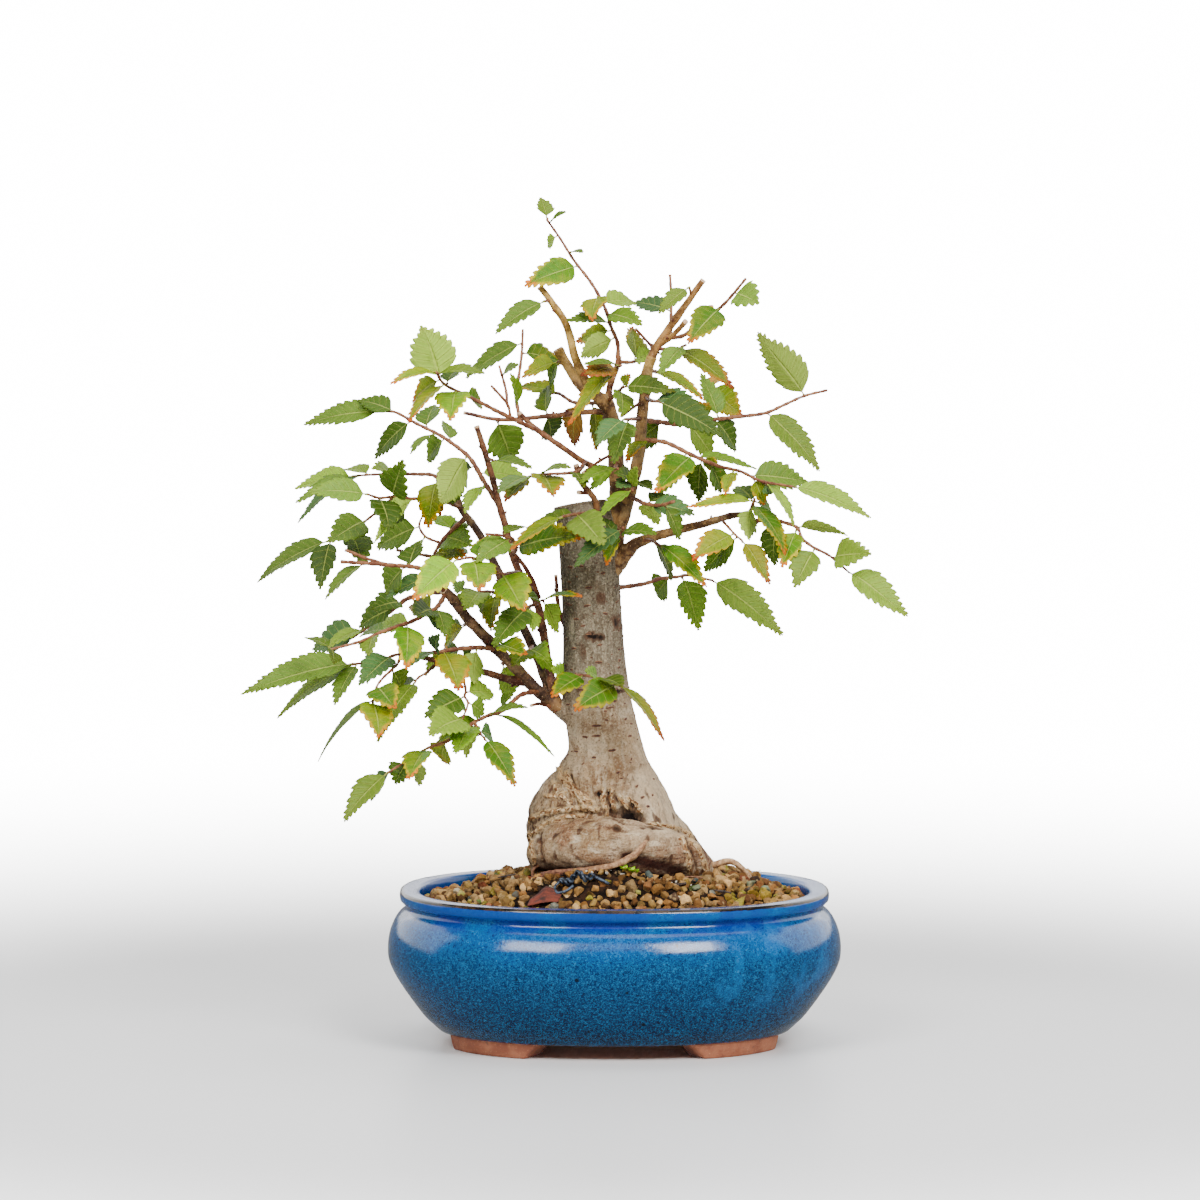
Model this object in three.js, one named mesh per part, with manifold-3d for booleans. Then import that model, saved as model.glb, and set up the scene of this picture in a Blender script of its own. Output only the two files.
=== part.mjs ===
// Japanese zelkova bonsai in an oval blue-glazed pot, in millimetres, +Z up.
// The tree is one woody piece (trunk, roots and branches). Each leafy shoot is a solid of its own,
// seated on the wood. Soil, drain screens, a tie wire and a bark flake lie in the pot.
import * as THREE from 'three';
import { mergeVertices } from 'three/addons/utils/BufferGeometryUtils.js';
import Module from 'manifold-3d';

const wasm = await Module();
wasm.setup();

// Pot: an oval, given by its half width; the half depth is always DEPTH_LESS smaller.
const DEPTH_LESS = 16.5;
const OVAL_POWER = 2.3;
const POT_SIDES = 28;
const FOOT_HEIGHT = 7;
const RIM_TOP = 68.4;
const FLOOR_TOP = 13.5;
const FOOT_OUTSIDE = 77;
const FOOT_BAND = 15;
const FOOT_FROM = 22;
const FOOT_TO = 62;
const FOOT_FLARE = 6;
const DRAIN_RADIUS = 7;
const DRAIN_OFFSET = 34;

// Pot wall as half width and height, from the underside, up the outside, over the rim and down inside.
const POT_OUTSIDE = [
  [78.6, FOOT_HEIGHT], [86, 14.3], [95.1, 27.1], [100.6, 38], [100.8, 47], [96.4, 57.6],
  [91.8, 61.2], [95, 63.4], [95.5, 67.4], [94.7, RIM_TOP], [87.3, RIM_TOP], [86.5, 67.4],
];
const POT_INSIDE = [[86.6, 61], [92.8, 47], [91, 33], [74, FLOOR_TOP]];

// Fit between pieces that touch.
const CLEAR = 0.3;

// Soil: level at the wall, a mound under the roots, a heap in front of them, and the grains.
const SOIL_EDGE = 62.7;
const SOIL_MOUND = 12.8;
const SOIL_HEAP = 6.5;
const HEAP_PLACE = [-8, -41];
const HEAP_SPREAD = [28, 9];
const GRAIN = 10.5;
const GRAIN_RISE = 1.1;
const HIDDEN_SOIL = 40;

// Screens over the drain holes.
const SCREEN_SIZE = 24;
const SCREEN_THICK = 1;

// Leaves.
const BLADE_THICK = 0.64;
const NECK_HALF = 0.6;
const PETIOLE = 2.2;
const STALK_INSIDE = 0.35;
const FOLD = 0.26;
const BOW = 0.055;
const BIG_LEAF = 30;
const WIDE_LEAF = 16;

// The crown is laid out on a front view seen from this point, so each position is given by its
// place in that view (x, z) and its depth y, which is negative in front of the trunk.
const VIEW = new THREE.Vector3(-6.4, -2400, 373);

function at(x, z, y) {
  const k = (y - VIEW.y) / -VIEW.y;
  return new THREE.Vector3(VIEW.x + (x - VIEW.x) * k, y, VIEW.z + (z - VIEW.z) * k);
}

function seeded(seed) {
  let state = seed;
  return () => {
    state = (state * 1103515245 + 12345) % 2147483648;
    return state / 2147483648;
  };
}

// Solids

function solidOf(points, triangles) {
  const vertProperties = new Float32Array(points.length * 3);
  points.forEach((p, i) => p.toArray(vertProperties, i * 3));
  const mesh = new wasm.Mesh({ numProp: 3, vertProperties, triVerts: new Uint32Array(triangles.flat()) });
  return new wasm.Manifold(mesh);
}

function solidOfGeometry(geometry) {
  geometry.deleteAttribute('normal');
  geometry.deleteAttribute('uv');
  const merged = mergeVertices(geometry, 1e-4);
  const mesh = new wasm.Mesh({
    numProp: 3,
    vertProperties: new Float32Array(merged.attributes.position.array),
    triVerts: new Uint32Array(merged.index.array),
  });
  return new wasm.Manifold(mesh);
}

function geometryOf(solid) {
  const mesh = solid.getMesh();
  const geometry = new THREE.BufferGeometry();
  geometry.setAttribute('position', new THREE.BufferAttribute(new Float32Array(mesh.vertProperties), 3));
  geometry.setIndex(new THREE.BufferAttribute(new Uint32Array(mesh.triVerts), 1));
  return geometry;
}

function largest(solid) {
  const pieces = solid.decompose();
  return pieces.reduce((best, piece) => (piece.volume() > best.volume() ? piece : best));
}

function joined(solids) {
  return solids.reduce((whole, solid) => whole.add(solid));
}

// A body through rings of the same number of points, closed by a fan at each end.
function loft(rings) {
  const sides = rings[0].length;
  const points = rings.flat();
  const triangles = [];
  for (let r = 0; r + 1 < rings.length; r += 1) {
    for (let s = 0; s < sides; s += 1) {
      const a = r * sides + s;
      const b = r * sides + (s + 1) % sides;
      triangles.push([a, b, b + sides], [a, b + sides, a + sides]);
    }
  }
  const last = (rings.length - 1) * sides;
  for (let s = 1; s + 1 < sides; s += 1) {
    triangles.push([0, s + 1, s], [last, last + s, last + s + 1]);
  }
  return solidOf(points, triangles);
}

// The same points, with both ends moved outward.
function extended(path, past) {
  const points = path.map((point) => point.clone());
  const end = points.length - 1;
  points[0].addScaledVector(path[0].clone().sub(path[1]).normalize(), past);
  points[end].addScaledVector(path[end].clone().sub(path[end - 1]).normalize(), past);
  return points;
}

// A tapered stick through points, with a ring of the given number of sides at each of them.
function stick(path, radiusStart, radiusEnd, sides, past = 0) {
  const points = extended(path, past);
  const lengths = [0];
  for (let i = 1; i < points.length; i += 1) {
    lengths.push(lengths[i - 1] + points[i].distanceTo(points[i - 1]));
  }
  const total = lengths[lengths.length - 1];
  let across = new THREE.Vector3(0.31, 0.9, 0.3);
  const rings = points.map((point, i) => {
    const before = points[Math.max(i - 1, 0)];
    const after = points[Math.min(i + 1, points.length - 1)];
    const along = after.clone().sub(before).normalize();
    across = across.clone().addScaledVector(along, -across.dot(along)).normalize();
    const other = along.clone().cross(across);
    const radius = radiusStart + (radiusEnd - radiusStart) * lengths[i] / total;
    return Array.from({ length: sides }, (_, s) => {
      const angle = 2 * Math.PI * s / sides;
      return point.clone()
        .addScaledVector(across, radius * Math.cos(angle))
        .addScaledVector(other, radius * Math.sin(angle));
    });
  });
  return loft(rings);
}

// Pot

function ovalPoint(halfWidth, angle) {
  const power = 2 / OVAL_POWER;
  const c = Math.cos(angle);
  const s = Math.sin(angle);
  return [
    halfWidth * Math.sign(c) * Math.abs(c) ** power,
    (halfWidth - DEPTH_LESS) * Math.sign(s) * Math.abs(s) ** power,
  ];
}

function ovalRing(halfWidth, z) {
  return Array.from({ length: POT_SIDES }, (_, i) => {
    const [x, y] = ovalPoint(halfWidth, 2 * Math.PI * i / POT_SIDES);
    return new THREE.Vector3(x, y, z);
  });
}

function foot(sideX, sideY) {
  const steps = 3;
  const rings = [];
  for (let i = 0; i <= steps; i += 1) {
    const degrees = FOOT_FROM + (FOOT_TO - FOOT_FROM) * i / steps;
    const flare = i === steps ? FOOT_FLARE : 0;
    const angle = degrees * Math.PI / 180;
    const angleTop = (degrees + flare) * Math.PI / 180;
    const [outX, outY] = ovalPoint(FOOT_OUTSIDE, angleTop);
    const [lowX, lowY] = ovalPoint(FOOT_OUTSIDE - 1, angle);
    const [inX, inY] = ovalPoint(FOOT_OUTSIDE - FOOT_BAND, angleTop);
    const [inLowX, inLowY] = ovalPoint(FOOT_OUTSIDE - FOOT_BAND, angle);
    rings.push([
      new THREE.Vector3(outX * sideX, outY * sideY, FOOT_HEIGHT + 1),
      new THREE.Vector3(inX * sideX, inY * sideY, FOOT_HEIGHT + 1),
      new THREE.Vector3(inLowX * sideX, inLowY * sideY, 0),
      new THREE.Vector3(lowX * sideX, lowY * sideY, 0),
    ]);
  }
  if (sideX * sideY > 0) {
    rings.reverse();
  }
  return loft(rings);
}

function pot() {
  const wall = [...POT_OUTSIDE, ...POT_INSIDE];
  let body = loft(wall.map(([halfWidth, z]) => ovalRing(halfWidth, z)));
  for (const sideX of [-1, 1]) {
    for (const sideY of [-1, 1]) {
      body = body.add(foot(sideX, sideY));
    }
    const hole = new THREE.CylinderGeometry(DRAIN_RADIUS, DRAIN_RADIUS, 30, 12);
    hole.rotateX(Math.PI / 2);
    hole.translate(sideX * DRAIN_OFFSET, 0, 8);
    body = body.subtract(solidOfGeometry(hole));
  }
  return body;
}

function screen(side, grow) {
  const size = SCREEN_SIZE + 2 * grow;
  const box = new THREE.BoxGeometry(size, size, SCREEN_THICK + 2 * grow);
  box.translate(side * DRAIN_OFFSET, 0, FLOOR_TOP + CLEAR + SCREEN_THICK / 2);
  return solidOfGeometry(box);
}

// Wood. A positive grow gives the same tree a little larger, to cut what must stay clear of it.

// Trunk sections: height, centre x, centre y, half width, half depth.
const TRUNK = [
  [54, 4, 0, 38, 27], [68, 4, 0, 37, 28], [78, 4, 0, 33.5, 27], [88, 3, 0, 29, 26],
  [97, 2.4, 0, 26.2, 24.4],
  [107, 0.8, 0, 24.2, 22.4], [117, -2.4, 0, 22.2, 20], [125, -4.2, 0, 19.4, 18.2],
    [131, -3.5, 0, 16.7, 16.9],
  [143, -5.8, 0, 15.7, 15.7], [156, -8.1, 0, 14.8, 14.6], [172, -9.2, 0, 13.8, 13.8],
    [190, -9.9, 0, 13.2, 13.2],
  [212, -10.8, 0, 13.1, 13.1], [230, -13, 0, 12.8, 12.5], [240, -15.2, 0, 11.9, 11.8],
];
const TRUNK_SIDES = 16;
const TOP_SLOPE = 0.16;

// Swollen roots: points x, y, z with a radius each.
const ROOT_ROLL = [
  [-33, -8, 84, 7], [-27, -17, 88, 10], [-15, -25, 90, 12], [1, -28, 90, 12.6], [16, -25, 87.5, 11.8],
  [28, -17, 83.5, 10.6], [37, -8, 77.5, 8], [43, 0, 69, 6],
];
const LEFT_LUMP = [
  [-17, -3, 120, 7.5], [-20.5, -4, 110, 14], [-21.3, -4, 100, 17.4], [-21.6, -3, 90, 17.2],
  [-21, -2, 80, 16], [-20, 0, 66, 16],
];
const BACK_ROOT = [[-4, 12, 96, 8], [-2, 22, 86, 9], [2, 32, 77, 7], [6, 42, 68, 5]];
const RIGHT_ROOT = [[21, 6, 101, 5], [30.5, 6, 90, 5.5], [38, 6, 79, 5], [44.5, 7, 68, 3.8]];

// Thin roots: x, y, z.
const ROOT_STRAND = [
  [15, -31, 97], [10.5, -36.5, 91], [4, -40.2, 85], [-5, -41.6, 82.6], [-16, -38.6, 81],
  [-27, -29, 79], [-34, -19, 76.5],
];
const ROOT_ARCH = [[38, -10, 76], [45, -11, 80.5], [52, -11, 81.5], [58, -10, 77], [62, -10, 70]];

// Branches: radius at the start and the end, then points x, z, y of the front view.
const BRANCHES = [
  { r: [4.4, 2.9], p: [[-4, 218, 0], [0.6, 233, 0], [1.4, 245, 0], [0.3, 265, 1], [-2, 281, 2],
    [-5, 288, 2]] },
  { r: [2.4, 2.1], p: [[-4.5, 286, 2], [-14, 291, 4], [-18, 296, 6], [-22, 303, 7], [-25, 308, 8]] },
  { r: [1.9, 1.5], p: [[-3, 281, 1], [-9, 289, -2], [-13, 295.5, -4], [-17.5, 302, -5], [-22.5, 320, -6],
    [-29, 330, -6], [-33, 335.5, -6]] },
  { r: [3.1, 1.4], p: [[-3, 216, -2], [2, 228, -3], [5.5, 240, -4], [10, 257, -5], [12, 276, -5],
    [16, 304, -4], [20, 309.5, -3], [26, 321, -4], [39, 338, -6]] },
  { r: [1.3, 1.1], p: [[20, 310, -3], [26, 314.5, -8], [31.5, 320.5, -13]] },
  { r: [1.6, 1.2], p: [[-2.5, 283, 2], [-2, 292, 1], [1, 300, 0], [2, 305, 0]] },
  { r: [5, 1.5], p: [[-5, 206, -2], [2, 214, -3], [8, 221, -6], [17, 225, -9], [28, 228, -13],
    [40, 231, -17], [52, 234.5, -20], [60, 235, -22]] },
  { r: [1.1, 0.9], p: [[58, 235, -21.5], [61.5, 233, -22], [62.9, 230.8, -22]] },
  { r: [1.5, 1], p: [[-1, 253, 0], [-12, 257.5, -6], [-22, 264, -10], [-36, 274, -14], [-42, 280, -16]] },
  { r: [1.3, 0.8], p: [[-1, 279.5, 2], [-10, 280.5, 5], [-30, 278.5, 11], [-50, 277, 16],
    [-66.5, 280, 19]] },
  { r: [1.6, 1.2], p: [[-9, 231, -6], [-8, 240, -11], [-13, 247, -14], [-15, 250, -15],
    [-17, 257, -16]] },
  { r: [0.9, 0.8], p: [[-11.5, 244.5, -13], [-16, 244.8, -18]] },
  { r: [4.6, 2.2], p: [[-12, 140, 0], [-24, 148.5, -3], [-35, 157.5, -6], [-48, 171, -10],
    [-63.5, 187, -15],
    [-72.6, 198.5, -18], [-76, 201.5, -19]] },
  { r: [1.9, 1], p: [[-38, 160, -6], [-46, 161.5, -9], [-58, 165, -14], [-66, 166.5, -18],
    [-77, 169.5, -23],
    [-91, 172.6, -30]] },
  { r: [2.4, 1.4], p: [[-24, 149, 0], [-28, 160, 3], [-31, 180, 4], [-34, 195, 4], [-39, 204, 3],
    [-44, 214, 2], [-49, 232, 0], [-56, 258, -4], [-61, 274, -6]] },
  { r: [2.7, 1.7], p: [[-25, 148, 2], [-33, 168, 9], [-39, 182, 11], [-48, 202, 14], [-59, 225, 17],
    [-67.5, 237, 19], [-70.6, 246, 20]] },
  { r: [1.1, 0.9], p: [[-33.5, 198, 4], [-36, 205, -2], [-40, 212, -6], [-46, 219.5, -10]] },
  { r: [1, 0.8], p: [[-20, 180, 6], [-24.6, 193, 8], [-26, 208, 9]] },
  { r: [0.7, 0.6], p: [[1.5, 263, -2], [-6, 259, -12], [-14, 253.5, -22]] },
  { r: [0.7, 0.6], p: [[12, 285, -5], [3, 278.5, -15]] },
  { r: [0.7, 0.6], p: [[19, 307, -3], [15, 311, 4], [9.5, 317, 10]] },
  { r: [0.8, 0.7], p: [[-27, 149, -4], [-33, 150.8, -12], [-37, 150, -18]] },
];

// A soft thickening or hollow of the trunk at an angle and height, as a share of its radius.
const TRUNK_RELIEF = [
  [-95, 108, 22, 7, -0.11], [-120, 113, 16, 10, 0.05], [-60, 100, 22, 9, 0.05], [-150, 132, 30, 8, 0.05],
  [-70, 150, 14, 60, 0.02], [30, 110, 25, 14, 0.05], [90, 120, 30, 16, 0.04], [150, 148, 26, 7, 0.07],
  [-85, 198, 16, 5, 0.03], [-92, 180, 16, 5, 0.035], [60, 100, 20, 12, -0.05],
];

function trunkBody(grow) {
  const rings = TRUNK.map(([z, x, y, halfWidth, halfDepth], index) => {
    const top = index === TRUNK.length - 1;
    return Array.from({ length: TRUNK_SIDES }, (_, s) => {
      const degrees = 360 * s / TRUNK_SIDES - 180;
      const angle = degrees * Math.PI / 180;
      let swell = 1;
      for (const [atAngle, atHeight, width, height, amount] of TRUNK_RELIEF) {
        const turn = ((degrees - atAngle + 540) % 360) - 180;
        swell += amount * Math.exp(-((turn / width) ** 2) - ((z - atHeight) / height) ** 2);
      }
      const px = (halfWidth * swell + grow) * Math.cos(angle);
      const py = (halfDepth * swell + grow) * Math.sin(angle);
      const rise = top ? px * TOP_SLOPE + grow : 0;
      return new THREE.Vector3(x + px, y + py, z + rise - (index === 0 ? grow : 0));
    });
  });
  return loft(rings);
}

// A fat root: rings of its own radius at each point.
function fatRoot(path, sides, grow) {
  const points = extended(path.map(([x, y, z]) => new THREE.Vector3(x, y, z)), grow);
  let across = new THREE.Vector3(0.2, 0.3, 0.9);
  const rings = points.map((point, i) => {
    const before = points[Math.max(i - 1, 0)];
    const after = points[Math.min(i + 1, points.length - 1)];
    const along = after.clone().sub(before).normalize();
    across = across.clone().addScaledVector(along, -across.dot(along)).normalize();
    const other = along.clone().cross(across);
    return Array.from({ length: sides }, (_, s) => {
      const angle = 2 * Math.PI * s / sides;
      return point.clone()
        .addScaledVector(across, (path[i][3] + grow) * Math.cos(angle))
        .addScaledVector(other, (path[i][3] + grow) * Math.sin(angle));
    });
  });
  return loft(rings);
}

function strand(path, radius, grow) {
  const points = path.map(([x, y, z]) => new THREE.Vector3(x, y, z));
  return stick(points, radius + grow, radius * 0.8 + grow, 4, grow);
}

function woodParts(grow) {
  const parts = [
    trunkBody(grow),
    fatRoot(LEFT_LUMP, 10, grow),
    fatRoot(ROOT_ROLL, 10, grow),
    fatRoot(BACK_ROOT, 7, grow),
    fatRoot(RIGHT_ROOT, 7, grow),
    strand(ROOT_STRAND, 1.3, grow),
    strand(ROOT_ARCH, 1.4, grow),
  ];
  for (const branch of BRANCHES) {
    const points = branch.p.map(([x, z, y]) => at(x, z, y));
    const sides = branch.r[0] > 2.2 ? 6 : 4;
    parts.push(stick(points, branch.r[0] + grow, branch.r[1] + grow, sides, grow));
  }
  return parts;
}

// Soil: a filled oval with a relief of grains on top.

function soilHeight(x, y) {
  const q = Math.hypot((x - 3) / 48, (y + 3) / 38);
  const share = Math.min(Math.max((1.85 - q) / 0.85, 0), 1);
  const far = ((x - HEAP_PLACE[0]) / HEAP_SPREAD[0]) ** 2 + ((y - HEAP_PLACE[1]) / HEAP_SPREAD[1]) ** 2;
  return SOIL_EDGE + SOIL_MOUND * share * share * (3 - 2 * share) + SOIL_HEAP * Math.exp(-far);
}

// Triangles between two rings of different numbers of points.
function stitch(inner, outer, triangles) {
  let i = 0;
  let o = 0;
  while (i < inner.length || o < outer.length) {
    const a = inner[i % inner.length];
    const b = outer[o % outer.length];
    const nextInner = (i + 1) / inner.length;
    const nextOuter = (o + 1) / outer.length;
    if (o < outer.length && (nextOuter <= nextInner || i >= inner.length)) {
      triangles.push([a, b, outer[(o + 1) % outer.length]]);
      o += 1;
    } else {
      triangles.push([a, b, inner[(i + 1) % inner.length]]);
      i += 1;
    }
  }
}

function soil(treeGrown) {
  const random = seeded(77);
  const points = [];
  const triangles = [];
  const gap = CLEAR + 0.05;
  const addRing = (list) => list.map((p) => points.push(p) - 1);
  const [rimInside, bulge, belly, floor] = POT_INSIDE;
  const walls = [[floor[0] - gap, FLOOR_TOP + gap], [belly[0] - gap, belly[1]], [bulge[0] - gap, bulge[1]],
    [rimInside[0] - gap, rimInside[1]], [rimInside[0] - gap, SOIL_EDGE - 0.5]];
  const wallRings = walls.map(([halfWidth, z]) => addRing(ovalRing(halfWidth, z)));
  for (let r = 0; r + 1 < wallRings.length; r += 1) {
    for (let s = 0; s < POT_SIDES; s += 1) {
      const t = (s + 1) % POT_SIDES;
      const low = wallRings[r];
      const high = wallRings[r + 1];
      triangles.push([low[s], low[t], high[t]], [low[s], high[t], high[s]]);
    }
  }
  for (let s = 1; s + 1 < POT_SIDES; s += 1) {
    triangles.push([wallRings[0][0], wallRings[0][s + 1], wallRings[0][s]]);
  }
  let outer = wallRings[wallRings.length - 1];
  let halfWidth = 81.5;
  while (halfWidth > HIDDEN_SOIL - 16) {
    const hidden = halfWidth < HIDDEN_SOIL;
    const ringAt = halfWidth;
    const count = Math.round(Math.PI * (2 * halfWidth - DEPTH_LESS) / (hidden ? 22 : GRAIN));
    const ring = addRing(Array.from({ length: count }, (_, i) => {
      const angle = 2 * Math.PI * (i + 0.35 * random()) / count;
      const [x, y] = ovalPoint(ringAt + 1.4 * (random() - 0.5), angle);
      const rise = hidden ? -4 : GRAIN_RISE * (2 * random() - 1);
      return new THREE.Vector3(x, y, soilHeight(x, y) + rise);
    }));
    stitch(ring, outer, triangles);
    outer = ring;
    halfWidth -= hidden ? 8 : GRAIN * 0.9;
  }
  const middle = points.push(new THREE.Vector3(0, 0, 66)) - 1;
  for (let i = 0; i < outer.length; i += 1) {
    triangles.push([outer[i], outer[(i + 1) % outer.length], middle]);
  }
  let body = solidOf(points, triangles);
  body = body.subtract(treeGrown);
  body = body.subtract(screen(-1, CLEAR)).subtract(screen(1, CLEAR));
  return largest(body);
}

// Leaves

// Toothed outline: place along the blade, share of the half width, and whether it is a tooth's point.
const OUTLINES = {
  big: [[0.14, 0.84, 1], [0.2, 0.8, 0], [0.36, 1, 1], [0.43, 0.8, 0], [0.64, 0.6, 1]],
  small: [[0.2, 0.92, 1], [0.31, 0.9, 0], [0.56, 0.72, 1]],
};
const MIDRIB = { big: [0.27, 0.6], small: [0.42] };

// The blade's upward direction: facing is the share of its width that the front view shows, with
// the upper side in front, or the underside where it is negative.
function upward(along, facing) {
  const front = new THREE.Vector3(0, -1, 0.07);
  front.addScaledVector(along, -front.dot(along)).normalize();
  const side = along.clone().cross(front);
  const turn = side.z + 0.013 * side.x >= 0 ? 1 : -1;
  const aside = turn * Math.sqrt(1 - facing * facing);
  return front.multiplyScalar(facing).addScaledVector(side, aside).normalize();
}

function blade(root, tip, width, facing, petiole, grow) {
  const axis = tip.clone().sub(root);
  const length = axis.length();
  const along = axis.clone().divideScalar(length);
  const up = upward(along, facing);
  const side = up.clone().cross(along);
  const start = petiole / length;
  const kind = length > BIG_LEAF || width > WIDE_LEAF ? 'big' : 'small';
  const points = [];
  const spots = [];
  const spot = (t, across, sharp) => {
    const u = start + (1 - start) * t;
    const lift = BOW * length * 4 * u * (1 - u) + FOLD * Math.abs(across);
    const centre = root.clone().addScaledVector(along, length * u).addScaledVector(side, across)
      .addScaledVector(up, lift);
    const half = sharp ? 0 : BLADE_THICK / 2 + grow;
    const top = points.push(centre.clone().addScaledVector(up, half)) - 1;
    const low = sharp ? top : points.push(centre.clone().addScaledVector(up, -half)) - 1;
    return spots.push({ t, across, top, low }) - 1;
  };
  const faces = [];
  const face = (a, b, c) => {
    const [p, q, r] = [spots[a], spots[b], spots[c]];
    const turn = (q.t - p.t) * (r.across - p.across) - (r.t - p.t) * (q.across - p.across);
    faces.push(turn > 0 ? [a, b, c] : [a, c, b]);
  };
  const tipSpot = spot(1, 0, grow === 0);
  const ribs = [...MIDRIB[kind].map((t) => spot(t, 0, false)), tipSpot];
  const rootSpot = spot(-(start + STALK_INSIDE / length) / (1 - start), 0, true);
  const necks = [1, -1].map((sign) => spot(0, sign * NECK_HALF, false));
  face(rootSpot, necks[0], necks[1]);
  face(necks[0], necks[1], ribs[0]);
  [1, -1].forEach((sign, which) => {
    const edge = OUTLINES[kind].map(([t, share, tooth]) => (
      spot(t, sign * (share * width / 2 + grow), tooth === 1 && grow === 0)));
    const chain = [necks[which], ...edge, tipSpot];
    let s = 0;
    let m = 0;
    while (s + 2 < chain.length || m + 1 < ribs.length) {
      const nextSide = s + 2 < chain.length ? spots[chain[s + 1]].t : 2;
      const nextRib = m + 1 < ribs.length ? spots[ribs[m + 1]].t : 2;
      if (nextSide <= nextRib) {
        face(ribs[m], chain[s], chain[s + 1]);
        s += 1;
      } else {
        face(ribs[m], ribs[m + 1], chain[s]);
        m += 1;
      }
    }
  });
  return plate(points, spots, faces);
}

// Closes a face and its underside with walls along the open edge.
function plate(points, spots, faces) {
  const triangles = [];
  const edges = new Map();
  for (const [a, b, c] of faces) {
    triangles.push([spots[a].top, spots[b].top, spots[c].top]);
    triangles.push([spots[a].low, spots[c].low, spots[b].low]);
    for (const [p, q] of [[a, b], [b, c], [c, a]]) {
      edges.set(`${p} ${q}`, [p, q]);
    }
  }
  for (const [p, q] of edges.values()) {
    if (!edges.has(`${q} ${p}`)) {
      const [a, b] = [spots[p], spots[q]];
      if (a.top !== a.low) {
        triangles.push([b.top, a.top, a.low]);
      }
      if (b.top !== b.low) {
        triangles.push([b.top, a.low, b.low]);
      }
    }
  }
  return solidOf(points, triangles);
}

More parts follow.
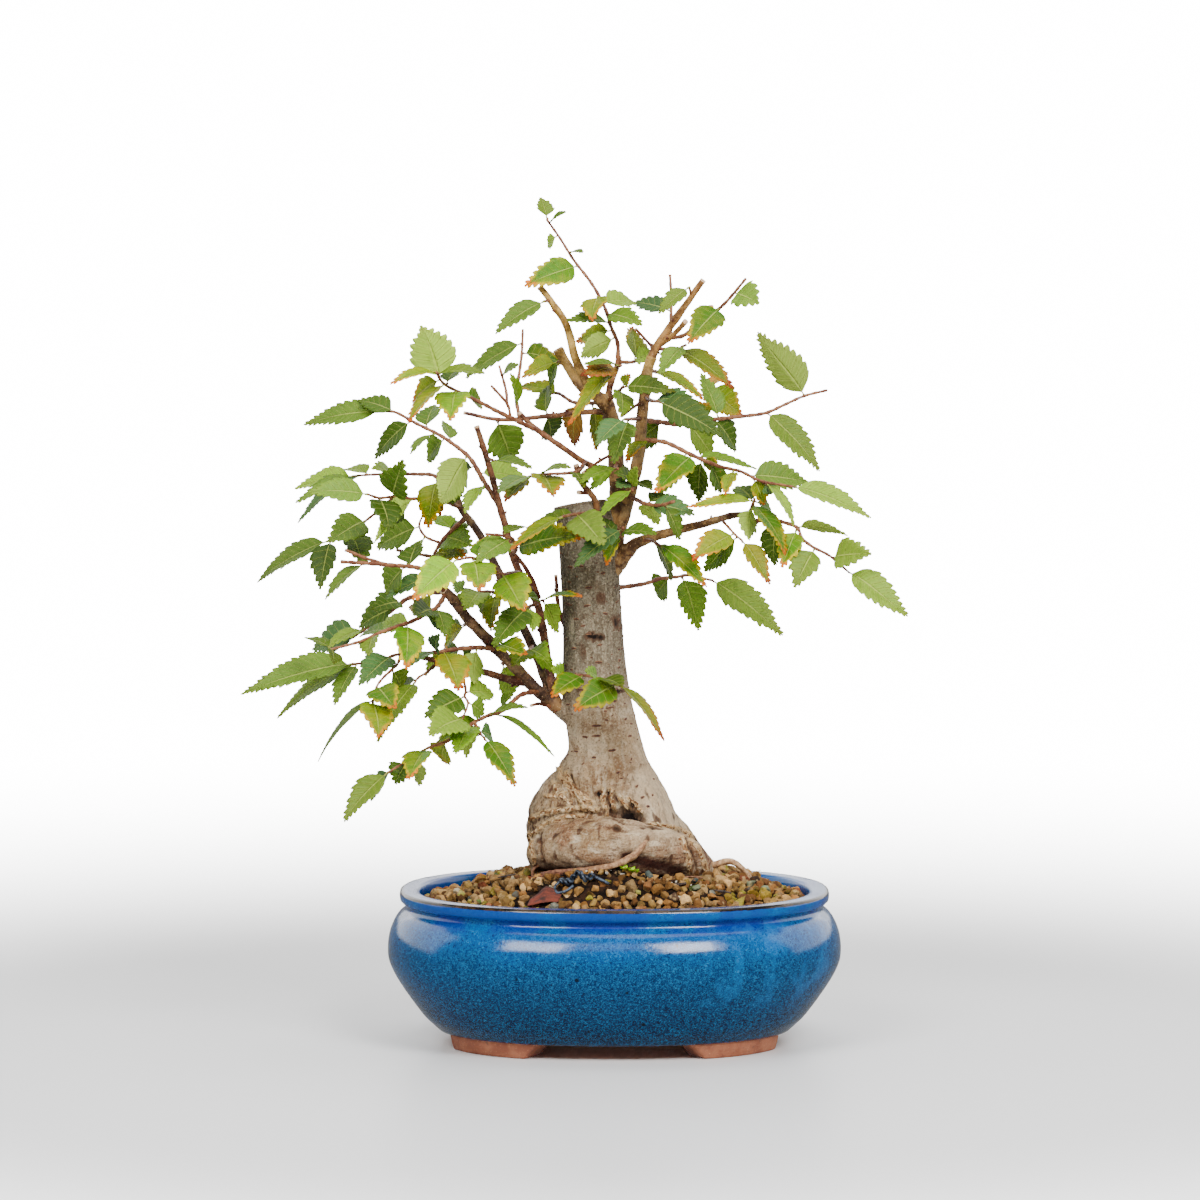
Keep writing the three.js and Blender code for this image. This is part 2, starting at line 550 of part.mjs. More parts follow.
// Shoots. Each has stems, as the radius at the start and the end and then points x, z, y of the front
// view, and leaves, as the base x, z, the tip x, z, how far the tip lies behind the base, the width
// and the facing.
const SHOOTS = [
  {
    name: 'crown_tip',
    stems: [[0.9, 0.45, [1, 299, 0], [1.5, 310, -2], [-1.5, 318, -3], [-4.5, 327, -3], [-10, 337, -2],
      [-18, 347.5, 0], [-24, 357, 1], [-30, 365.5, 2]]],
    leaves: [
      [-29.8, 365, -32.5, 375, 7, 8, 0.9], [-28.5, 364, -21.5, 368.5, -7, 6, 0.35],
      [-25, 358.5, -29.5, 353.5, 9, 6, 0.8], [-20.3, 350.5, -14, 350.7, -9, 5, 0.35],
      [-16, 345, -39.7, 336, -10, 14, 0.95], [-6.5, 332, -9.5, 320.5, -17, 12, 0.9],
      [-4.5, 329, 9.5, 328.3, 14, 12, 0.65], [-3, 324, 12, 318.5, -14, 11, 0.8],
      [-2, 320, -21, 320.5, -13, 11, 0.5], [-1, 316.5, -17, 311.5, 12, 10, 0.85],
      [0.5, 313.3, -14.8, 304.6, -17, 11, -0.9],
    ],
  },
  {
    name: 'high_left_spur',
    stems: [[0.7, 0.5, [-28.5, 329.5, -6], [-31, 329.3, -11]]],
    leaves: [[-31, 329.3, -52.5, 314.8, -12, 12, 0.75]],
  },
  {
    name: 'left_riser',
    stems: [[0.8, 0.45, [-42, 277.8, 13], [-43.5, 287, 18], [-42.3, 296, 22], [-41, 306, 25],
      [-40.5, 317, 28]]],
    leaves: [
      [-41.3, 311, -65.8, 295.5, 8, 12, 0.7], [-41, 306.5, -22.5, 302.3, 12, 12, 0.75],
      [-43.2, 283, -46, 297.5, -9, 9, 0.5],
    ],
  },
  {
    name: 'right_riser',
    stems: [[0.8, 0.5, [22, 312.5, -3], [24.6, 315, 4], [25, 330, 10], [24.5, 341, 13]]],
    leaves: [[24.8, 325, 8, 328.8, 9, 11, 0.75]],
  },
  {
    name: 'high_right_spur',
    stems: [[0.6, 0.45, [34, 332, -5], [33, 335.5, -10]]],
    leaves: [[33, 335.5, 19.5, 324, -9, 9, 0.8]],
  },
  {
    name: 'high_right',
    stems: [[0.9, 0.5, [22, 313.5, -3], [30, 314, -12], [40, 321, -21], [47.3, 327, -28], [52, 332, -32],
      [58, 339.3, -37]]],
    leaves: [
      [53, 333, 63.6, 328, -12, 14, 0.95], [46.5, 326.5, 32.5, 310.5, -16, 15, 0.95],
      [38, 319.5, 42, 327.5, 15, 9, 0.75],
    ],
  },
  {
    name: 'back_crown',
    stems: [[0.8, 0.5, [2, 302.5, 0], [8, 302.5, 9], [15, 305, 22]]],
    leaves: [[9, 302.7, 8, 318, 16, 12, 0.8], [8, 302.5, 18, 307, -6, 9, 0.8]],
  },
  {
    name: 'front_crown',
    stems: [[0.8, 0.5, [0.5, 298.5, 0], [1, 300, -8], [3, 301, -18]]],
    leaves: [
      [1.3, 300.3, -20.5, 274.5, -10, 12, 0.6], [1, 300, -15, 296.5, -18, 11, 0.8],
      [2.5, 300.7, -13.5, 301.5, -10, 9, 0.3],
    ],
  },
  {
    name: 'leader_front',
    stems: [[0.8, 0.5, [-3, 285, 2], [1, 289, -10], [4, 291.5, -22]]],
    leaves: [[2.5, 290.5, 3, 278.5, -15, 11, 0.85], [4, 291.5, 27, 289.5, -10, 12, 0.75],
      [3, 291, 7, 297, -9, 6, 0.8]],
  },
  {
    name: 'right_front_high',
    stems: [[0.8, 0.5, [19.5, 308.5, -3], [26, 307.5, -18], [31.5, 310, -30]]],
    leaves: [
      [31, 309.5, 19.5, 297, -14, 11, 0.75], [28, 308, 52.5, 290.3, -12, 13, 0.7],
    ],
  },
  {
    name: 'right_back_high',
    stems: [[0.8, 0.45, [15, 299, -4], [19, 298, 9], [23, 297, 20], [31, 292, 34], [38, 287.8, 46],
      [42, 291, 52]]],
    leaves: [
      [41, 290.3, 56.5, 279, 14, 14, 0.95], [41.5, 290.7, 50, 298, 10, 8, 0.6],
      [17.5, 298.2, 40, 285.3, -10, 10, 0.5],
    ],
  },
  {
    name: 'right_long',
    stems: [[1, 0.5, [12, 277, -5], [20, 276, 4], [29, 275, 12], [43, 277, 20], [57, 278.5, 28],
      [67, 280, 33],
      [75, 283.5, 37], [84, 287.5, 41], [94, 290, 46]]],
    leaves: [
      [84, 288, 63.5, 316, -5, 17, -0.95], [67.5, 280, 90.6, 254, -8, 14, 0.9],
      [46, 277.2, 38.5, 297.5, 9, 11, 0.85], [41, 276.8, 36.5, 285.5, -12, 8, 0.8],
      [21, 276, 10, 266.5, 15, 14, 0.95], [32, 275.3, 44.5, 260.5, 13, 13, 0.9],
      [44, 277, 54, 263.5, 17, 12, 0.8],
    ],
  },
  {
    name: 'right_front_mid',
    stems: [[0.9, 0.5, [14, 287, -5], [16, 285.5, -22], [19.5, 285, -42]]],
    leaves: [[17, 285.4, 35.5, 285, -18, 13, 0.55], [19.5, 285, 47.8, 268.8, -12, 15, 0.95]],
  },
  {
    name: 'right_reach',
    stems: [[1, 0.45, [11.5, 268, -5], [20, 267.5, -8], [25, 266, -10], [35, 261, -14], [46, 256.5, -20],
      [56, 254, -26], [65, 249.8, -32], [79, 247.3, -40]]],
    leaves: [
      [34.5, 261, 17.8, 244.8, -18, 15, 0.9], [32, 262.3, 19.5, 242.8, 10, 13, -0.85],
      [37, 260, 47, 252.3, -15, 9, -0.6], [38.5, 259.3, 37, 240.8, 12, 12, 0.85],
      [42, 258, 47, 244.5, 16, 11, 0.8], [36, 260.6, 63, 255.3, 12, 8, 0.5],
      [60, 252.3, 86, 249.5, 12, 15, 0.85], [79, 247.3, 113.7, 233.6, -8, 15, 0.6],
      [53, 254.7, 49.3, 243.7, -12, 8, 0.8], [61, 251.7, 66.5, 239.3, -10, 10, 0.85],
      [65.5, 249.7, 69.5, 243.8, 12, 9, 0.8], [67, 249.4, 79.2, 229.7, -8, 9, 0.5],
      [14, 267.8, 5.3, 258, -16, 8, 0.7],
    ],
  },
  {
    name: 'right_fork',
    stems: [[0.8, 0.5, [59.5, 235, -22], [61.5, 240, -27], [62, 242, -29]]],
    leaves: [
      [61.8, 241, 32, 238.3, -12, 9, 0.55], [61.6, 240.5, 54, 247.5, 15, 13, 0.8],
      [61.5, 239.5, 75.2, 216.8, -14, 11, 0.75], [61, 239, 59.7, 223.6, 14, 11, -0.8],
      [62, 241, 69.8, 235.5, -8, 8, 0.6],
    ],
  },
  {
    name: 'right_far',
    stems: [[0.9, 0.4, [62, 232, -22], [70, 232.5, -32], [80.5, 229.5, -40], [83, 224.5, -42],
      [88, 220.5, -45],
      [91, 219, -46], [96, 216.2, -48], [103.5, 209.7, -52]]],
    leaves: [
      [80.5, 229.5, 103.3, 225.5, -15, 9, -0.5], [81, 228.5, 74, 211.5, -12, 12, 0.9],
      [72, 232, 71, 212.5, 13, 12, 0.85], [89, 220, 79.8, 202.6, -8, 14, 0.95],
      [96.5, 216, 113.8, 217.5, -16, 15, 0.9], [103.5, 209.7, 130.3, 189.8, -8, 15, 0.85],
    ],
  },
  {
    name: 'right_hanging',
    stems: [[0.6, 0.4, [47, 233.2, -19], [49, 231, -26], [53.5, 226, -33], [56.5, 223.5, -37]]],
    leaves: [[53, 226.5, 34.7, 214.3, -12, 13, 0.85], [54.5, 225.2, 40, 209.8, 14, 14, 0.85],
      [56.5, 223.5, 69, 204, -10, 10, 0.85]],
  },
  {
    name: 'right_under',
    stems: [[0.8, 0.5, [13, 223.5, -8], [16, 223.5, -16], [20, 221.5, -26]]],
    leaves: [[19.8, 221.6, 41, 202.8, -12, 12, 0.75], [17.5, 222.8, 25.5, 206, 10, 11, 0.55]],
  },
  {
    name: 'right_front_low',
    stems: [[0.9, 0.6, [6.5, 243, -4], [11, 241, -18], [13, 240, -28], [20, 239, -38],
      [26.5, 240.8, -46]]],
    leaves: [[14, 239.8, 26.5, 243, 12, 10, 0.5], [15, 239.6, 35.5, 234.8, -14, 13, 0.75],
      [22, 239.3, 29, 223.8, 11, 10, 0.7], [12, 240.5, 19.5, 230.5, 9, 11, -0.8]],
  },
  {
    name: 'crotch_front',
    stems: [[0.8, 0.5, [8.5, 252, -5], [8, 248, -18], [8, 245.5, -30]]],
    leaves: [
      [7.9, 246, -6.5, 233.8, -12, 9, 0.55], [8, 248.5, 1, 247, -12, 9, 0.6],
      [8.1, 249, 16.5, 245.8, -14, 9, 0.5], [8, 247, 10, 256, -9, 7, 0.8],
      [8, 249.7, 0, 253.5, -10, 9, 0.7],
    ],
  },
  {
    name: 'crotch_low',
    stems: [[0.9, 0.5, [-1, 221, -5], [2, 226, -24], [3.8, 229, -40]]],
    leaves: [
      [3.5, 228.5, -17.8, 211.8, -14, 12, 0.75], [2.5, 226.8, 18.5, 226, -14, 11, 0.55],
      [1.5, 225, -8, 234, 12, 8, 0.45], [2, 226, -3.6, 212.5, -12, 9, 0.7],
    ],
  },
  {
    name: 'stump_front',
    stems: [[0.9, 0.5, [-10, 234, -8], [-12, 235.5, -24], [-18, 235, -38], [-23, 234, -48]]],
    leaves: [
      [-22.8, 234, -46.3, 219.3, -10, 11, 0.5], [-17, 235.1, -4.5, 221.5, -20, 17, 0.95],
      [-16.5, 235.1, -38.5, 228, 10, 10, 0.45],
    ],
  },
  {
    name: 'left_inner',
    stems: [[0.8, 0.5, [-44.5, 218, -9], [-43.5, 219.8, -24], [-45, 224, -34], [-50, 225.7, -40],
      [-57, 226.3, -46]]],
    leaves: [
      [-43.7, 220, -12.4, 225.3, -14, 16, 0.85], [-46, 224.4, -61.5, 213.7, -12, 13, 0.9],
      [-50, 225.7, -39, 229.3, 11, 9, 0.4], [-44.4, 222.5, -49.5, 218, -9, 6, 0.6],
    ],
  },
  {
    name: 'left_front_mid',
    stems: [[0.8, 0.45, [-42, 209.5, 2.5], [-46.5, 209, -14], [-50, 208.6, -28], [-56, 211.3, -36],
      [-62.5, 215.7, -44], [-70, 214.8, -52]]],
    leaves: [
      [-50, 208.6, -39.8, 192, -12, 18, 0.95], [-62.5, 215.6, -60.3, 201, -16, 17, 0.95],
      [-70, 214.8, -89.8, 197.2, -14, 18, 0.9], [-61.5, 215, -56, 225.8, 10, 9, 0.65],
    ],
  },
  {
    name: 'left_back_mid',
    stems: [
      [1, 0.5, [-66, 233.5, 19], [-74, 226, 26], [-77, 222.3, 30], [-80, 217, 35], [-80.5, 212.5, 39]],
      [0.6, 0.4, [-77, 222.3, 30], [-83.5, 225, 34], [-86.5, 229.8, 37], [-85, 234.5, 40]],
      [0.7, 0.6, [-79.7, 216.2, 36], [-88, 217.5, 42], [-96.5, 219.2, 47]],
    ],
    leaves: [
      [-75, 225, -63.5, 220.8, -15, 16, 0.9], [-77.3, 222, -65.3, 219.3, 14, 12, 0.6],
      [-72, 227.8, -79, 234.5, 14, 10, 0.8], [-73, 227, -66.5, 231.5, 14, 11, 0.8],
      [-79.5, 217.5, -65.5, 216.5, -12, 12, 0.8], [-86.4, 229.7, -105.3, 220.3, 12, 15, 0.85],
      [-83.7, 225.2, -91.8, 211.7, -10, 8, 0.5],
    ],
  },
  {
    name: 'left_long',
    stems: [[1.1, 0.5, [-50.5, 238, -1], [-58, 250, 4], [-64, 260, 10], [-72.5, 267, 16],
      [-78, 270.5, 20],
      [-88, 275.5, 26], [-97, 280.3, 32], [-103.5, 280.6, 36]]],
    leaves: [
      [-103.5, 280.5, -137.5, 274.6, 8, 14, 0.75], [-97, 280.4, -113.7, 285.5, 17, 12, 0.75],
      [-90, 276.5, -106, 259.5, 11, 12, 0.8], [-83.5, 273.2, -79.5, 283.5, 17, 12, 0.85],
      [-75, 268.7, -83, 259, 16, 11, 0.8], [-79, 271, -90.3, 261.8, -12, 9, 0.35],
      [-72.5, 267, -76, 276.5, 12, 8, 0.7], [-65, 261, -77.3, 240.7, -14, 16, -0.95],
      [-60, 253.3, -37.5, 251, -18, 14, 0.65], [-62, 256.7, -70.5, 248.5, 14, 10, 0.5],
      [-57, 248.5, -66.3, 235.6, -12, 11, 0.55],
    ],
  },
  {
    name: 'mid_left_front',
    stems: [[0.9, 0.4, [-13, 258.2, -7], [-16, 254.3, -20], [-22, 253.2, -30], [-33, 252.8, -44],
      [-38, 251.8, -50]]],
    leaves: [
      [-32, 252.8, -27.3, 243, -18, 16, 0.8], [-33, 252.8, -19.5, 255.5, -12, 9, 0.3],
      [-38, 251.8, -51, 244.5, -16, 12, 0.5], [-36.5, 252.1, -48.5, 240.5, -6, 14, 0.6],
      [-18, 254, -13.5, 247, -12, 9, 0.7],
    ],
  },
  {
    name: 'riser_top_spur',
    stems: [[0.7, 0.5, [-56.5, 260, -4], [-54, 259, -16]]],
    leaves: [[-54, 259, -36.5, 255.3, -10, 10, 0.4]],
  },
  {
    name: 'level_spur_left',
    stems: [[0.7, 0.5, [-50, 277, 16], [-52, 276.5, 26]]],
    leaves: [[-52, 276.5, -46, 258, 13, 19, 0.97]],
  },
  {
    name: 'level_spur_right',
    stems: [[0.7, 0.5, [-30, 278.5, 11], [-30, 279, 22]]],
    leaves: [[-30, 278.9, -29.3, 292, 14, 10, 0.75], [-29.5, 279, -28, 269, 16, 13, 0.85]],
  },
  {
    name: 'left_cluster',
    stems: [
      [1, 0.5, [-33, 271.8, -13], [-40, 275, -24], [-52, 280.8, -34], [-60, 285, -40], [-73, 291.3, -48],
        [-76.5, 294, -51], [-79, 298.5, -53]],
      [0.6, 0.5, [-46, 277.9, -29], [-47.5, 284, -31], [-54.5, 292, -36]],
      [0.6, 0.5, [-47.5, 284, -31], [-48, 290, -28], [-51, 301, -26]],
    ],
    leaves: [
      [-78.7, 298, -86.3, 321.3, -8, 23, -0.98], [-79, 298.3, -99.3, 292.6, -14, 10, 0.45],
      [-78.3, 297.5, -57.5, 297.3, -14, 10, 0.4], [-77, 295, -89.3, 284.6, 12, 11, 0.8],
      [-75, 292.8, -90.8, 275.7, -10, 12, 0.5], [-70, 290, -73, 276.7, -19, 16, 0.95],
      [-66, 288, -59, 283.6, 13, 10, 0.7], [-74.5, 292.5, -69, 299.5, 12, 9, 0.7],
      [-50.5, 296.5, -42.5, 301.3, -8, 7, 0.5],
    ],
  },
  {
    name: 'arm_spur',
    stems: [[0.7, 0.5, [-22.5, 303.5, 7], [-25, 302.5, 18]]],
    leaves: [[-24.8, 302.5, -41, 295.7, 14, 12, 0.65], [-24.2, 302.7, -28.3, 291.5, 13, 9, 0.6]],
  },
  {
    name: 'inner_back',
    stems: [[0.8, 0.6, [-4, 284.5, 2], [-12, 284.3, 14], [-18.5, 284.8, 25], [-24.5, 288.5, 34],
      [-28.8, 288.7, 40]]],
    leaves: [
      [-24.5, 288.5, -43, 291.3, 14, 10, 0.65], [-16, 284.6, -17.3, 265, 14, 13, 0.75],
      [-10, 284.3, -8, 263.5, 13, 12, 0.7],
    ],
  },
  {
    name: 'leader_mid_front',
    stems: [[0.9, 0.5, [11.5, 277.5, -5], [8, 277.3, -20], [4.5, 277.2, -34]]],
    leaves: [[4.5, 277.2, -8.5, 265.7, -15, 12, 0.75], [6.5, 277.2, -0.5, 257.5, -12, 14, 0.85]],
  },
  {
    name: 'leader_low_front',
    stems: [[0.8, 0.5, [1, 257, -1], [0.5, 256, -14], [1.5, 255.3, -27]]],
    leaves: [[1, 255.5, -15.5, 248.7, -14, 9, 0.55], [0.6, 255.7, -10.8, 246, 6, 9, 0.7]],
  },
  {
    name: 'left_back_high',
    stems: [[0.9, 0.4, [-69, 241, 19.5], [-76, 248, 28], [-80, 252.3, 34], [-87, 252.8, 42],
      [-97, 253, 52],
      [-108, 252.6, 62], [-116, 252, 70]]],
    leaves: [
      [-115.5, 252, -141.5, 246.3, 8, 13, 0.6], [-108.5, 252.6, -119.5, 255, 15, 10, 0.5],
      [-115.5, 252, -141.3, 240.2, -10, 11, 0.55], [-113, 252.3, -140.3, 231.3, -16, 10, 0.5],
      [-97.5, 253, -107.5, 255.3, -14, 10, 0.5],
    ],
  },
  {
    name: 'left_reach',
    stems: [
      [0.9, 0.45, [-68, 238, 19], [-76, 241, 8], [-86, 242, -2], [-90, 242, -6], [-98, 242.8, -14],
        [-104, 242.3, -20], [-109.5, 244, -26]],
      [0.6, 0.35, [-98, 242.8, -14], [-103, 238, -6], [-110, 232.3, 2], [-117, 226.6, 10],
        [-127, 223.3, 20]],
    ],
    leaves: [
      [-109.3, 244, -135.3, 244.8, -8, 14, 0.8], [-97.8, 242.9, -94, 259.3, -17, 16, 0.9],
      [-104, 242.3, -100.3, 228, -17, 15, 0.85], [-92, 242.2, -97.3, 231.5, 13, 12, 0.8],
      [-89, 242, -106.3, 222.3, -12, 12, -0.6], [-110, 232.3, -127.3, 223, -16, 16, 0.9],
      [-127, 223.3, -158.3, 204.8, 10, 13, 0.6], [-125.5, 223.7, -130.7, 201.7, -12, 13, 0.9],
      [-117, 226.6, -110.8, 213, -17, 15, 0.85],
    ],
  },
  {
    name: 'back_stem_top',
    stems: [[0.8, 0.5, [-70, 244.5, 20], [-73, 248.5, 8], [-78.5, 251, -6]]],
    leaves: [[-78.3, 251, -82.7, 229, -12, 15, 0.85], [-75.5, 249.7, -77, 234.7, -14, 12, 0.75],
      [-72.5, 248, -71.5, 239.5, 14, 10, 0.8]],
  },
  {
    name: 'left_cut_twig',
    stems: [
      [1, 0.7, [-74.5, 200, -18], [-80, 206, -28], [-86, 211, -36], [-100, 212.6, -48], [-121, 214, -62]],
      [0.7, 0.6, [-101, 212.7, -48.7], [-110, 215.5, -52], [-119.3, 219.2, -56]],
    ],
    leaves: [
      [-111, 213.3, -128.3, 197.3, -10, 10, 0.5], [-91, 211.6, -87, 222.5, 14, 13, 0.8],
      [-93, 211.8, -101.3, 199.5, 15, 14, 0.85], [-81.5, 207.3, -101.5, 197.5, -14, 12, 0.6],
    ],
  },
  {
    name: 'left_low_front',
    stems: [[1, 0.45, [-75, 199.5, -18.5], [-79, 193.5, -30], [-85, 190, -38], [-91, 187, -44],
      [-97, 185, -50],
      [-105, 182, -58], [-113, 178.5, -65], [-125.7, 175, -75]]],
    leaves: [
      [-92, 186.7, -92.5, 166.2, -14, 15, 0.9], [-90, 187.5, -106, 182.6, 14, 12, 0.65],
      [-81, 192.3, -89.3, 190.3, -18, 13, 0.8], [-80, 193, -91, 194, 14, 11, 0.75],
      [-79, 193.7, -75.5, 180.7, -14, 11, 0.8], [-84, 190.5, -77, 184, 14, 9, 0.6],
      [-125.5, 175, -124.7, 168.7, -10, 8, 0.65], [-107, 181, -109, 172.3, -13, 10, 0.8],
      [-101, 183.5, -113, 180.8, 14, 9, 0.45], [-125.5, 175, -137.3, 180.3, 12, 8, 0.4],
    ],
  },
  {
    name: 'left_low_back',
    stems: [[1, 0.7, [-74.5, 200.5, -18], [-84, 200, -6], [-92, 197.5, 4], [-96, 194.5, 8],
      [-104, 188.5, 16],
      [-118.7, 179, 28]]],
    leaves: [
      [-97, 193.8, -113.3, 184.7, 14, 14, 0.8], [-113, 182.7, -134, 175.2, 13, 17, 0.8],
      [-111, 184, -126.8, 175.7, -12, 10, 0.55], [-94, 196, -108.5, 193, -14, 13, 0.7],
    ],
  },
  {
    name: 'left_low_reach',
    stems: [
      [1, 0.4, [-51, 175, -11], [-60, 175.8, -18], [-70, 175.2, -24], [-80, 173.6, -30],
        [-90, 173.2, -35],
        [-97, 172.6, -39], [-103, 170.3, -42], [-109, 169, -45], [-116.5, 168.6, -49]],
      [0.6, 0.4, [-95, 172.8, -38], [-96, 169, -44], [-98.5, 166.3, -50], [-103, 162, -58],
        [-105.7, 158, -64],
        [-107, 152, -70]],
    ],
    leaves: [
      [-116.5, 168.6, -166, 155, -10, 18, 0.65], [-115, 168.7, -149.7, 144.2, 14, 12, 0.6],
      [-98.5, 172, -113.7, 159.3, -16, 15, 0.8], [-114, 168.7, -124.3, 150.3, -14, 11, 0.75],
      [-104, 170, -110, 160.3, 14, 10, 0.65], [-99, 165.8, -94.5, 158, 18, 13, 0.85],
      [-105.5, 158.3, -97, 148.8, -18, 15, 0.9], [-107, 152, -105.3, 135.7, -15, 16, 0.9],
      [-106.8, 153, -131.7, 124.8, 12, 10, 0.25], [-80.5, 173.6, -91.8, 167.2, -13, 9, 0.5],
      [-79, 173.8, -77.5, 181.5, -14, 9, 0.7], [-72.5, 174.8, -83.8, 163.2, -15, 10, -0.5],
      [-76, 174.3, -69.3, 156.6, -14, 17, 0.85], [-61, 175.8, -62, 159.6, -14, 12, -0.85],
      [-63, 175.7, -65, 168.7, 14, 9, 0.6], [-68, 175.3, -74, 169.3, 16, 10, 0.7],
    ],
  },
  {
    name: 'low_branch_front',
    stems: [[0.7, 0.5, [-51.5, 174.5, -11], [-53, 177.5, -24], [-52.5, 177, -34]]],
    leaves: [[-52.5, 177, -38.7, 172.8, -13, 13, 0.6]],
  },
  {
    name: 'low_branch_back',
    stems: [[0.7, 0.5, [-47, 169.5, -10], [-49, 169, 4], [-50, 168.8, 12]]],
    leaves: [[-49.8, 168.8, -46, 153, 14, 14, 0.85]],
  },
  {
    name: 'low_branch_top',
    stems: [[0.7, 0.5, [-63, 186.5, -15], [-65.5, 186, -2], [-66.5, 186.3, 10]]],
    leaves: [[-66, 186, -76, 174.6, 9, 10, 0.55], [-66.5, 186.3, -74.7, 180, 14, 9, 0.55]],
  },
  {
    name: 'riser_low',
    stems: [
      [0.8, 0.5, [-34, 195, 4], [-37, 194.5, -10], [-39, 193.3, -20]],
      [0.6, 0.4, [-36, 194.8, -6], [-32, 197, -14]],
    ],
    leaves: [
      [-39, 193, -53.5, 176, -14, 15, 0.9], [-37.5, 194.2, -36.5, 183, -12, 9, 0.7],
      [-32, 197, -14.5, 198.3, -14, 8, 0.25], [-32, 197, -24.8, 182.7, 7, 10, 0.8],
      [-33, 196.5, -38.5, 199, -10, 6, 0.5],
    ],
  },
  {
    name: 'back_stem_mid',
    stems: [[0.8, 0.4, [-47, 200.5, 14], [-52, 200.3, 2], [-57, 200.8, -6], [-62, 200, -12],
      [-67, 199, -18]]],
    leaves: [
      [-59, 200.5, -66.8, 192.5, -16, 14, 0.85], [-53.5, 200.4, -58.3, 189.5, 12, 13, 0.85],
      [-52, 200.3, -54.3, 183.3, -14, 11, 0.8], [-63, 199.8, -69, 194.5, 12, 9, -0.6],
      [-66.7, 199, -71.8, 204.5, -10, 9, 0.7],
    ],
  },
  {
    name: 'back_stem_low',
    stems: [[0.8, 0.5, [-36.5, 176.5, 10], [-37, 175.2, -4], [-38, 174.8, -16]]],
    leaves: [[-37.8, 174.9, -29, 170.2, -15, 12, 0.85], [-38, 174.8, -45.3, 167.6, -12, 12, 0.85],
      [-37.2, 175, -27.5, 165, 4, 10, 0.7]],
  },
  {
    name: 'trunk_front',
    stems: [[0.8, 0.4, [-27, 156.5, 1.5], [-26, 161.5, -14], [-20, 163.2, -26], [-13.5, 163.4, -33],
      [-6, 161.9, -37], [2, 159.4, -39]]],
    leaves: [
      [-22.5, 162.7, -28, 166.5, -12, 9, 0.75], [-14, 163.4, -27.8, 153.6, -14, 12, 0.8],
      [-7, 162.2, -13, 165.5, -9, 7, 0.65], [-5.5, 161.8, 3.5, 158.3, -15, 11, 0.5],
      [-3, 161, -17.5, 147, -18, 17, 0.95], [2, 159.4, 22.2, 134.2, -12, 11, 0.4],
    ],
  },
  {
    name: 'low_twig',
    stems: [
      [1, 0.4, [-33, 156.5, -6], [-41, 155, -16], [-46, 151, -23], [-50, 147.5, -28], [-56, 145.6, -34],
        [-62, 142.6, -39], [-66, 139.7, -43], [-74, 134.2, -49], [-83, 131, -55], [-91, 126, -61],
        [-101, 120, -69]],
      [0.6, 0.4, [-62, 142.6, -39], [-60, 138, -46], [-57.7, 135.4, -51]],
    ],
    leaves: [
      [-56, 145.6, -38.5, 149, -13, 9, 0.3], [-50, 147.5, -46, 156, -8, 7, 0.5],
      [-53, 146.5, -26.7, 127.2, -10, 9, 0.25], [-59, 144, -80.3, 131.8, -14, 12, 0.6],
      [-75, 133.8, -76.3, 125, 16, 13, 0.85], [-64, 141, -70.8, 128.5, -14, 14, 0.9],
      [-62, 142, -65.7, 126.7, 13, 11, -0.8], [-57.7, 135.4, -44, 114, -12, 13, 0.8],
      [-60, 138.5, -54.5, 135.8, 15, 9, 0.7], [-83.5, 130.7, -91.3, 117, -14, 13, 0.8],
      [-91.5, 125.7, -97.5, 115, -17, 13, 0.85], [-90, 126.7, -86.7, 114, 13, 10, -0.7],
      [-101, 120, -120, 98, -10, 13, 0.8], [-99, 121, -108.3, 107.6, 13, 9, 0.6],
    ],
  },
  {
    name: 'hanging_twig',
    stems: [[0.6, 0.4, [-64, 166, -17], [-66.8, 162.5, -26], [-66, 157, -33], [-66.5, 154, -37],
      [-65, 151, -40],
      [-67.5, 144, -45]]],
    leaves: [
      [-66.5, 154, -84.3, 144.7, -12, 16, 0.85], [-67.5, 144, -82.3, 136.5, -14, 18, 0.85],
      [-66, 156, -53.7, 155, 14, 12, 0.75], [-65, 151.7, -58, 146, 14, 11, 0.8],
    ],
  },
  {
    name: 'low_branch_tip',
    stems: [[0.6, 0.4, [-78, 169.8, -23.5], [-83, 165, -31], [-87, 162.5, -36], [-88.7, 160, -39]]],
    leaves: [[-87, 162.5, -98.3, 150.3, 12, 9, 0.3], [-88.5, 160.2, -104.7, 133.7, -10, 12, 0.85]],
  },
  {
    name: 'low_right',
    stems: [[1, 0.45, [-3, 202, 4], [10, 203.6, 12], [16, 205, 16], [20, 206.5, 19], [28, 207.3, 25],
      [33, 208, 28],
      [43.5, 205.7, 36]]],
    leaves: [[24.5, 206.9, 19, 199, 14, 14, 0.85], [30, 207.5, 37.4, 183.5, -8, 15, 0.9],
      [43.5, 205.7, 74.7, 181.2, -8, 17, 0.85]],
  },
];

// Extra depth of a leaf's tip that is tried, in turn, until the leaf is clear of its neighbours.
const TURNS = [0, 3, -3, 6, -6, 9, -9, 12, -12, 16, -16, 20, -20, 25, -25];
const OWN_STEM_OVERLAP = 0.1;
const OWN_LEAF_OVERLAP = 0.04;

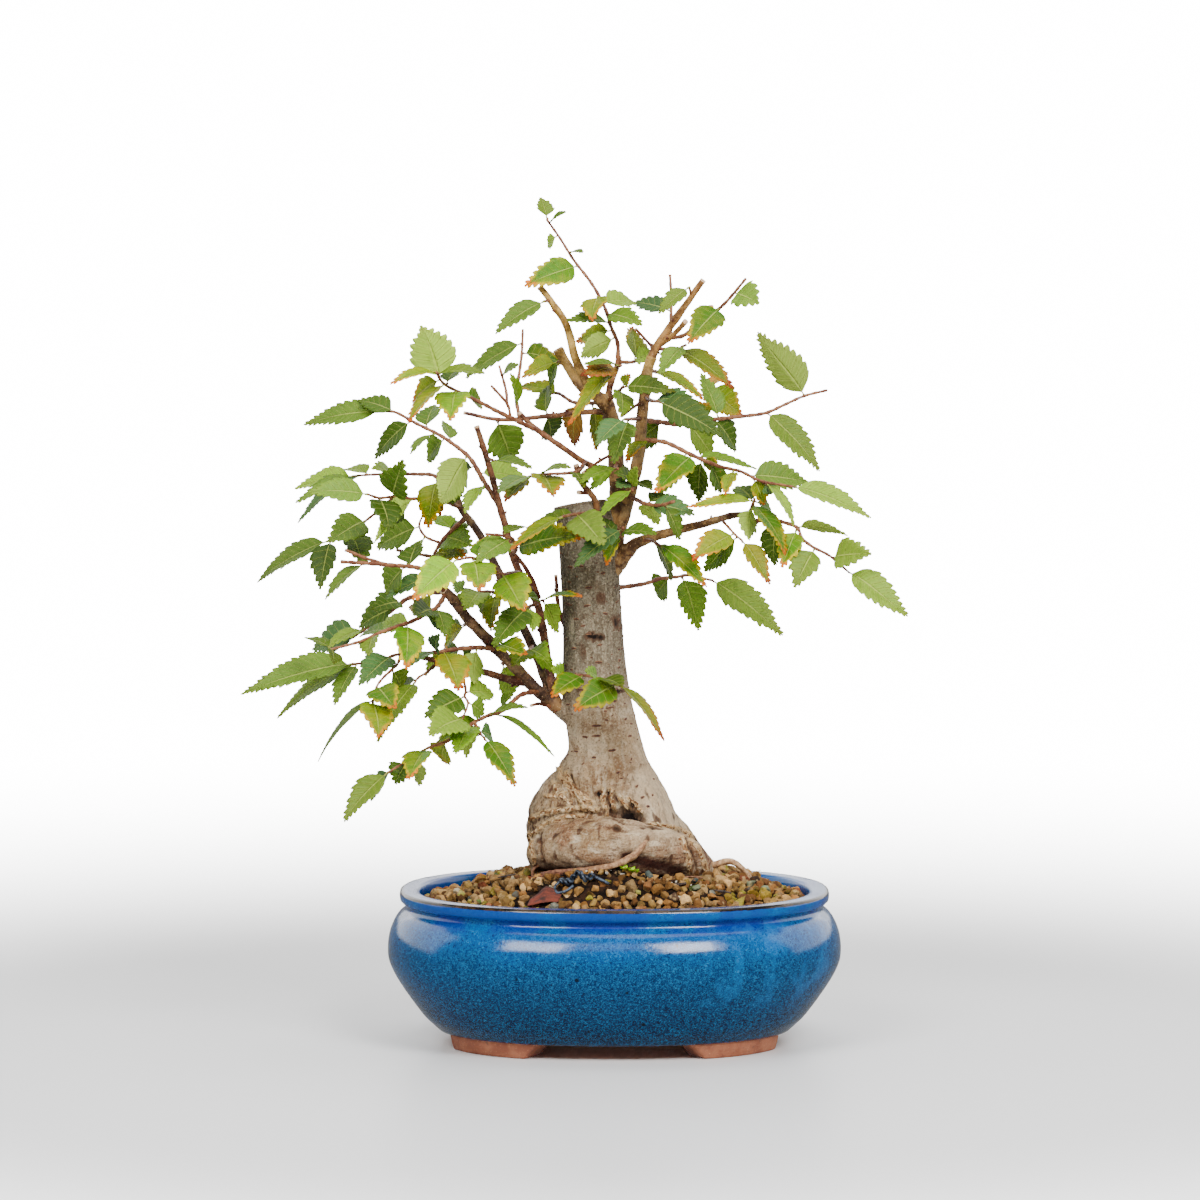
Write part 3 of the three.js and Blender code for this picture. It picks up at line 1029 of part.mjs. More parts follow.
// A stem's nearest point to a place in the front view, between two of its points.
function rootOn(stems, x, z) {
  let best = { distance: Infinity };
  for (const [, , ...points] of stems) {
    for (let i = 0; i + 1 < points.length; i += 1) {
      const [ax, az, ay] = points[i];
      const [bx, bz, by] = points[i + 1];
      const run = (bx - ax) ** 2 + (bz - az) ** 2;
      const along = run > 0 ? ((x - ax) * (bx - ax) + (z - az) * (bz - az)) / run : 0;
      const t = Math.min(Math.max(along, 0), 1);
      const distance = Math.hypot(ax + (bx - ax) * t - x, az + (bz - az) * t - z);
      if (distance < best.distance) {
        best = { distance, x: ax + (bx - ax) * t, z: az + (bz - az) * t, y: ay + (by - ay) * t };
      }
    }
  }
  return best;
}

function stemsOf({ stems }, grow) {
  return joined(stems.map(([radiusStart, radiusEnd, ...points]) => (
    stick(points.map(([x, z, y]) => at(x, z, y)), radiusStart + grow, radiusEnd + grow, 3))));
}

function boxed(solid, owner) {
  const { min, max } = solid.boundingBox();
  return { solid, owner, box: new THREE.Box3(new THREE.Vector3(...min), new THREE.Vector3(...max)) };
}

function shared(one, other) {
  return one.box.intersectsBox(other.box) ? one.solid.intersect(other.solid).volume() : 0;
}

// One leaf of a shoot, turned in depth about its root until it is clear of wood, stems and leaves.
function leafOn(owner, [baseX, baseZ, tipX, tipZ, back, width, facing], around, own) {
  const root = rootOn(SHOOTS[owner].stems, baseX, baseZ);
  const start = at(root.x, root.z, root.y);
  let best = { crossing: Infinity };
  for (const turn of TURNS) {
    const tip = at(tipX, tipZ, root.y + back + turn);
    const body = boxed(blade(start, tip, width, facing, PETIOLE, 0), owner);
    const grown = boxed(blade(start, tip, width, facing, PETIOLE, CLEAR), owner);
    let crossing = Math.max(shared(body, own.stems) - OWN_STEM_OVERLAP, 0);
    for (const leaf of own.leaves) {
      crossing += Math.max(shared(body, leaf) - OWN_LEAF_OVERLAP, 0);
    }
    for (const other of around) {
      crossing += other.owner === owner ? 0 : shared(grown, other);
    }
    if (crossing < best.crossing) {
      best = { crossing, body };
    }
    if (crossing === 0) {
      break;
    }
  }
  return best.body;
}

// All shoots: stems and leaves grown together, cut clear of the tree's wood.
function shoots(woodGrown) {
  const wood = woodGrown.map((solid) => boxed(solid, -1));
  const stems = SHOOTS.map((one) => stemsOf(one, 0));
  const around = [...wood, ...SHOOTS.map((one, owner) => boxed(stemsOf(one, CLEAR), owner))];
  const cutter = joined(woodGrown);
  return SHOOTS.map((one, owner) => {
    const own = { stems: boxed(stems[owner], owner), leaves: [] };
    for (const row of one.leaves) {
      const leaf = leafOn(owner, row, around, own);
      own.leaves.push(leaf);
      around.push(leaf);
    }
    return largest(joined([stems[owner], ...own.leaves.map((leaf) => leaf.solid)]).subtract(cutter));
  });
}

// Tie wire and bark flake: x, y and height over the soil's mean surface.

const WIRE_RADIUS = 0.9;
const WIRE = [
  [-24, -46.5, 1.55], [-20, -48.5, 1.85], [-16, -46, 1.95], [-13, -48.5, 2.05], [-9, -47.5, 1.65],
  [-4, -49, 1.35], [2, -50.5, 1.35],
];
const WIRE_LOOP = [[-22, -50, 1.45], [-18, -46.8, 2.85], [-14, -50, 1.65], [-11, -46.5, 2.65]];
const FLAKE = [
  [-37, -50, 1.6], [-30, -47, 0.75], [-23, -51.5, 1.6], [-24.5, -55.5, 0.75], [-32, -54.5, 1.6],
  [-38, -53.5, 0.75],
];
const FLAKE_THICK = 0.7;

function wire() {
  const parts = [WIRE, WIRE_LOOP].map((path) => {
    const points = path.map(([x, y, up]) => new THREE.Vector3(x, y, soilHeight(x, y) + up));
    return stick(points, WIRE_RADIUS, WIRE_RADIUS * 0.8, 4);
  });
  return largest(joined(parts));
}

function flake() {
  const points = [];
  const spots = FLAKE.map(([x, y, up]) => {
    const z = soilHeight(x, y) + up;
    points.push(new THREE.Vector3(x, y, z + FLAKE_THICK), new THREE.Vector3(x, y, z));
    return { top: points.length - 2, low: points.length - 1 };
  });
  const faces = [];
  for (let i = 1; i + 1 < spots.length; i += 1) {
    faces.push([0, i + 1, i]);
  }
  return plate(points, spots, faces);
}

// Assembly

const MATERIALS = {
  glaze: { color: 0x2f6fd0, roughness: 0.12, metalness: 0 },
  soil: { color: 0x8a7455, roughness: 0.95, metalness: 0 },
  bark: { color: 0x8d8577, roughness: 0.85, metalness: 0 },
  leaf: { color: 0x5f8f2c, roughness: 0.5, metalness: 0 },
  wire: { color: 0x4a525c, roughness: 0.5, metalness: 0.6 },
  screen: { color: 0x222222, roughness: 0.7, metalness: 0 },
  flake: { color: 0x5b3424, roughness: 0.9, metalness: 0 },
};

function meshOf(name, solid, look) {
  const mesh = new THREE.Mesh(geometryOf(solid), new THREE.MeshStandardMaterial(MATERIALS[look]));
  mesh.name = name;
  return mesh;
}

const woodGrown = woodParts(CLEAR);
const group = new THREE.Group();
group.add(
  meshOf('pot', pot(), 'glaze'),
  meshOf('soil', soil(joined(woodGrown)), 'soil'),
  meshOf('tree', joined(woodParts(0)), 'bark'),
  meshOf('drain_screen_left', screen(-1, 0), 'screen'),
  meshOf('drain_screen_right', screen(1, 0), 'screen'),
  meshOf('tie_wire', wire(), 'wire'),
  meshOf('bark_flake', flake(), 'flake'),
);
shoots(woodGrown).forEach((solid, i) => group.add(meshOf(`shoot_${SHOOTS[i].name}`, solid, 'leaf')));

// The origin lies on the floor under the middle of the whole plant's bounding box.
const middle = new THREE.Box3().setFromObject(group).getCenter(new THREE.Vector3());
group.children.forEach((mesh) => mesh.position.set(-middle.x, -middle.y, 0));

export default group;
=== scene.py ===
import math
import random

import bmesh
import bpy
import numpy as np
from mathutils import Matrix, Vector, noise
from mathutils.bvhtree import BVHTree

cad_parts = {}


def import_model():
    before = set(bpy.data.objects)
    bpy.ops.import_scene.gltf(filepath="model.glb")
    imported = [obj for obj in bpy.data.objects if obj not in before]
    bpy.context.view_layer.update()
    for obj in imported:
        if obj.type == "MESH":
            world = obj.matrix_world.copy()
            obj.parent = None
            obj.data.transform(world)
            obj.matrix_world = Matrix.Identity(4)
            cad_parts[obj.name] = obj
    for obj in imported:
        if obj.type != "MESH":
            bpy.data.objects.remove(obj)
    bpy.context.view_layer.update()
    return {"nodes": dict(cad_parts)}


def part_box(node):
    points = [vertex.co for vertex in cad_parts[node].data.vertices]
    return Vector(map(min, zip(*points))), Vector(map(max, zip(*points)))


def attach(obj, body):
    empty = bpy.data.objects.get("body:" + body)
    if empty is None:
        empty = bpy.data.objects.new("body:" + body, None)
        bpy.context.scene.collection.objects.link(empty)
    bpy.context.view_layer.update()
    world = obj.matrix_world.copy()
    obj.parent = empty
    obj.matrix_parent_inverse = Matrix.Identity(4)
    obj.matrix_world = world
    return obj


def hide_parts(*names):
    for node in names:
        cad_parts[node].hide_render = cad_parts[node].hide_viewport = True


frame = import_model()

# Sizes are in millimetres, in a frame with the pot's middle on the ground at its origin.
MM = 0.001
# The eye of the front view. Places given as x, z, y are where that view shows them, and their depth.
VIEW = Vector((-6.4, -2400.0, 373.0))
low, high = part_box("pot")
SHIFT = Vector(((low[0] + high[0]) / 2, (low[1] + high[1]) / 2, 0)) / MM
UP = Vector((0, 0, 1))
FULL_TURN = 2 * math.pi
NOTHING = (0.0, 0.0, 0.0, 0.0)
rng = random.Random(41)


def at(x, z, y):
    """The point at depth y that the front view shows at x, z."""
    k = (y - VIEW.y) / -VIEW.y
    return Vector((VIEW.x + (x - VIEW.x) * k, y, VIEW.z + (z - VIEW.z) * k))


def front_view(here):
    """The x and z at which the front view shows an array of points."""
    k = (here[:, 1] - VIEW.y) / -VIEW.y
    return VIEW.x + (here[:, 0] - VIEW.x) / k, VIEW.z + (here[:, 2] - VIEW.z) / k


def world(p):
    """A point of the pot's frame in millimetres, in metres of the shared frame."""
    return (Vector(p) + SHIFT) * MM


def rgb(colour):
    """A colour given as 0 to 255 in the usual display scale."""
    return tuple((c / 255) ** 2.2 for c in colour[:3]) + (1.0,)


# Meshes


def linked(name, data):
    item = bpy.data.objects.new(name, data)
    bpy.context.scene.collection.objects.link(item)
    return item


def paint(mesh, name, rows):
    layer = mesh.attributes.new(name, "FLOAT_COLOR", "POINT")
    layer.data.foreach_set("color", np.array(rows, dtype=np.float32).ravel())


class Shape:
    """Points, faces and point attributes of one mesh, in millimetres."""

    def __init__(self):
        self.points = []
        self.faces = []
        self.slots = []
        self.values = {}

    def add(self, points, faces, slot=0, **values):
        start = len(self.points)
        self.points += [tuple(p) for p in points]
        self.faces += [tuple(start + i for i in face) for face in faces]
        self.slots += slot if isinstance(slot, list) else [slot] * len(faces)
        for name, value in values.items():
            rows = value if isinstance(value, list) else [value] * len(points)
            column = self.values.setdefault(name, [])
            column += [NOTHING] * (start - len(column)) + rows

    def build(self, name, materials, smooth=True):
        mesh = bpy.data.meshes.new(name)
        points = (np.array(self.points) + np.array(SHIFT)) * MM
        mesh.from_pydata([tuple(p) for p in points], [], self.faces)
        for key, column in self.values.items():
            paint(mesh, key, column + [NOTHING] * (len(points) - len(column)))
        for material in materials:
            mesh.materials.append(material)
        mesh.polygons.foreach_set("material_index", self.slots)
        mesh.polygons.foreach_set("use_smooth", [smooth] * len(self.faces))
        mesh.update()
        return linked(name, mesh)


def piece(item, slot, *nodes):
    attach(item, "root")
    if nodes:
        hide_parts(*nodes)


def modify(item, kind, **settings):
    """Give the item a modifier, which evaluated() applies."""
    change = item.modifiers.new(kind.lower(), kind)
    for key, value in settings.items():
        setattr(change, key, value)


def evaluated(item):
    """Put the item's mesh with its modifiers applied in place of the old one."""
    graph = bpy.context.evaluated_depsgraph_get()
    mesh = bpy.data.meshes.new_from_object(item.evaluated_get(graph))
    old = item.data
    item.modifiers.clear()
    item.data = mesh
    bpy.data.meshes.remove(old)


def loft(rings, sides, caps=True):
    """Faces between rings of points, and across the first and last ring."""
    turns = [(s, (s + 1) % sides) for s in range(sides)]
    faces = [(r * sides + s, r * sides + t, (r + 1) * sides + t, (r + 1) * sides + s)
             for r in range(rings - 1) for s, t in turns]
    if caps:
        last = (rings - 1) * sides
        faces += [tuple(reversed(range(sides))), tuple(range(last, last + sides))]
    return faces


def grid(rows, columns):
    """Faces of an open sheet of points."""
    return [(i * columns + s, (i + 1) * columns + s, (i + 1) * columns + s + 1, i * columns + s + 1)
            for i in range(rows - 1) for s in range(columns - 1)]


def curve(points, step):
    """Catmull-Rom points through the given rows of numbers, about a step apart."""
    rows = [np.array(p, dtype=float) for p in points]
    ends = [2 * rows[0] - rows[1]] + rows + [2 * rows[-1] - rows[-2]]
    out = []
    for i in range(1, len(ends) - 2):
        a, b, c, d = ends[i - 1:i + 3]
        count = max(1, int(round(np.linalg.norm((c - b)[:3]) / step)))
        for k in range(count):
            t = k / count
            out.append(0.5 * (2 * b + (c - a) * t + (2 * a - 5 * b + 4 * c - d) * t * t
                              + (3 * b - 3 * c + d - a) * t ** 3))
    out.append(rows[-1])
    return out


def stem(start, end, points, step):
    """Rows of x, y, z, radius along a stem of the front view."""
    places = [at(x, z, y) for x, z, y in points]
    lengths = [0]
    for a, b in zip(places, places[1:]):
        lengths.append(lengths[-1] + (b - a).length)
    return curve([(*p, start + (end - start) * run / lengths[-1]) for p, run in zip(places, lengths)], step)


def tube(shape, rows, sides, rough=0.0, seed=0.0, closed=True, **values):
    """A tube through rows of x, y, z, radius."""
    points = [Vector(row[:3]) for row in rows]
    across = Vector((0.31, 0.9, 0.3))
    out = []
    for i, point in enumerate(points):
        along = points[min(i + 1, len(points) - 1)] - points[max(i - 1, 0)]
        along.normalize()
        across = (across - along * across.dot(along)).normalized()
        other = along.cross(across)
        for s in range(sides):
            angle = FULL_TURN * s / sides
            ray = across * math.cos(angle) + other * math.sin(angle)
            radius = rows[i][3]
            if rough:
                radius *= 1 + rough * noise.noise(point * 0.35 + ray * 1.7 + Vector((seed, 0, 0)))
            out.append(point + ray * radius)
    shape.add(out, loft(len(points), sides, closed), **values)


# Materials


SHADER_INPUTS = {"metal": "Metallic", "spec": "Specular IOR Level", "subsurface": "Subsurface Weight"}


class Graph:
    """Short hand for a material's nodes."""

    def __init__(self, name):
        self.material = bpy.data.materials.new(name)
        self.material.use_nodes = True
        self.tree = self.material.node_tree
        self.shader = self.tree.nodes["Principled BSDF"]
        self.position = self.node("ShaderNodeTexCoord").outputs["Object"]

    def node(self, kind, **settings):
        item = self.tree.nodes.new(kind)
        for key, value in settings.items():
            setattr(item, key, value)
        return item

    def put(self, socket, value):
        if isinstance(value, bpy.types.NodeSocket):
            self.tree.links.new(value, socket)
        elif value is not None:
            socket.default_value = value

    def filled(self, kind, values, **settings):
        """A node with the named inputs set or linked."""
        item = self.node(kind, **settings)
        for key, value in values.items():
            self.put(item.inputs[key], value)
        return item

    def math(self, operation, a, b=None, clamp=False):
        return self.filled("ShaderNodeMath", {0: a, 1: b}, operation=operation, use_clamp=clamp).outputs[0]

    def times(self, share, *others):
        for other in others:
            share = self.math("MULTIPLY", share, other)
        return share

    def plus(self, value, other, most):
        """The value with another added that runs about 0.5, by most at each side."""
        return self.math("ADD", value, self.times(self.math("SUBTRACT", other, 0.5), most))

    def place(self, stretch):
        if not stretch:
            return self.position
        return self.filled("ShaderNodeMapping", {"Vector": self.position, "Scale": stretch}).outputs[0]

    def noise(self, scale, detail, rough, stretch=None, warp=0.0):
        return self.filled("ShaderNodeTexNoise", {
            "Vector": self.place(stretch), "Scale": scale, "Detail": detail, "Roughness": rough,
            "Distortion": warp}).outputs["Fac"]

    def cells(self, scale, stretch=None, feature="F1"):
        values = {"Vector": self.place(stretch), "Scale": scale}
        return self.filled("ShaderNodeTexVoronoi", values, feature=feature).outputs["Distance"]

    def step(self, value, start, end, low=0.0, high=1.0):
        values = {"Value": value, "From Min": start, "From Max": end, "To Min": low, "To Max": high}
        return self.filled("ShaderNodeMapRange", values, interpolation_type="SMOOTHSTEP").outputs["Result"]

    def mix(self, share, a, b, blend="MIX"):
        a, b = (rgb(value) if isinstance(value, tuple) else value for value in (a, b))
        item = self.filled("ShaderNodeMix", {0: share, 6: a, 7: b}, data_type="RGBA", blend_type=blend)
        item.clamp_factor = True
        return item.outputs[2]

    def blend(self, value, start, end, a, b):
        """One colour where the value is at start, the other where it is at end."""
        return self.mix(self.step(value, start, end), a, b)

    def lay(self, base, colour, *shares):
        """A colour over the base, by the product of the shares."""
        return self.mix(self.times(*shares), base, colour)

    def over(self, base, colour, value, start, end, *shares):
        """A colour over the base, as the value goes from start to end."""
        return self.lay(base, colour, self.step(value, start, end), *shares)

    def field(self, name):
        """A colour attribute's colour and alpha."""
        item = self.node("ShaderNodeAttribute", attribute_name=name)
        return item.outputs["Color"], item.outputs["Alpha"]

    def parts(self, colour):
        return self.filled("ShaderNodeSeparateColor", {0: colour}).outputs[:3]

    def axes(self):
        return self.filled("ShaderNodeSeparateXYZ", {0: self.position}).outputs[:3]

    def finish(self, colour, rough, *relief, **others):
        """Set the shader. Relief is rows of a height, metres and a strength."""
        normal = None
        for height, distance, strength in relief:
            values = {"Strength": strength, "Distance": distance, "Height": height, "Normal": normal}
            normal = self.filled("ShaderNodeBump", values).outputs[0]
        self.put(self.shader.inputs["Base Color"], rgb(colour) if isinstance(colour, tuple) else colour)
        self.put(self.shader.inputs["Roughness"], rough)
        self.put(self.shader.inputs["Normal"], normal)
        for key, value in others.items():
            self.put(self.shader.inputs[SHADER_INPUTS[key]], value)
        return self.material

    def blend_with(self, shader, share):
        """Mix the material's shader with another, by a share."""
        values = {0: share, 1: self.shader.outputs[0], 2: shader.outputs[0]}
        mixed = self.filled("ShaderNodeMixShader", values).outputs[0]
        self.put(self.tree.nodes["Material Output"].inputs["Surface"], mixed)
        return self.material


# Finishes: noises as scale, detail and roughness, two colours by the first noise or the name of the
# points' own colour, colours over them as noise, start, end, share and colour, relief, and the rest.
FINISHES = {
    "bare_clay": (
        [(90, 4, 0.6), (1400, 3, 0.7), (420, 2, 0.6)], (0.35, 0.65, (128, 72, 48), (160, 98, 68)),
        [(1, 0.58, 0.7, 0.5, (200, 146, 112)), (2, 0.6, 0.75, 0.6, (96, 60, 48))],
        [(1, 0.0003, 0.7)], {"rough": 0.72}),
    "sawn_wood": (
        [(500, 3, 0.6)], (0.4, 0.6, (130, 114, 90), (164, 148, 118)), [], [(0, 0.0005, 0.6)],
        {"rough": 0.85}),
    "gravel_stone": (
        [(330, 4, 0.65), (1500, 4, 0.75)], "stone",
        [(0, 0.52, 0.68, 0.6, (96, 60, 28)), (0, 0.44, 0.32, 0.45, (226, 192, 136)),
         (1, 0.56, 0.7, 0.5, (72, 46, 24))],
        [(0, 0.003, 0.6), (1, 0.001, 0.9)], {"rough": 0.9, "spec": 0.2}),
    "callus_crust": (
        [(1100, 4, 0.75)], "stone", [(0, 0.52, 0.66, 0.6, (84, 54, 34))], [(0, 0.0012, 0.9)],
        {"rough": 0.9, "spec": 0.15}),
    "dark_peat": (
        [(260, 4, 0.7), (1300, 4, 0.75)], (0.4, 0.62, (20, 13, 9), (56, 38, 26)),
        [(1, 0.6, 0.72, 0.5, (112, 84, 56))], [(0, 0.003, 0.8), (1, 0.0007, 0.8)],
        {"rough": 0.96, "spec": 0.15}),
    "dark_stick": (
        [(700, 4, 0.7)], (0.4, 0.62, (32, 24, 22), (74, 58, 48)), [], [(0, 0.0007, 0.8)], {"rough": 0.85}),
    "sprout_green": (
        [(600, 3, 0.6)], (0.35, 0.65, (92, 150, 0), (160, 200, 20)), [], [(0, 0.0003, 0.5)],
        {"rough": 0.5, "subsurface": 0.1}),
    "coated_wire": (
        [(420, 4, 0.7)], (0.45, 0.62, (30, 38, 50), (76, 88, 104)), [], [(0, 0.0003, 0.5)],
        {"rough": (0.4, 0.65, 0.28, 0.6), "metal": 0.35}),
    "loose_bark": (
        [(180, 5, 0.7, (0.5, 1.6, 1.0)), (900, 4, 0.7)], (0.38, 0.62, (44, 18, 12), (108, 46, 28)),
        [(1, 0.6, 0.72, 0.5, (142, 88, 58))], [(0, 0.0016, 0.8), (1, 0.0004, 0.6)], {"rough": 0.85}),
}


def finish(name):
    noises, colours, layers, relief, others = FINISHES[name]
    g = Graph(name)
    values = [g.noise(*row) for row in noises]
    base = g.field(colours)[0] if isinstance(colours, str) else g.blend(values[0], *colours)
    for number, start, end, share, colour in layers:
        base = g.over(base, colour, values[number], start, end, share)
    others = dict(others)
    rough = others.pop("rough")
    if isinstance(rough, tuple):
        rough = g.step(values[0], *rough)
    return g.finish(base, rough, *[(values[number], *row) for number, *row in relief], **others)


# Camera, light and floor


CAMERA_LENS = 162.8
CAMERA_AIM_HEIGHT = 197
SKY_LIGHT = 0.3
SKY_SEEN = 16.0
FLOOR_FADE = (0.3, 1.3)
LIGHT_AIM = Vector((0, 0, 0.15))
# Name, place in metres, width, height, power, and whether it lights more than the shine.
SOFTBOXES = [
    ("softbox_left", (-0.92, -1.55, 1.45), 0.95, 0.75, 42, True),
    ("softbox_right", (0.86, -1.6, 1.45), 0.85, 0.75, 62, True),
    ("softbox_top", (0.1, 0.1, 2.1), 1.6, 1.6, 26, True),
    ("softbox_back", (0.0, 1.9, 0.9), 2.0, 1.4, 18, True),
    ("shine_left", (-1.9, 1.2, 1.1), 3.2, 1.7, 44, False),
    ("shine_right", (1.9, 1.2, 1.1), 3.2, 1.7, 44, False),
    ("shine_front", (0.0, -2.6, 2.3), 3.2, 0.9, 16, False),
]


def look(item, place, aim):
    item.location = place
    item.rotation_euler = aim.to_track_quat("-Z", "Y").to_euler()


def studio():
    camera = linked("camera", bpy.data.cameras.new("camera"))
    camera.data.sensor_width = 36
    camera.data.lens = CAMERA_LENS
    camera.data.clip_end = 20
    bpy.context.scene.camera = camera
    look(camera, world(VIEW), Vector((VIEW.x, 0, CAMERA_AIM_HEIGHT)) - VIEW)

    sky = bpy.data.worlds.new("studio")
    sky.use_nodes = True
    tree = sky.node_tree
    background = tree.nodes["Background"]
    background.inputs["Color"].default_value = (1.0, 1.0, 1.0, 1.0)
    rays = tree.nodes.new("ShaderNodeLightPath")
    strength = tree.nodes.new("ShaderNodeMapRange")
    strength.inputs["To Min"].default_value = SKY_LIGHT
    strength.inputs["To Max"].default_value = SKY_SEEN
    tree.links.new(rays.outputs["Is Camera Ray"], strength.inputs["Value"])
    tree.links.new(strength.outputs["Result"], background.inputs["Strength"])
    bpy.context.scene.world = sky

    for name, place, width, height, power, lights_up in SOFTBOXES:
        light = bpy.data.lights.new(name, "AREA")
        light.shape = "RECTANGLE"
        light.size = width
        light.size_y = height
        light.energy = power
        item = linked(name, light)
        look(item, place, LIGHT_AIM - Vector(place))
        item.visible_camera = False
        item.visible_diffuse = lights_up
        item.visible_transmission = lights_up

    mesh = bpy.data.meshes.new("floor")
    size = FLOOR_FADE[1]
    corners = [(-size, -size, 0), (size, -size, 0), (size, size, 0), (-size, size, 0)]
    mesh.from_pydata(corners, [], [(0, 1, 2, 3)])
    mesh.materials.append(pale_floor())
    floor = linked("floor", mesh)
    floor.visible_glossy = False


def pale_floor():
    """Plain and pale, and fading out into the white behind it far from the pot."""
    g = Graph("pale_floor")
    g.finish((232, 232, 232), 0.4, spec=0.35)
    reach = g.filled("ShaderNodeVectorMath", {0: g.position}, operation="LENGTH")
    fade = g.step(reach.outputs["Value"], *FLOOR_FADE)
    return g.blend_with(g.node("ShaderNodeBsdfTransparent"), fade)


studio()


# Pot


# Half width and height of the wall, from the floor up over the lip and down inside.
POT_OUTSIDE = [
    (78.6, 7), (81.4, 9.6), (86, 14.3), (95.1, 27.1), (99.8, 36), (100.8, 42.5), (99.8, 50), (96.8, 56.4),
    (93.2, 59.8), (91.9, 61.2), (92.4, 62.6), (94.4, 63.4), (95.2, 64.2), (95.5, 66.6), (95.2, 67.8),
    (94.4, 68.4), (88.2, 68.4), (87.1, 68), (86.5, 67.2),
]
POT_INSIDE = [(86.5, 63), (87.4, 60.6), (92, 52), (92.7, 46), (91, 34), (84, 24), (74, 13.6)]
POT_SIDES = 176
# The clay is bare under this height, and the glaze worn thin beyond this half width and height.
BARE_UNDER = 7.6
WORN_BEYOND = (94.0, 67.0)
DEPTH_LESS = 16.5
OVAL_POWER = 2.3
FOOT_HEIGHT = 7
FOOT_OUTSIDE = 77
FOOT_INSIDE = 62
FOOT_ANGLES = (22, 62)
FOOT_FLARE = 6
DRAIN_RADIUS = 7
DRAIN_OFFSET = 34
DRAIN_SIDES = 40


def oval(half_width, angle):
    power = 2 / OVAL_POWER
    c, s = math.cos(angle), math.sin(angle)
    return (half_width * math.copysign(abs(c) ** power, c),
            (half_width - DEPTH_LESS) * math.copysign(abs(s) ** power, s))


def glaze():
    g = Graph("glaze")
    _, line, _ = g.parts(g.field("zone")[0])
    x, _, up = g.axes()
    height = g.times(up, 1000)
    fleck = g.noise(980, 2, 0.75, warp=1.8)
    grain = g.noise(1600, 2, 0.7)
    lifted = g.math("ADD", height, g.times(g.noise(36, 3, 0.6), 18))
    # Painted shade and dark reflection low on the body: the blue darkens toward the bottom and lightens up to
    # the shoulder.
    base = g.blend(lifted, 18, 50, (2, 26, 52), (6, 50, 88))
    base = g.over(base, (8, 72, 132), lifted, 50, 66)
    base = g.over(base, (44, 112, 158), fleck, 0.5, 0.62, 0.6)
    base = g.over(base, (0, 10, 32), fleck, 0.46, 0.36, 0.8)
    base = g.over(base, (70, 140, 190), grain, 0.58, 0.72, 0.25)
    base = g.over(base, (20, 26, 122), height, 55, 61, g.step(g.noise(48, 2, 0.5), 0.42, 0.6), 0.7)
    run = g.step(g.noise(90, 3, 0.6, (1, 1, 0.5)), 0.5, 0.62)
    base = g.over(base, (40, 118, 184), x, 0.045, 0.075, run, g.step(height, 18, 34), 0.22)
    base = g.over(base, (4, 10, 16), g.cells(115), 0.13, 0.07, g.step(g.noise(55, 0, 0.5), 0.56, 0.6), 0.85)
    base = g.over(base, (0, 74, 138), height, 62.4, 63.6, 0.5)
    brown = g.blend(g.noise(240, 2, 0.6), 0.4, 0.6, (58, 42, 30), (22, 18, 20))
    base = g.over(base, brown, g.plus(line, g.noise(260, 3, 0.6), 0.6), 0.4, 0.6)
    return g.finish(base, g.step(grain, 0.3, 0.7, 0.04, 0.11), (g.noise(45, 2, 0.5), 0.0012, 0.35),
                    (fleck, 0.00006, 0.5), spec=0.36)


def pot():
    inside = curve(POT_INSIDE, 2.6)
    outside = curve(POT_OUTSIDE, 1.3)
    profile = [(40, 7.0), (70, 7.0)] + [tuple(p) for p in outside + inside] + [(40, 13.5)]
    points = []
    zones = []
    slots = []
    for r, (half, z) in enumerate(profile):
        points += [(*oval(half, FULL_TURN * (i + 0.5) / POT_SIDES), z) for i in range(POT_SIDES)]
        worn = half > WORN_BEYOND[0] and z > WORN_BEYOND[1]
        zones += [(0.0, float(worn), 0.0, 1.0)] * POT_SIDES
        bare = max(z, profile[r - 1][1]) <= BARE_UNDER or r > len(profile) - len(inside)
        slots += [int(bare)] * POT_SIDES if r else []
    shape = Shape()
    shape.add(points, loft(len(profile), POT_SIDES), slots + [1, 1], zone=zones)
    clay = finish("bare_clay")
    body = shape.build("glazed_pot", [glaze(), clay])

    holes = Shape()
    for side in (-1, 1):
        ring = [(side * DRAIN_OFFSET + DRAIN_RADIUS * math.cos(a), DRAIN_RADIUS * math.sin(a))
                for a in np.linspace(0, FULL_TURN, DRAIN_SIDES, endpoint=False)]
        holes.add([(x, y, z) for z in (2.0, 20.0) for x, y in ring], loft(2, DRAIN_SIDES))
    cutter = holes.build("drain_cutter", [clay], smooth=False)
    modify(body, "BOOLEAN", operation="DIFFERENCE", solver="EXACT", object=cutter)
    evaluated(body)
    bpy.data.objects.remove(cutter)

    feet = Shape()
    for side_x in (-1, 1):
        for side_y in (-1, 1):
            foot(feet, side_x, side_y)
    stand = feet.build("pot_feet", [clay])
    modify(stand, "BEVEL", width=0.9 * MM, segments=3, angle_limit=math.radians(50))
    evaluated(stand)
    piece(body, "glaze", "pot")
    piece(stand, "glaze")


def foot(shape, side_x, side_y):
    steps = 18
    first, last = FOOT_ANGLES
    outer, inner = FOOT_OUTSIDE, FOOT_INSIDE
    points = []
    for i in range(steps + 1):
        share = i / steps
        sole = math.radians(first + (last - first) * share)
        top = sole + math.radians(FOOT_FLARE * share ** 3)
        bend = sole + (top - sole) * 0.4
        for half, height, turn in ((outer + 0.9, FOOT_HEIGHT + 1, top), (inner, FOOT_HEIGHT + 1, top),
                                   (inner + 1, 0, sole), (inner + 8, 0, sole), (outer - 1, 0, sole),
                                   (outer, 3.4, bend)):
            x, y = oval(half, turn)
            points.append((x * side_x, y * side_y, height))
    faces = loft(steps + 1, 6)
    if side_x * side_y < 0:
        faces = [tuple(reversed(face)) for face in faces]
    shape.add(points, faces)


pot()


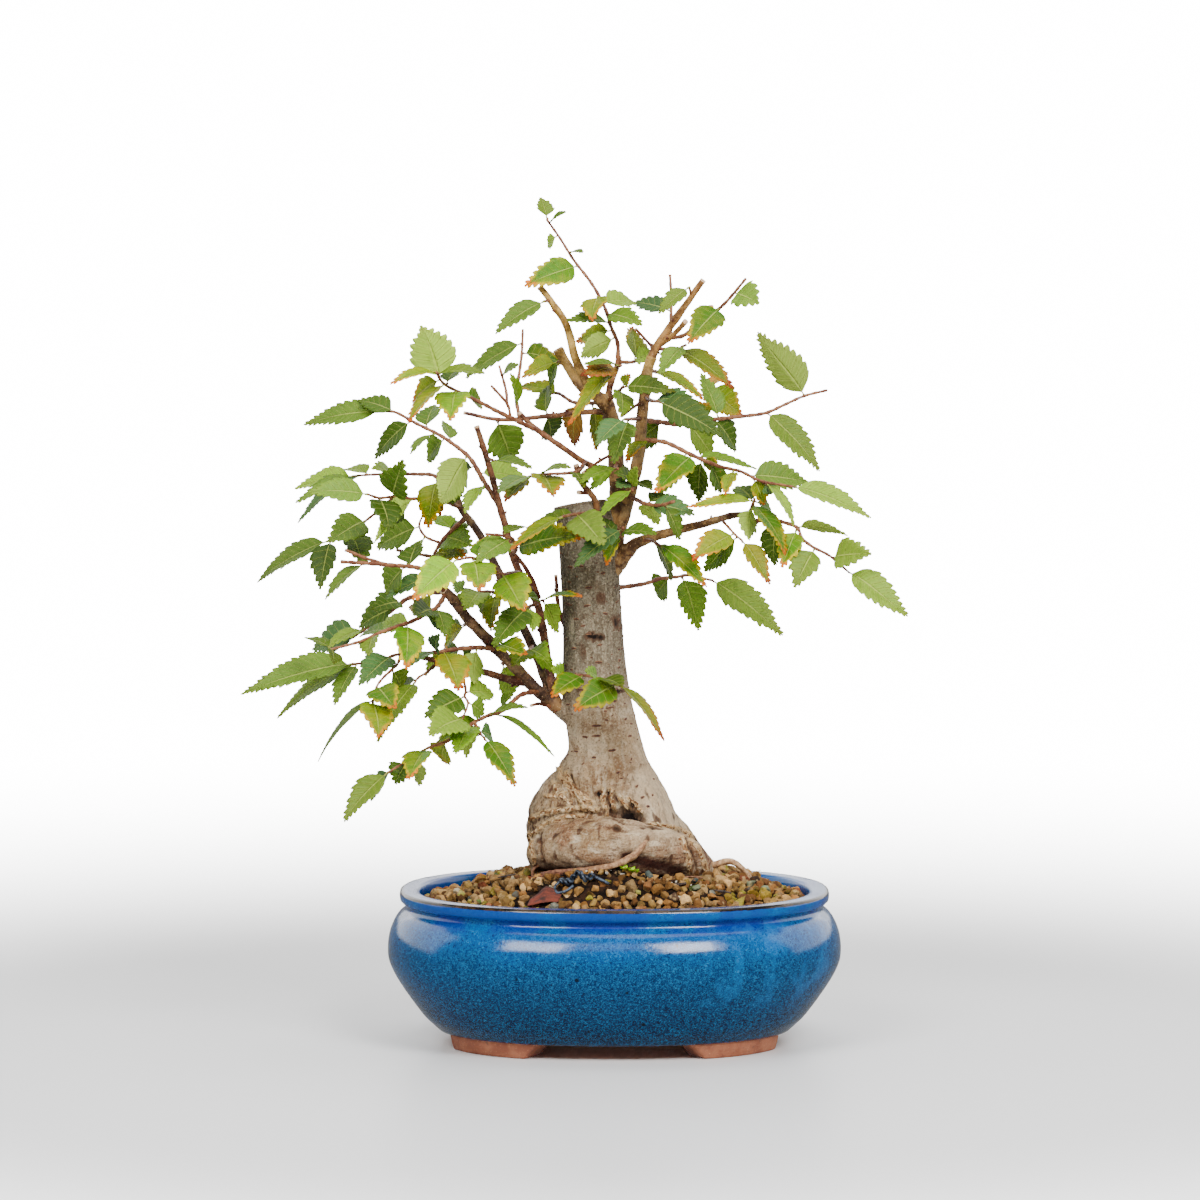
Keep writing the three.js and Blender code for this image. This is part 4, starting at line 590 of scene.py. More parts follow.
# The soil's top, with the mound under the roots and the heap in front of them


SOIL_EDGE = 62.7
SOIL_MOUND = 12.8
SOIL_HEAP = 6.5
HEAP_PLACE = (-8, -41)
HEAP_SPREAD = (28, 9)


def soil_height(x, y):
    q = math.hypot((x - 3) / 48, (y + 3) / 38)
    share = min(max((1.85 - q) / 0.85, 0), 1)
    far = ((x - HEAP_PLACE[0]) / HEAP_SPREAD[0]) ** 2 + ((y - HEAP_PLACE[1]) / HEAP_SPREAD[1]) ** 2
    return SOIL_EDGE + SOIL_MOUND * share * share * (3 - 2 * share) + SOIL_HEAP * math.exp(-far)


# Wood


# The trunk's height, middle x and y, half width and half depth.
TRUNK = [
    (54, 4, 0, 38, 27), (68, 4, 0, 37, 28), (78, 4, 0, 33.5, 27), (88, 3, 0, 29, 26),
    (97, 2.4, 0, 26.2, 24.4), (107, 0.8, 0, 24.2, 22.4), (117, -2.4, 0, 22.2, 20),
    (125, -4.2, 0, 19.4, 18.2), (131, -3.5, 0, 16.7, 16.9), (143, -5.8, 0, 15.7, 15.7),
    (156, -8.1, 0, 14.8, 14.6), (172, -9.2, 0, 13.8, 13.8), (190, -9.9, 0, 13.2, 13.2),
    (212, -10.8, 0, 13.1, 13.1), (230, -13, 0, 12.8, 12.5), (240, -15.2, 0, 11.9, 11.8),
]
TRUNK_SIDES = 72
TRUNK_TOP = 236
# The sawn top slopes to one side, from this height on.
TOP_SLOPE = 0.16
TOP_FROM = 232
TOP_RUN = 8
# The trunk and its roots become one skin of this fineness.
VOXEL = 0.85
# Branches over this radius are fused to the trunk, by so many rows of at least the third value.
FUSED_BRANCH = 4
FUSED_ROWS = 14
FUSED_RADIUS = 2.6
# Roots as x, y, z, radius.
ROOT_ROLL = [
    (-33, -8, 84, 7), (-27, -17, 88, 10), (-15, -25, 90, 12), (1, -28, 90, 12.6), (16, -25, 87.5, 11.8),
    (28, -17, 83.5, 10.6), (37, -8, 77.5, 8), (43, 0, 69, 6),
]
LEFT_LUMP = [
    (-17, -3, 120, 7.5), (-20.5, -4, 110, 14), (-21.3, -4, 100, 17.4), (-21.6, -3, 90, 17.2),
    (-21, -2, 80, 16), (-20, 0, 66, 16),
]
BACK_ROOT = [(-4, 12, 96, 8), (-2, 22, 86, 9), (2, 32, 77, 7), (6, 42, 68, 5)]
RIGHT_ROOT = [(21, 6, 101, 5), (30.5, 6, 90, 5.5), (38, 6, 79, 5), (44.5, 7, 68, 3.8)]
ROOT_STRAND = [
    (15.5, -32.6, 97, 1.0), (12.5, -37.6, 92, 1.3), (8, -39.8, 87.5, 1.5), (2, -40.4, 84.4, 1.5),
    (-5, -41.2, 82.6, 1.3), (-16, -38.6, 81, 1.2), (-27, -29, 79, 1.1), (-34, -19, 76.5, 1.0),
]
ROOT_ARCH = [
    (38, -10, 76, 1.5), (45, -11, 80.5, 1.5), (52, -11, 81.5, 1.4), (58, -10, 77, 1.2), (62, -10, 70, 1.1),
]
SIDE_STRAND = [(-25, -23, 89, 0.7), (-31, -20, 83, 0.8), (-35.6, -17, 79, 0.7), (-36.5, -17, 74, 0.6)]

# Swellings of the trunk: angle, height, width and height of the spot, share of the radius.
TRUNK_RELIEF = [
    (-95, 108, 22, 7, -0.11), (-120, 113, 16, 10, 0.05), (-60, 100, 22, 9, 0.05), (-150, 132, 30, 8, 0.05),
    (-70, 150, 14, 60, 0.02), (30, 110, 25, 14, 0.05), (90, 120, 30, 16, 0.04), (150, 148, 26, 7, 0.07),
    (-85, 198, 16, 5, 0.03), (-92, 180, 16, 5, 0.035), (60, 100, 20, 12, -0.05),
]
# Branches: start and end radius, then points x, z, y of the front view.
BRANCH_STEP = 1.6
# A branch's bark is old over the first start radius, and young under the second.
OLD_WOOD = 2.2
YOUNG_WOOD = 1.2
FINE_ROOTS = 26
BRANCHES = [
    (4.4, 2.9, (-4, 218, 0), (0.6, 233, 0), (1.4, 245, 0), (0.3, 265, 1), (-2, 281, 2), (-5, 288, 2)),
    (2.4, 2.1, (-4.5, 286, 2), (-14, 291, 4), (-18, 296, 6), (-22, 303, 7), (-25, 308, 8)),
    (2.3, 1.4, (-3, 281, 1), (-9, 288.5, -2), (-13.5, 295.5, -4), (-17.4, 305, -5), (-19.7, 313.5, -5.5),
     (-22.2, 320.5, -6), (-27, 328, -6), (-33, 335.7, -6)),
    (3.1, 2.3, (-3, 216, -2), (2, 228, -3), (5.5, 240, -4), (10, 257, -5), (12, 276, -5), (14.5, 297, -4),
     (16.5, 304.5, -4)),
    (2.0, 1.3, (15.5, 301, -4), (18.5, 309, -3.5), (26.2, 320.3, -4), (39.2, 338.6, -6)),
    (1.3, 1.1, (20, 310, -3), (26, 314.5, -8), (31.5, 320.5, -13)),
    (1.6, 1.2, (-2.5, 283, 2), (-2, 292, 1), (1, 300, 0), (2, 305, 0)),
    (5, 2.2, (-5, 206, -2), (2, 214, -3), (8, 221, -6), (14, 224, -8)),
    (2.4, 1.2, (11, 222.6, -7), (17, 225, -9), (28, 228, -13), (40, 231, -17), (52, 234.5, -20),
     (60, 235, -22)),
    (1.1, 0.9, (58, 235, -21.5), (61.5, 233, -22), (62.9, 230.8, -22)),
    (1.5, 1, (-1, 253, 0), (-12, 257.5, -6), (-22, 264, -10), (-36, 274, -14), (-42, 280, -16)),
    (1.3, 0.8, (-1, 279.5, 2), (-10, 280.5, 5), (-30, 278.5, 11), (-50, 277, 16), (-66.5, 280, 19)),
    (1.6, 1.2, (-9, 231, -6), (-8, 240, -11), (-13, 247, -14), (-15, 250, -15), (-17, 257, -16)),
    (0.9, 0.8, (-11.5, 244.5, -13), (-16, 244.8, -18)),
    (4.6, 2.9, (-12, 140, 0), (-24, 148.5, -3), (-31, 154, -5)),
    (2.9, 2.1, (-29, 152.6, -4.4), (-35, 157.5, -6), (-48, 171, -10), (-63.5, 187, -15), (-72.6, 198.5, -18),
     (-76, 201.5, -19)),
    (1.9, 1, (-38, 160, -6), (-46, 161.5, -9), (-58, 165, -14), (-66, 166.5, -18), (-77, 169.5, -23),
     (-91, 172.6, -30)),
    (2.1, 1.25, (-24, 149, 0), (-28, 160, 3), (-31, 180, 4), (-34, 195, 4), (-39, 204, 3), (-44, 214, 2),
     (-49, 232, 0), (-56, 258, -4), (-61, 274, -6)),
    (2.4, 1.55, (-25, 148, 2), (-33, 168, 9), (-39, 182, 11), (-48, 202, 14), (-59, 225, 17),
     (-67.5, 237, 19), (-70.6, 246, 20)),
    (1.1, 0.9, (-33.5, 198, 4), (-36, 205, -2), (-40, 212, -6), (-46, 219.5, -10)),
    (1, 0.8, (-20, 180, 6), (-24.6, 193, 8), (-26, 208, 9)),
    (0.7, 0.6, (1.5, 263, -2), (-6, 259, -12), (-14, 253.5, -22)),
    (0.7, 0.6, (12, 285, -5), (3, 278.5, -15)),
    (0.7, 0.6, (19, 307, -3), (15, 311, 4), (9.5, 317, 10)),
    (0.8, 0.7, (-27, 149, -4), (-33, 150.8, -12), (-37, 150, -18)),
]
# Raised or sunken lines on the front of the base: height, width, dark as painted shade along the line,
# fibrous, then points x, z.
RIDGES = [
    (1.9, 1.2, 0.0, 0.8, (-24.7, 124.4), (-24.0, 118), (-20.5, 114.5), (-16.5, 110), (-12.4, 104.5)),
    (1.2, 0.9, 0.0, 0.8, (-21.5, 120), (-18.5, 114), (-14.5, 110), (-9.5, 106.5)),
    (1.0, 0.9, 0.1, 0.7, (-31, 110), (-26.5, 109.5), (-21.5, 111)),
    (0.9, 0.8, 0.1, 0.7, (-27, 116), (-25, 110), (-19, 106)),
    (-0.7, 0.6, 0.8, 0.0, (-19.5, 119), (-17.5, 113.5), (-13, 109.5)),
    (-0.7, 0.6, 0.7, 0.0, (-26, 112), (-22.5, 107.5), (-17, 105.5)),
    (1.7, 1.2, 0.0, 0.8, (-38, 99), (-32, 101.8), (-24, 103.6), (-16, 104.4), (-8, 103.6)),
    (-0.7, 0.5, 0.45, 0.2, (-37.5, 96.5), (-32, 100), (-24, 101.8), (-14, 102.4), (-6, 101.2), (1, 99.4)),
    (1.2, 1.0, 0.0, 0.8, (-37, 92), (-31, 97.4), (-23, 100), (-14, 100.9)),
    (-1.3, 1.0, 0.9, 0.0, (13, 97.6), (17, 96), (22, 95.4)),
    (1.3, 0.9, 0.0, 0.8, (16, 97), (22, 96.3), (29, 95), (33, 92)),
    (0.7, 0.5, 0.3, 0.2, (1.3, 119.4), (8, 122.4), (15.7, 124.5), (19.6, 121), (21, 117.7)),
    (1.4, 0.9, 0.0, 0.9, (33, 92), (37, 86), (40, 79), (41.5, 72)),
    (-0.9, 0.7, 0.8, 0.3, (31.5, 91), (35, 84), (37, 76)),
    (1.1, 0.9, 0.0, 0.8, (29.5, 91), (32.5, 84), (34, 75)),
    (1.1, 0.9, 0.1, 0.9, (-37.5, 93), (-37, 86), (-35, 77)),
    (-0.8, 0.8, 0.7, 0.2, (-34, 93), (-33.5, 88), (-31.5, 80)),
    (1.3, 0.7, 0.0, 0.9, (-4.5, 112.6), (-5, 107), (-3, 101.6)),
    (1.3, 0.7, 0.0, 0.9, (-1.5, 113), (-1.5, 108), (0.5, 103)),
    (-1.0, 0.5, 0.9, 0.0, (-3, 112), (-3.2, 107), (-1.4, 103)),
    (1.2, 0.7, 0.0, 0.9, (2.5, 109.6), (4, 106.4), (6.4, 104)),
    (-0.9, 0.5, 0.9, 0.0, (0.5, 110.4), (1.2, 107), (2.6, 104.4)),
    (1.2, 0.8, 0.0, 0.9, (6, 108.6), (9, 106), (12.4, 102.4)),
]
# The dark red wood under the roll, right of its middle.
UNDERCUT = [(6, 81.5), (17, 78.5), (29, 75)]
UNDERCUT_WIDTH = 3.4
# Hollows of the base, darkened with painted shade, and stains higher up: x, z, half width, half height,
# depth, darkness.
HOLLOWS = [
    (6, 101.6, 6.5, 3.2, 3.4, 1.0), (10.5, 99.4, 4.2, 2.0, 2.8, 1.0), (0, 102, 2.6, 1.5, 1.4, 0.8),
    (-6.5, 110.5, 2.2, 1.4, 0.7, 1.0), (8, 106, 1.6, 1.6, 0.8, 0.9), (-24, 105, 3.0, 1.4, 0.6, 0.6),
    (-34, 90, 2.4, 2.0, 0.8, 0.6), (-14, 174, 2.4, 5.5, 0.0, 0.5), (0.5, 187, 2.2, 3.6, -0.6, 0.85),
    (-6, 198, 2.6, 3.0, -1.1, 0.7), (-8.5, 180.5, 4.2, 1.9, -0.9, 1.0), (-10.5, 181.5, 2.0, 1.4, 0.5, 1.0),
    (1.5, 156.5, 2.6, 1.4, -0.9, 0.9),
]
# Lenticels on the front: x, z, length, turn in degrees.
LENTICELS = [
    (-11.5, 202.5, 3.4, 4), (-20.5, 195, 3, 0), (-12, 194.5, 3.2, 8), (-4, 191, 2.6, -10),
    (-17, 188.5, 3, 0),
    (-14, 185.5, 2.4, 10), (-11.5, 182, 3, -6), (-18, 175.5, 3, 5), (-7, 169.3, 3.4, 0), (-6.5, 177, 2.6, 8),
    (-2, 149, 4.2, 8), (-4, 147.5, 1.6, 0), (-3.5, 143.5, 1.6, 0), (-8, 141, 4.6, 4), (5, 144, 2.2, 25),
    (-13, 136, 3, -5), (-8, 136.5, 4.2, 5), (-1, 130, 3.8, 8), (-17, 129.5, 2.8, -4), (-9, 126.8, 2, 0),
    (-14, 124, 1.6, 40), (2, 120, 2.6, 5), (3, 117.5, 1.8, 0), (10, 114, 2, 30), (12.5, 109, 2.4, 20),
    (-6, 153.5, 2, 0), (0, 152, 3, 0), (7.5, 126, 1.6, 50), (15, 105, 2, 0), (17, 110, 1.6, 40),
    (-15, 157, 2.2, 0), (-10, 163, 2, 0), (2, 167, 1.8, 5), (-19, 166, 1.8, 0), (2, 175, 2, 0),
    (1, 196, 2, 10),
    (-20, 205, 2.4, 0), (-5, 209, 2.4, 6), (-15, 212, 3, 0),
]
# How many more are strewn over the trunk, and how many of those are longer.
RANDOM_LENTICELS = 300
LONGER_LENTICELS = 170
LENTICEL_HEIGHTS = (116, 232)
# Across and out, over one slit.
SLIT_RING = [(-1.0, -0.3), (-0.75, 0.35), (-0.3, 0.55), (0.0, 0.28), (0.3, 0.55), (0.75, 0.35), (1.0, -0.3)]


def trunk_radius(section, degrees):
    z, _, _, half_width, half_depth = section
    swell = 1
    for at_angle, at_height, width, height, amount in TRUNK_RELIEF:
        turn = (degrees - at_angle + 540) % 360 - 180
        swell += amount * math.exp(-(turn / width) ** 2 - ((z - at_height) / height) ** 2)
    return half_width * swell, half_depth * swell


def trunk_loft(shape):
    sections = curve(TRUNK, 2.4)
    points = []
    for section in sections:
        top = max(0.0, (section[0] - TOP_FROM) / TOP_RUN)
        for s in range(TRUNK_SIDES):
            degrees = 360 * s / TRUNK_SIDES - 180
            wide, dark_red_and_shade = trunk_radius(section, degrees)
            x = wide * math.cos(math.radians(degrees))
            y = dark_red_and_shade * math.sin(math.radians(degrees))
            points.append((section[1] + x, section[2] + y, section[0] + x * TOP_SLOPE * top))
    shape.add(points, loft(len(sections), TRUNK_SIDES))


def near_line(x, z, line):
    """Distances of the places x, z from a polyline."""
    best = np.full(len(x), 1e9)
    for (ax, az), (bx, bz) in zip(line, line[1:]):
        run = (bx - ax) ** 2 + (bz - az) ** 2
        t = np.clip(((x - ax) * (bx - ax) + (z - az) * (bz - az)) / run, 0, 1)
        best = np.minimum(best, np.hypot(ax + (bx - ax) * t - x, az + (bz - az) * t - z))
    return best


def arrays(mesh):
    """The mesh's points in millimetres and its normals."""
    points = np.zeros(len(mesh.vertices) * 3)
    normals = np.zeros(len(mesh.vertices) * 3)
    mesh.vertices.foreach_get("co", points)
    mesh.vertex_normals.foreach_get("vector", normals)
    return points.reshape(-1, 3) / MM - np.array(SHIFT), normals.reshape(-1, 3)


def noise_of(points, scale, seed):
    return np.array([noise.noise(Vector((p[0] * scale, p[1] * scale, p[2] * scale + seed))) for p in points])


def trunk():
    shape = Shape()
    trunk_loft(shape)
    for path, rough in ((LEFT_LUMP, 0.07), (ROOT_ROLL, 0.06), (BACK_ROOT, 0.08), (RIGHT_ROOT, 0.08)):
        tube(shape, curve(path, 2.0), 32, rough, len(path))
    for start, end, *points in BRANCHES:
        if start > FUSED_BRANCH:
            rows = stem(start, end, points, BRANCH_STEP)
            tube(shape, [row for row in rows if row[3] > FUSED_RADIUS][:FUSED_ROWS], 16)
    item = shape.build("trunk_and_roots", [bark(), finish("sawn_wood")])
    modify(item, "REMESH", mode="VOXEL", voxel_size=VOXEL * MM)
    modify(item, "SMOOTH", factor=0.5, iterations=6)
    evaluated(item)
    mesh = item.data
    carve(mesh)
    mesh.polygons.foreach_set("use_smooth", [True] * len(mesh.polygons))
    tree = BVHTree.FromPolygons([v.co for v in mesh.vertices], [tuple(p.vertices) for p in mesh.polygons])
    lenticels(tree)
    piece(item, "bark", "tree")
    return tree


def carve(mesh):
    """Bark relief, callus ridges and hollows, with the attributes that colour them, among them painted shade
    in creases, hollows and undersides.
    """
    here, normals = arrays(mesh)
    x, z = front_view(here)
    front = np.clip(-normals[:, 1] * 2.5 + 0.2, 0, 1)
    wobble = noise_of(here, 0.3, 3.0)
    fine = noise_of(here, 0.8, 9.0)
    beads = noise_of(here, 1.3, 17.0)
    move = np.zeros(len(here))
    dark = np.zeros(len(here))
    tan = np.zeros(len(here))
    for height, width, darkness, fibre, *line in RIDGES:
        gap = near_line(x + wobble * 1.2, z + fine * 0.7, line)
        share = np.exp(-(gap / width) ** 2) * front
        move += height * share * (1 + 0.5 * fine + (0.7 * beads if height > 0 else 0))
        # Painted shade along the lines, mostly the sunken ones.
        dark = np.maximum(dark, darkness * share)
        tan = np.maximum(tan, fibre * share)
    for at_x, at_z, half_width, half_height, depth, darkness in HOLLOWS:
        q = np.hypot((x - at_x + wobble * 1.5) / half_width, (z - at_z + fine * 1.2) / half_height)
        move -= depth * (np.clip(1.6 - q, 0, 1) ** 1.2 * front)
        # Their darkness is painted shade in the sunk hollows, and the stains' own colour higher up.
        dark = np.maximum(dark, darkness * np.clip(1.35 - q, 0, 1) ** 0.7 * front)

    base = np.clip((126 - here[:, 2]) / 16, 0, 1)
    groove = noise_of(here * np.array([1.0, 1.0, 0.45]), 0.34, 21.0)
    move += base * (0.9 * noise_of(here, 0.11, 5.0) + 0.35 * groove + 0.14 * fine)
    move += (1 - base) * (0.5 * noise_of(here * np.array([1.0, 1.0, 0.4]), 0.09, 7.0) + 0.07 * fine)
    cut = np.clip((normals[:, 2] - 0.7) * 5, 0, 1) * (here[:, 2] > TRUNK_TOP)
    move *= 1 - cut
    # Painted shade where the grooves of the base sink in.
    crevice_shade = np.clip(-groove * 2.6 - 0.5, 0, 1) * base

    roll = np.zeros(len(here))
    for a, b in zip(ROOT_ROLL, ROOT_ROLL[1:]):
        a, b = np.array(a), np.array(b)
        run = b[:3] - a[:3]
        t = np.clip((here - a[:3]) @ run / (run @ run), 0, 1)
        gap = np.linalg.norm(here - a[:3] - t[:, None] * run, axis=1)
        roll = np.maximum(roll, np.clip((a[3] + (b[3] - a[3]) * t + 2.2 - gap) / 2, 0, 1))
    share = np.clip(1.5 - near_line(x + wobble, z + fine, UNDERCUT) / UNDERCUT_WIDTH, 0, 1) * front
    move -= 1.6 * share
    dark_red_and_shade = np.maximum(np.clip((76.5 - here[:, 2] + 2 * wobble) / 3, 0, 1), share)
    # Painted shade on the faces that look down, low on the roots.
    under = np.clip(-normals[:, 2] * 1.6 - 0.45, 0, 1) * (here[:, 2] < 90)

    here = here + normals * move[:, None]
    mesh.vertices.foreach_set("co", ((here + np.array(SHIFT)) * MM).ravel())
    dark = np.maximum(dark, crevice_shade * 0.7)
    dark_red_and_shade = np.maximum(dark_red_and_shade, under)
    paint(mesh, "bark", np.stack([dark, tan, dark_red_and_shade, cut], axis=1))
    paint(mesh, "flow", np.stack([roll, base, np.zeros(len(here)), np.ones(len(here))], axis=1))
    mesh.update()


def meets(tree, start, aim):
    """Where a line from start through aim meets the bark, in metres, and the normal there."""
    begin = world(start)
    place, normal, _, _ = tree.ray_cast(begin, (world(aim) - begin).normalized())
    return place, normal


def lenticels(tree):
    """Small raised slits laid on the bark."""
    spots = [(*meets(tree, VIEW, at(x, z, -60)), length, turn) for x, z, length, turn in LENTICELS]
    for number in range(RANDOM_LENTICELS):
        angle = rng.uniform(0, FULL_TURN)
        height = rng.uniform(*LENTICEL_HEIGHTS)
        large = number < LONGER_LENTICELS
        reach = rng.uniform(1.2, 3.4) if large else rng.uniform(0.7, 1.5)
        start = (-8 + 60 * math.cos(angle), 60 * math.sin(angle), height)
        if math.sin(angle) > -0.75 or not large:
            spots.append((*meets(tree, start, (-8, 0, height)), reach, rng.uniform(-12, 12)))
    shape = Shape()
    for place, normal, length, turn in spots:
        if place is None or (place / MM - SHIFT).z > TRUNK_TOP:
            continue
        side = UP.cross(normal).normalized()
        side.rotate(Matrix.Rotation(math.radians(turn), 3, normal))
        half = rng.uniform(0.5, 0.75) * min(1, length / 2)
        slit(shape, place / MM - SHIFT, side, normal, length, half)
    piece(shape.build("bark_lenticels", [lenticel_bark()]), "bark")


def slit(shape, centre, side, normal, length, half):
    rows = 9
    up = normal.cross(side)
    points = []
    dark = []
    for i in range(rows):
        t = 2 * i / (rows - 1) - 1
        wide = half * math.sqrt(max(0.02, 1 - t * t)) * rng.uniform(0.85, 1.15)
        for across, rise in SLIT_RING:
            points.append(centre + side * (t * length / 2) + up * (across * wide)
                          + normal * (rise * 0.42 * (1 - 0.6 * t * t)))
            dark.append((1.0 if across == 0 else 0.35 if abs(across) < 0.5 else 0.0, 0.0, 0.0, 1.0))
    shape.add(points, grid(rows, len(SLIT_RING)), slit=dark)


def branches():
    shape = Shape()
    for number, (start, end, *points) in enumerate(BRANCHES):
        rows = stem(start, end, points, BRANCH_STEP)
        knots = [rng.uniform(0.06, 0.94) * len(rows) for _ in range(max(2, len(rows) // 9))]
        grown = []
        for i, row in enumerate(rows):
            swell = sum(0.14 * math.exp(-((i - knot) / 0.9) ** 2) for knot in knots)
            bend = Vector((noise.noise(Vector((i * 0.17, number, 0.5))),
                           noise.noise(Vector((i * 0.17, number, 7.5))), 0)) * min(0.22 * row[3], 0.35)
            ends = min(i, len(rows) - 1 - i) / 3
            grown.append((*(Vector(row[:3]) + bend * min(ends, 1)), row[3] * (1 + swell)))
        young = 0.0 if start > OLD_WOOD else 0.55 if start > YOUNG_WOOD else 1.0
        sides = 10 if young else 14
        tube(shape, grown, sides, 0.09, number * 3.1, closed=False, twig=(young, 0.0, 0.0, 1.0))
        last = Vector(rows[-1][:3])
        goes_on = any((at(*other[2]) - last).length < 5 for other in BRANCHES)
        cut_end(shape, grown, young, 0.0 if goes_on else 1.0)
        for knot in knots:
            i = min(int(knot), len(grown) - 2)
            if rng.random() < 0.75 and 2 < i < len(grown) - 2:
                bud(shape, grown[i], Vector(grown[i + 1][:3]) - Vector(grown[i][:3]))
    piece(shape.build("branches", [branch_bark()]), "bark")


def cut_end(shape, rows, young, pale):
    """A clean cut across a branch's end, with a bark edge, pale where the branch ends."""
    sides = 12
    last = Vector(rows[-1][:3])
    along = (last - Vector(rows[-2][:3])).normalized()
    side = along.orthogonal().normalized()
    other = along.cross(side)
    points = []
    cut = []
    for share, rise, fresh in ((1.03, -1.1, 0.0), (1.07, -0.4, 0.9), (0.98, 0.25, 1.0), (0.3, 0.28, 1.0)):
        for s in range(sides):
            angle = FULL_TURN * s / sides
            ray = side * math.cos(angle) + other * math.sin(angle)
            points.append(last + ray * rows[-1][3] * share + along * rise)
            cut.append((young, fresh * pale, 0.0, 1.0))
    shape.add(points, loft(4, sides, caps=False) + [tuple(range(3 * sides, 4 * sides))], twig=cut)


def bud(shape, row, along):
    along = along.normalized()
    out = along.orthogonal()
    out.rotate(Matrix.Rotation(rng.uniform(0, 6.28), 3, along))
    centre = Vector(row[:3]) + out.normalized() * row[3] * 0.9
    tip = centre + out.normalized() * rng.uniform(0.7, 1.3) + along * rng.uniform(0.9, 1.6)
    swell = ((0, 0.25), (0.2, 0.62), (0.45, 0.6), (1, 0.1))
    tube(shape, [(*centre.lerp(tip, share), radius) for share, radius in swell], 8, twig=(1.0, 0.0, 0.6, 1.0))


def roots():
    shape = Shape()
    for path, tint in ((ROOT_STRAND, 0.25), (ROOT_ARCH, 0.0), (SIDE_STRAND, 0.1)):
        tube(shape, curve(path, 0.9), 12, 0.3, tint * 9, strand=(tint, 0.0, 0.0, 1.0))
    for _ in range(FINE_ROOTS):
        x = rng.uniform(-34, 40)
        y = -30 - rng.uniform(0, 8) * (1 - (x / 45) ** 2)
        z = soil_height(x, y) + 0.6
        heading = rng.uniform(0, 6.28)
        rows = []
        for i in range(7):
            rows.append((x, y, z + 0.9 * math.sin(i * 0.5 + heading), 0.35 - 0.03 * i))
            heading += rng.uniform(-0.5, 0.5)
            x += 1.7 * math.cos(heading)
            y += 1.1 * math.sin(heading)
        tube(shape, rows, 6, strand=(0.6, 0.0, 0.0, 1.0))
    piece(shape.build("root_strands", [root_skin()]), "bark")


def bark():
    g = Graph("trunk_bark")
    colour, cut = g.field("bark")
    dark, tan, dark_red_and_shade = g.parts(colour)
    roll, base_share, _ = g.parts(g.field("flow")[0])
    x, _, up = g.axes()
    height = g.times(up, 1000)
    patch = g.noise(80, 5, 0.68, warp=0.6)
    upright = g.noise(300, 5, 0.72, (1.0, 1.0, 0.24), 0.5)
    level = g.noise(300, 5, 0.72, (0.26, 0.6, 1.0), 0.5)
    fibre = g.math("ADD", g.times(upright, g.math("SUBTRACT", 1.0, roll)), g.times(level, roll))
    grit = g.noise(1000, 4, 0.75)
    base = g.blend(g.noise(26, 4, 0.6), 0.36, 0.64, (166, 132, 94), (208, 180, 144))
    base = g.over(base, (128, 88, 56), patch, 0.5, 0.6, 0.6)
    base = g.over(base, (226, 204, 170), patch, 0.45, 0.34, 0.7)
    base = g.lay(base, (158, 100, 70), roll, g.step(g.noise(60, 3, 0.6), 0.48, 0.62), 0.5)
    # Worn red at the low right, and greyer toward the top.
    worn = g.step(fibre, 0.34, 0.56)
    base = g.over(base, (136, 88, 62), height, 96, 82, g.step(x, -0.012, 0.006), worn, 0.72)
    top = g.step(height, 120, 180)
    grey = g.blend(fibre, 0.36, 0.62, (64, 60, 46), (150, 140, 120))
    grey = g.over(grey, (74, 66, 46), patch, 0.5, 0.62, 0.5)
    base = g.lay(base, grey, top, 0.85)
    # Painted shade on the left side of the upper trunk.
    base = g.over(base, (48, 46, 30), x, 0.008, -0.008, top, 0.6)
    streaks = g.step(base_share, 0.0, 1.0, 0.3, 0.7)
    base = g.over(base, (88, 54, 30), fibre, 0.52, 0.62, streaks)
    base = g.over(base, (238, 218, 184), fibre, 0.46, 0.36, streaks)
    base = g.over(base, (82, 60, 40), grit, 0.52, 0.63, 0.5)
    base = g.over(base, (232, 214, 182), grit, 0.47, 0.38, 0.35)
    flecks = g.cells(420, (1.0, 1.0, 2.4))
    base = g.over(base, (74, 44, 26), flecks, 0.18, 0.1, g.step(g.noise(190, 1, 0.5), 0.54, 0.6))
    # Sunlit on the right, then the callus, the dark red and the painted shade under the roots, the stains and
    # the painted shade in hollows and creases, and the sawn top.
    base = g.over(base, (240, 214, 176), x, 0.018, 0.034, g.step(height, 180, 150),
                  g.step(height, 88, 100), 0.4)
    base = g.over(base, (222, 186, 134), tan, 0.1, 0.5, g.step(grit, 0.34, 0.5))
    base = g.over(base, (112, 70, 40), tan, 0.1, 0.5, g.step(grit, 0.56, 0.64))
    # Dark red under the roll and low by the soil, with painted shade on the undersides.
    base = g.lay(base, (54, 20, 12), dark_red_and_shade, 0.95)
    # Stains, and painted shade in the hollows, creases and crevices, near black in the cavity.
    stains_and_shade = g.plus(dark, fibre, 0.9)
    base = g.over(base, (84, 52, 32), stains_and_shade, 0.15, 0.6, 0.8)
    base = g.over(base, (26, 15, 9), stains_and_shade, 0.62, 0.95)
    sawn = g.blend(g.noise(700, 3, 0.6), 0.4, 0.6, (104, 84, 54), (150, 126, 88))
    base = g.over(base, sawn, cut, 0.4, 0.6)
    return g.finish(base, 0.84, (fibre, 0.005, 0.9), (patch, 0.004, 0.5), (grit, 0.001, 0.9), spec=0.2)


def lenticel_bark():
    g = Graph("lenticel")
    dark, _, _ = g.parts(g.field("slit")[0])
    edge = g.blend(g.noise(600, 3, 0.7), 0.4, 0.6, (96, 60, 38), (140, 100, 68))
    base = g.over(edge, (44, 20, 12), dark, 0.1, 0.5)
    return g.finish(base, 0.85, (g.noise(900, 3, 0.7), 0.0003, 0.6))


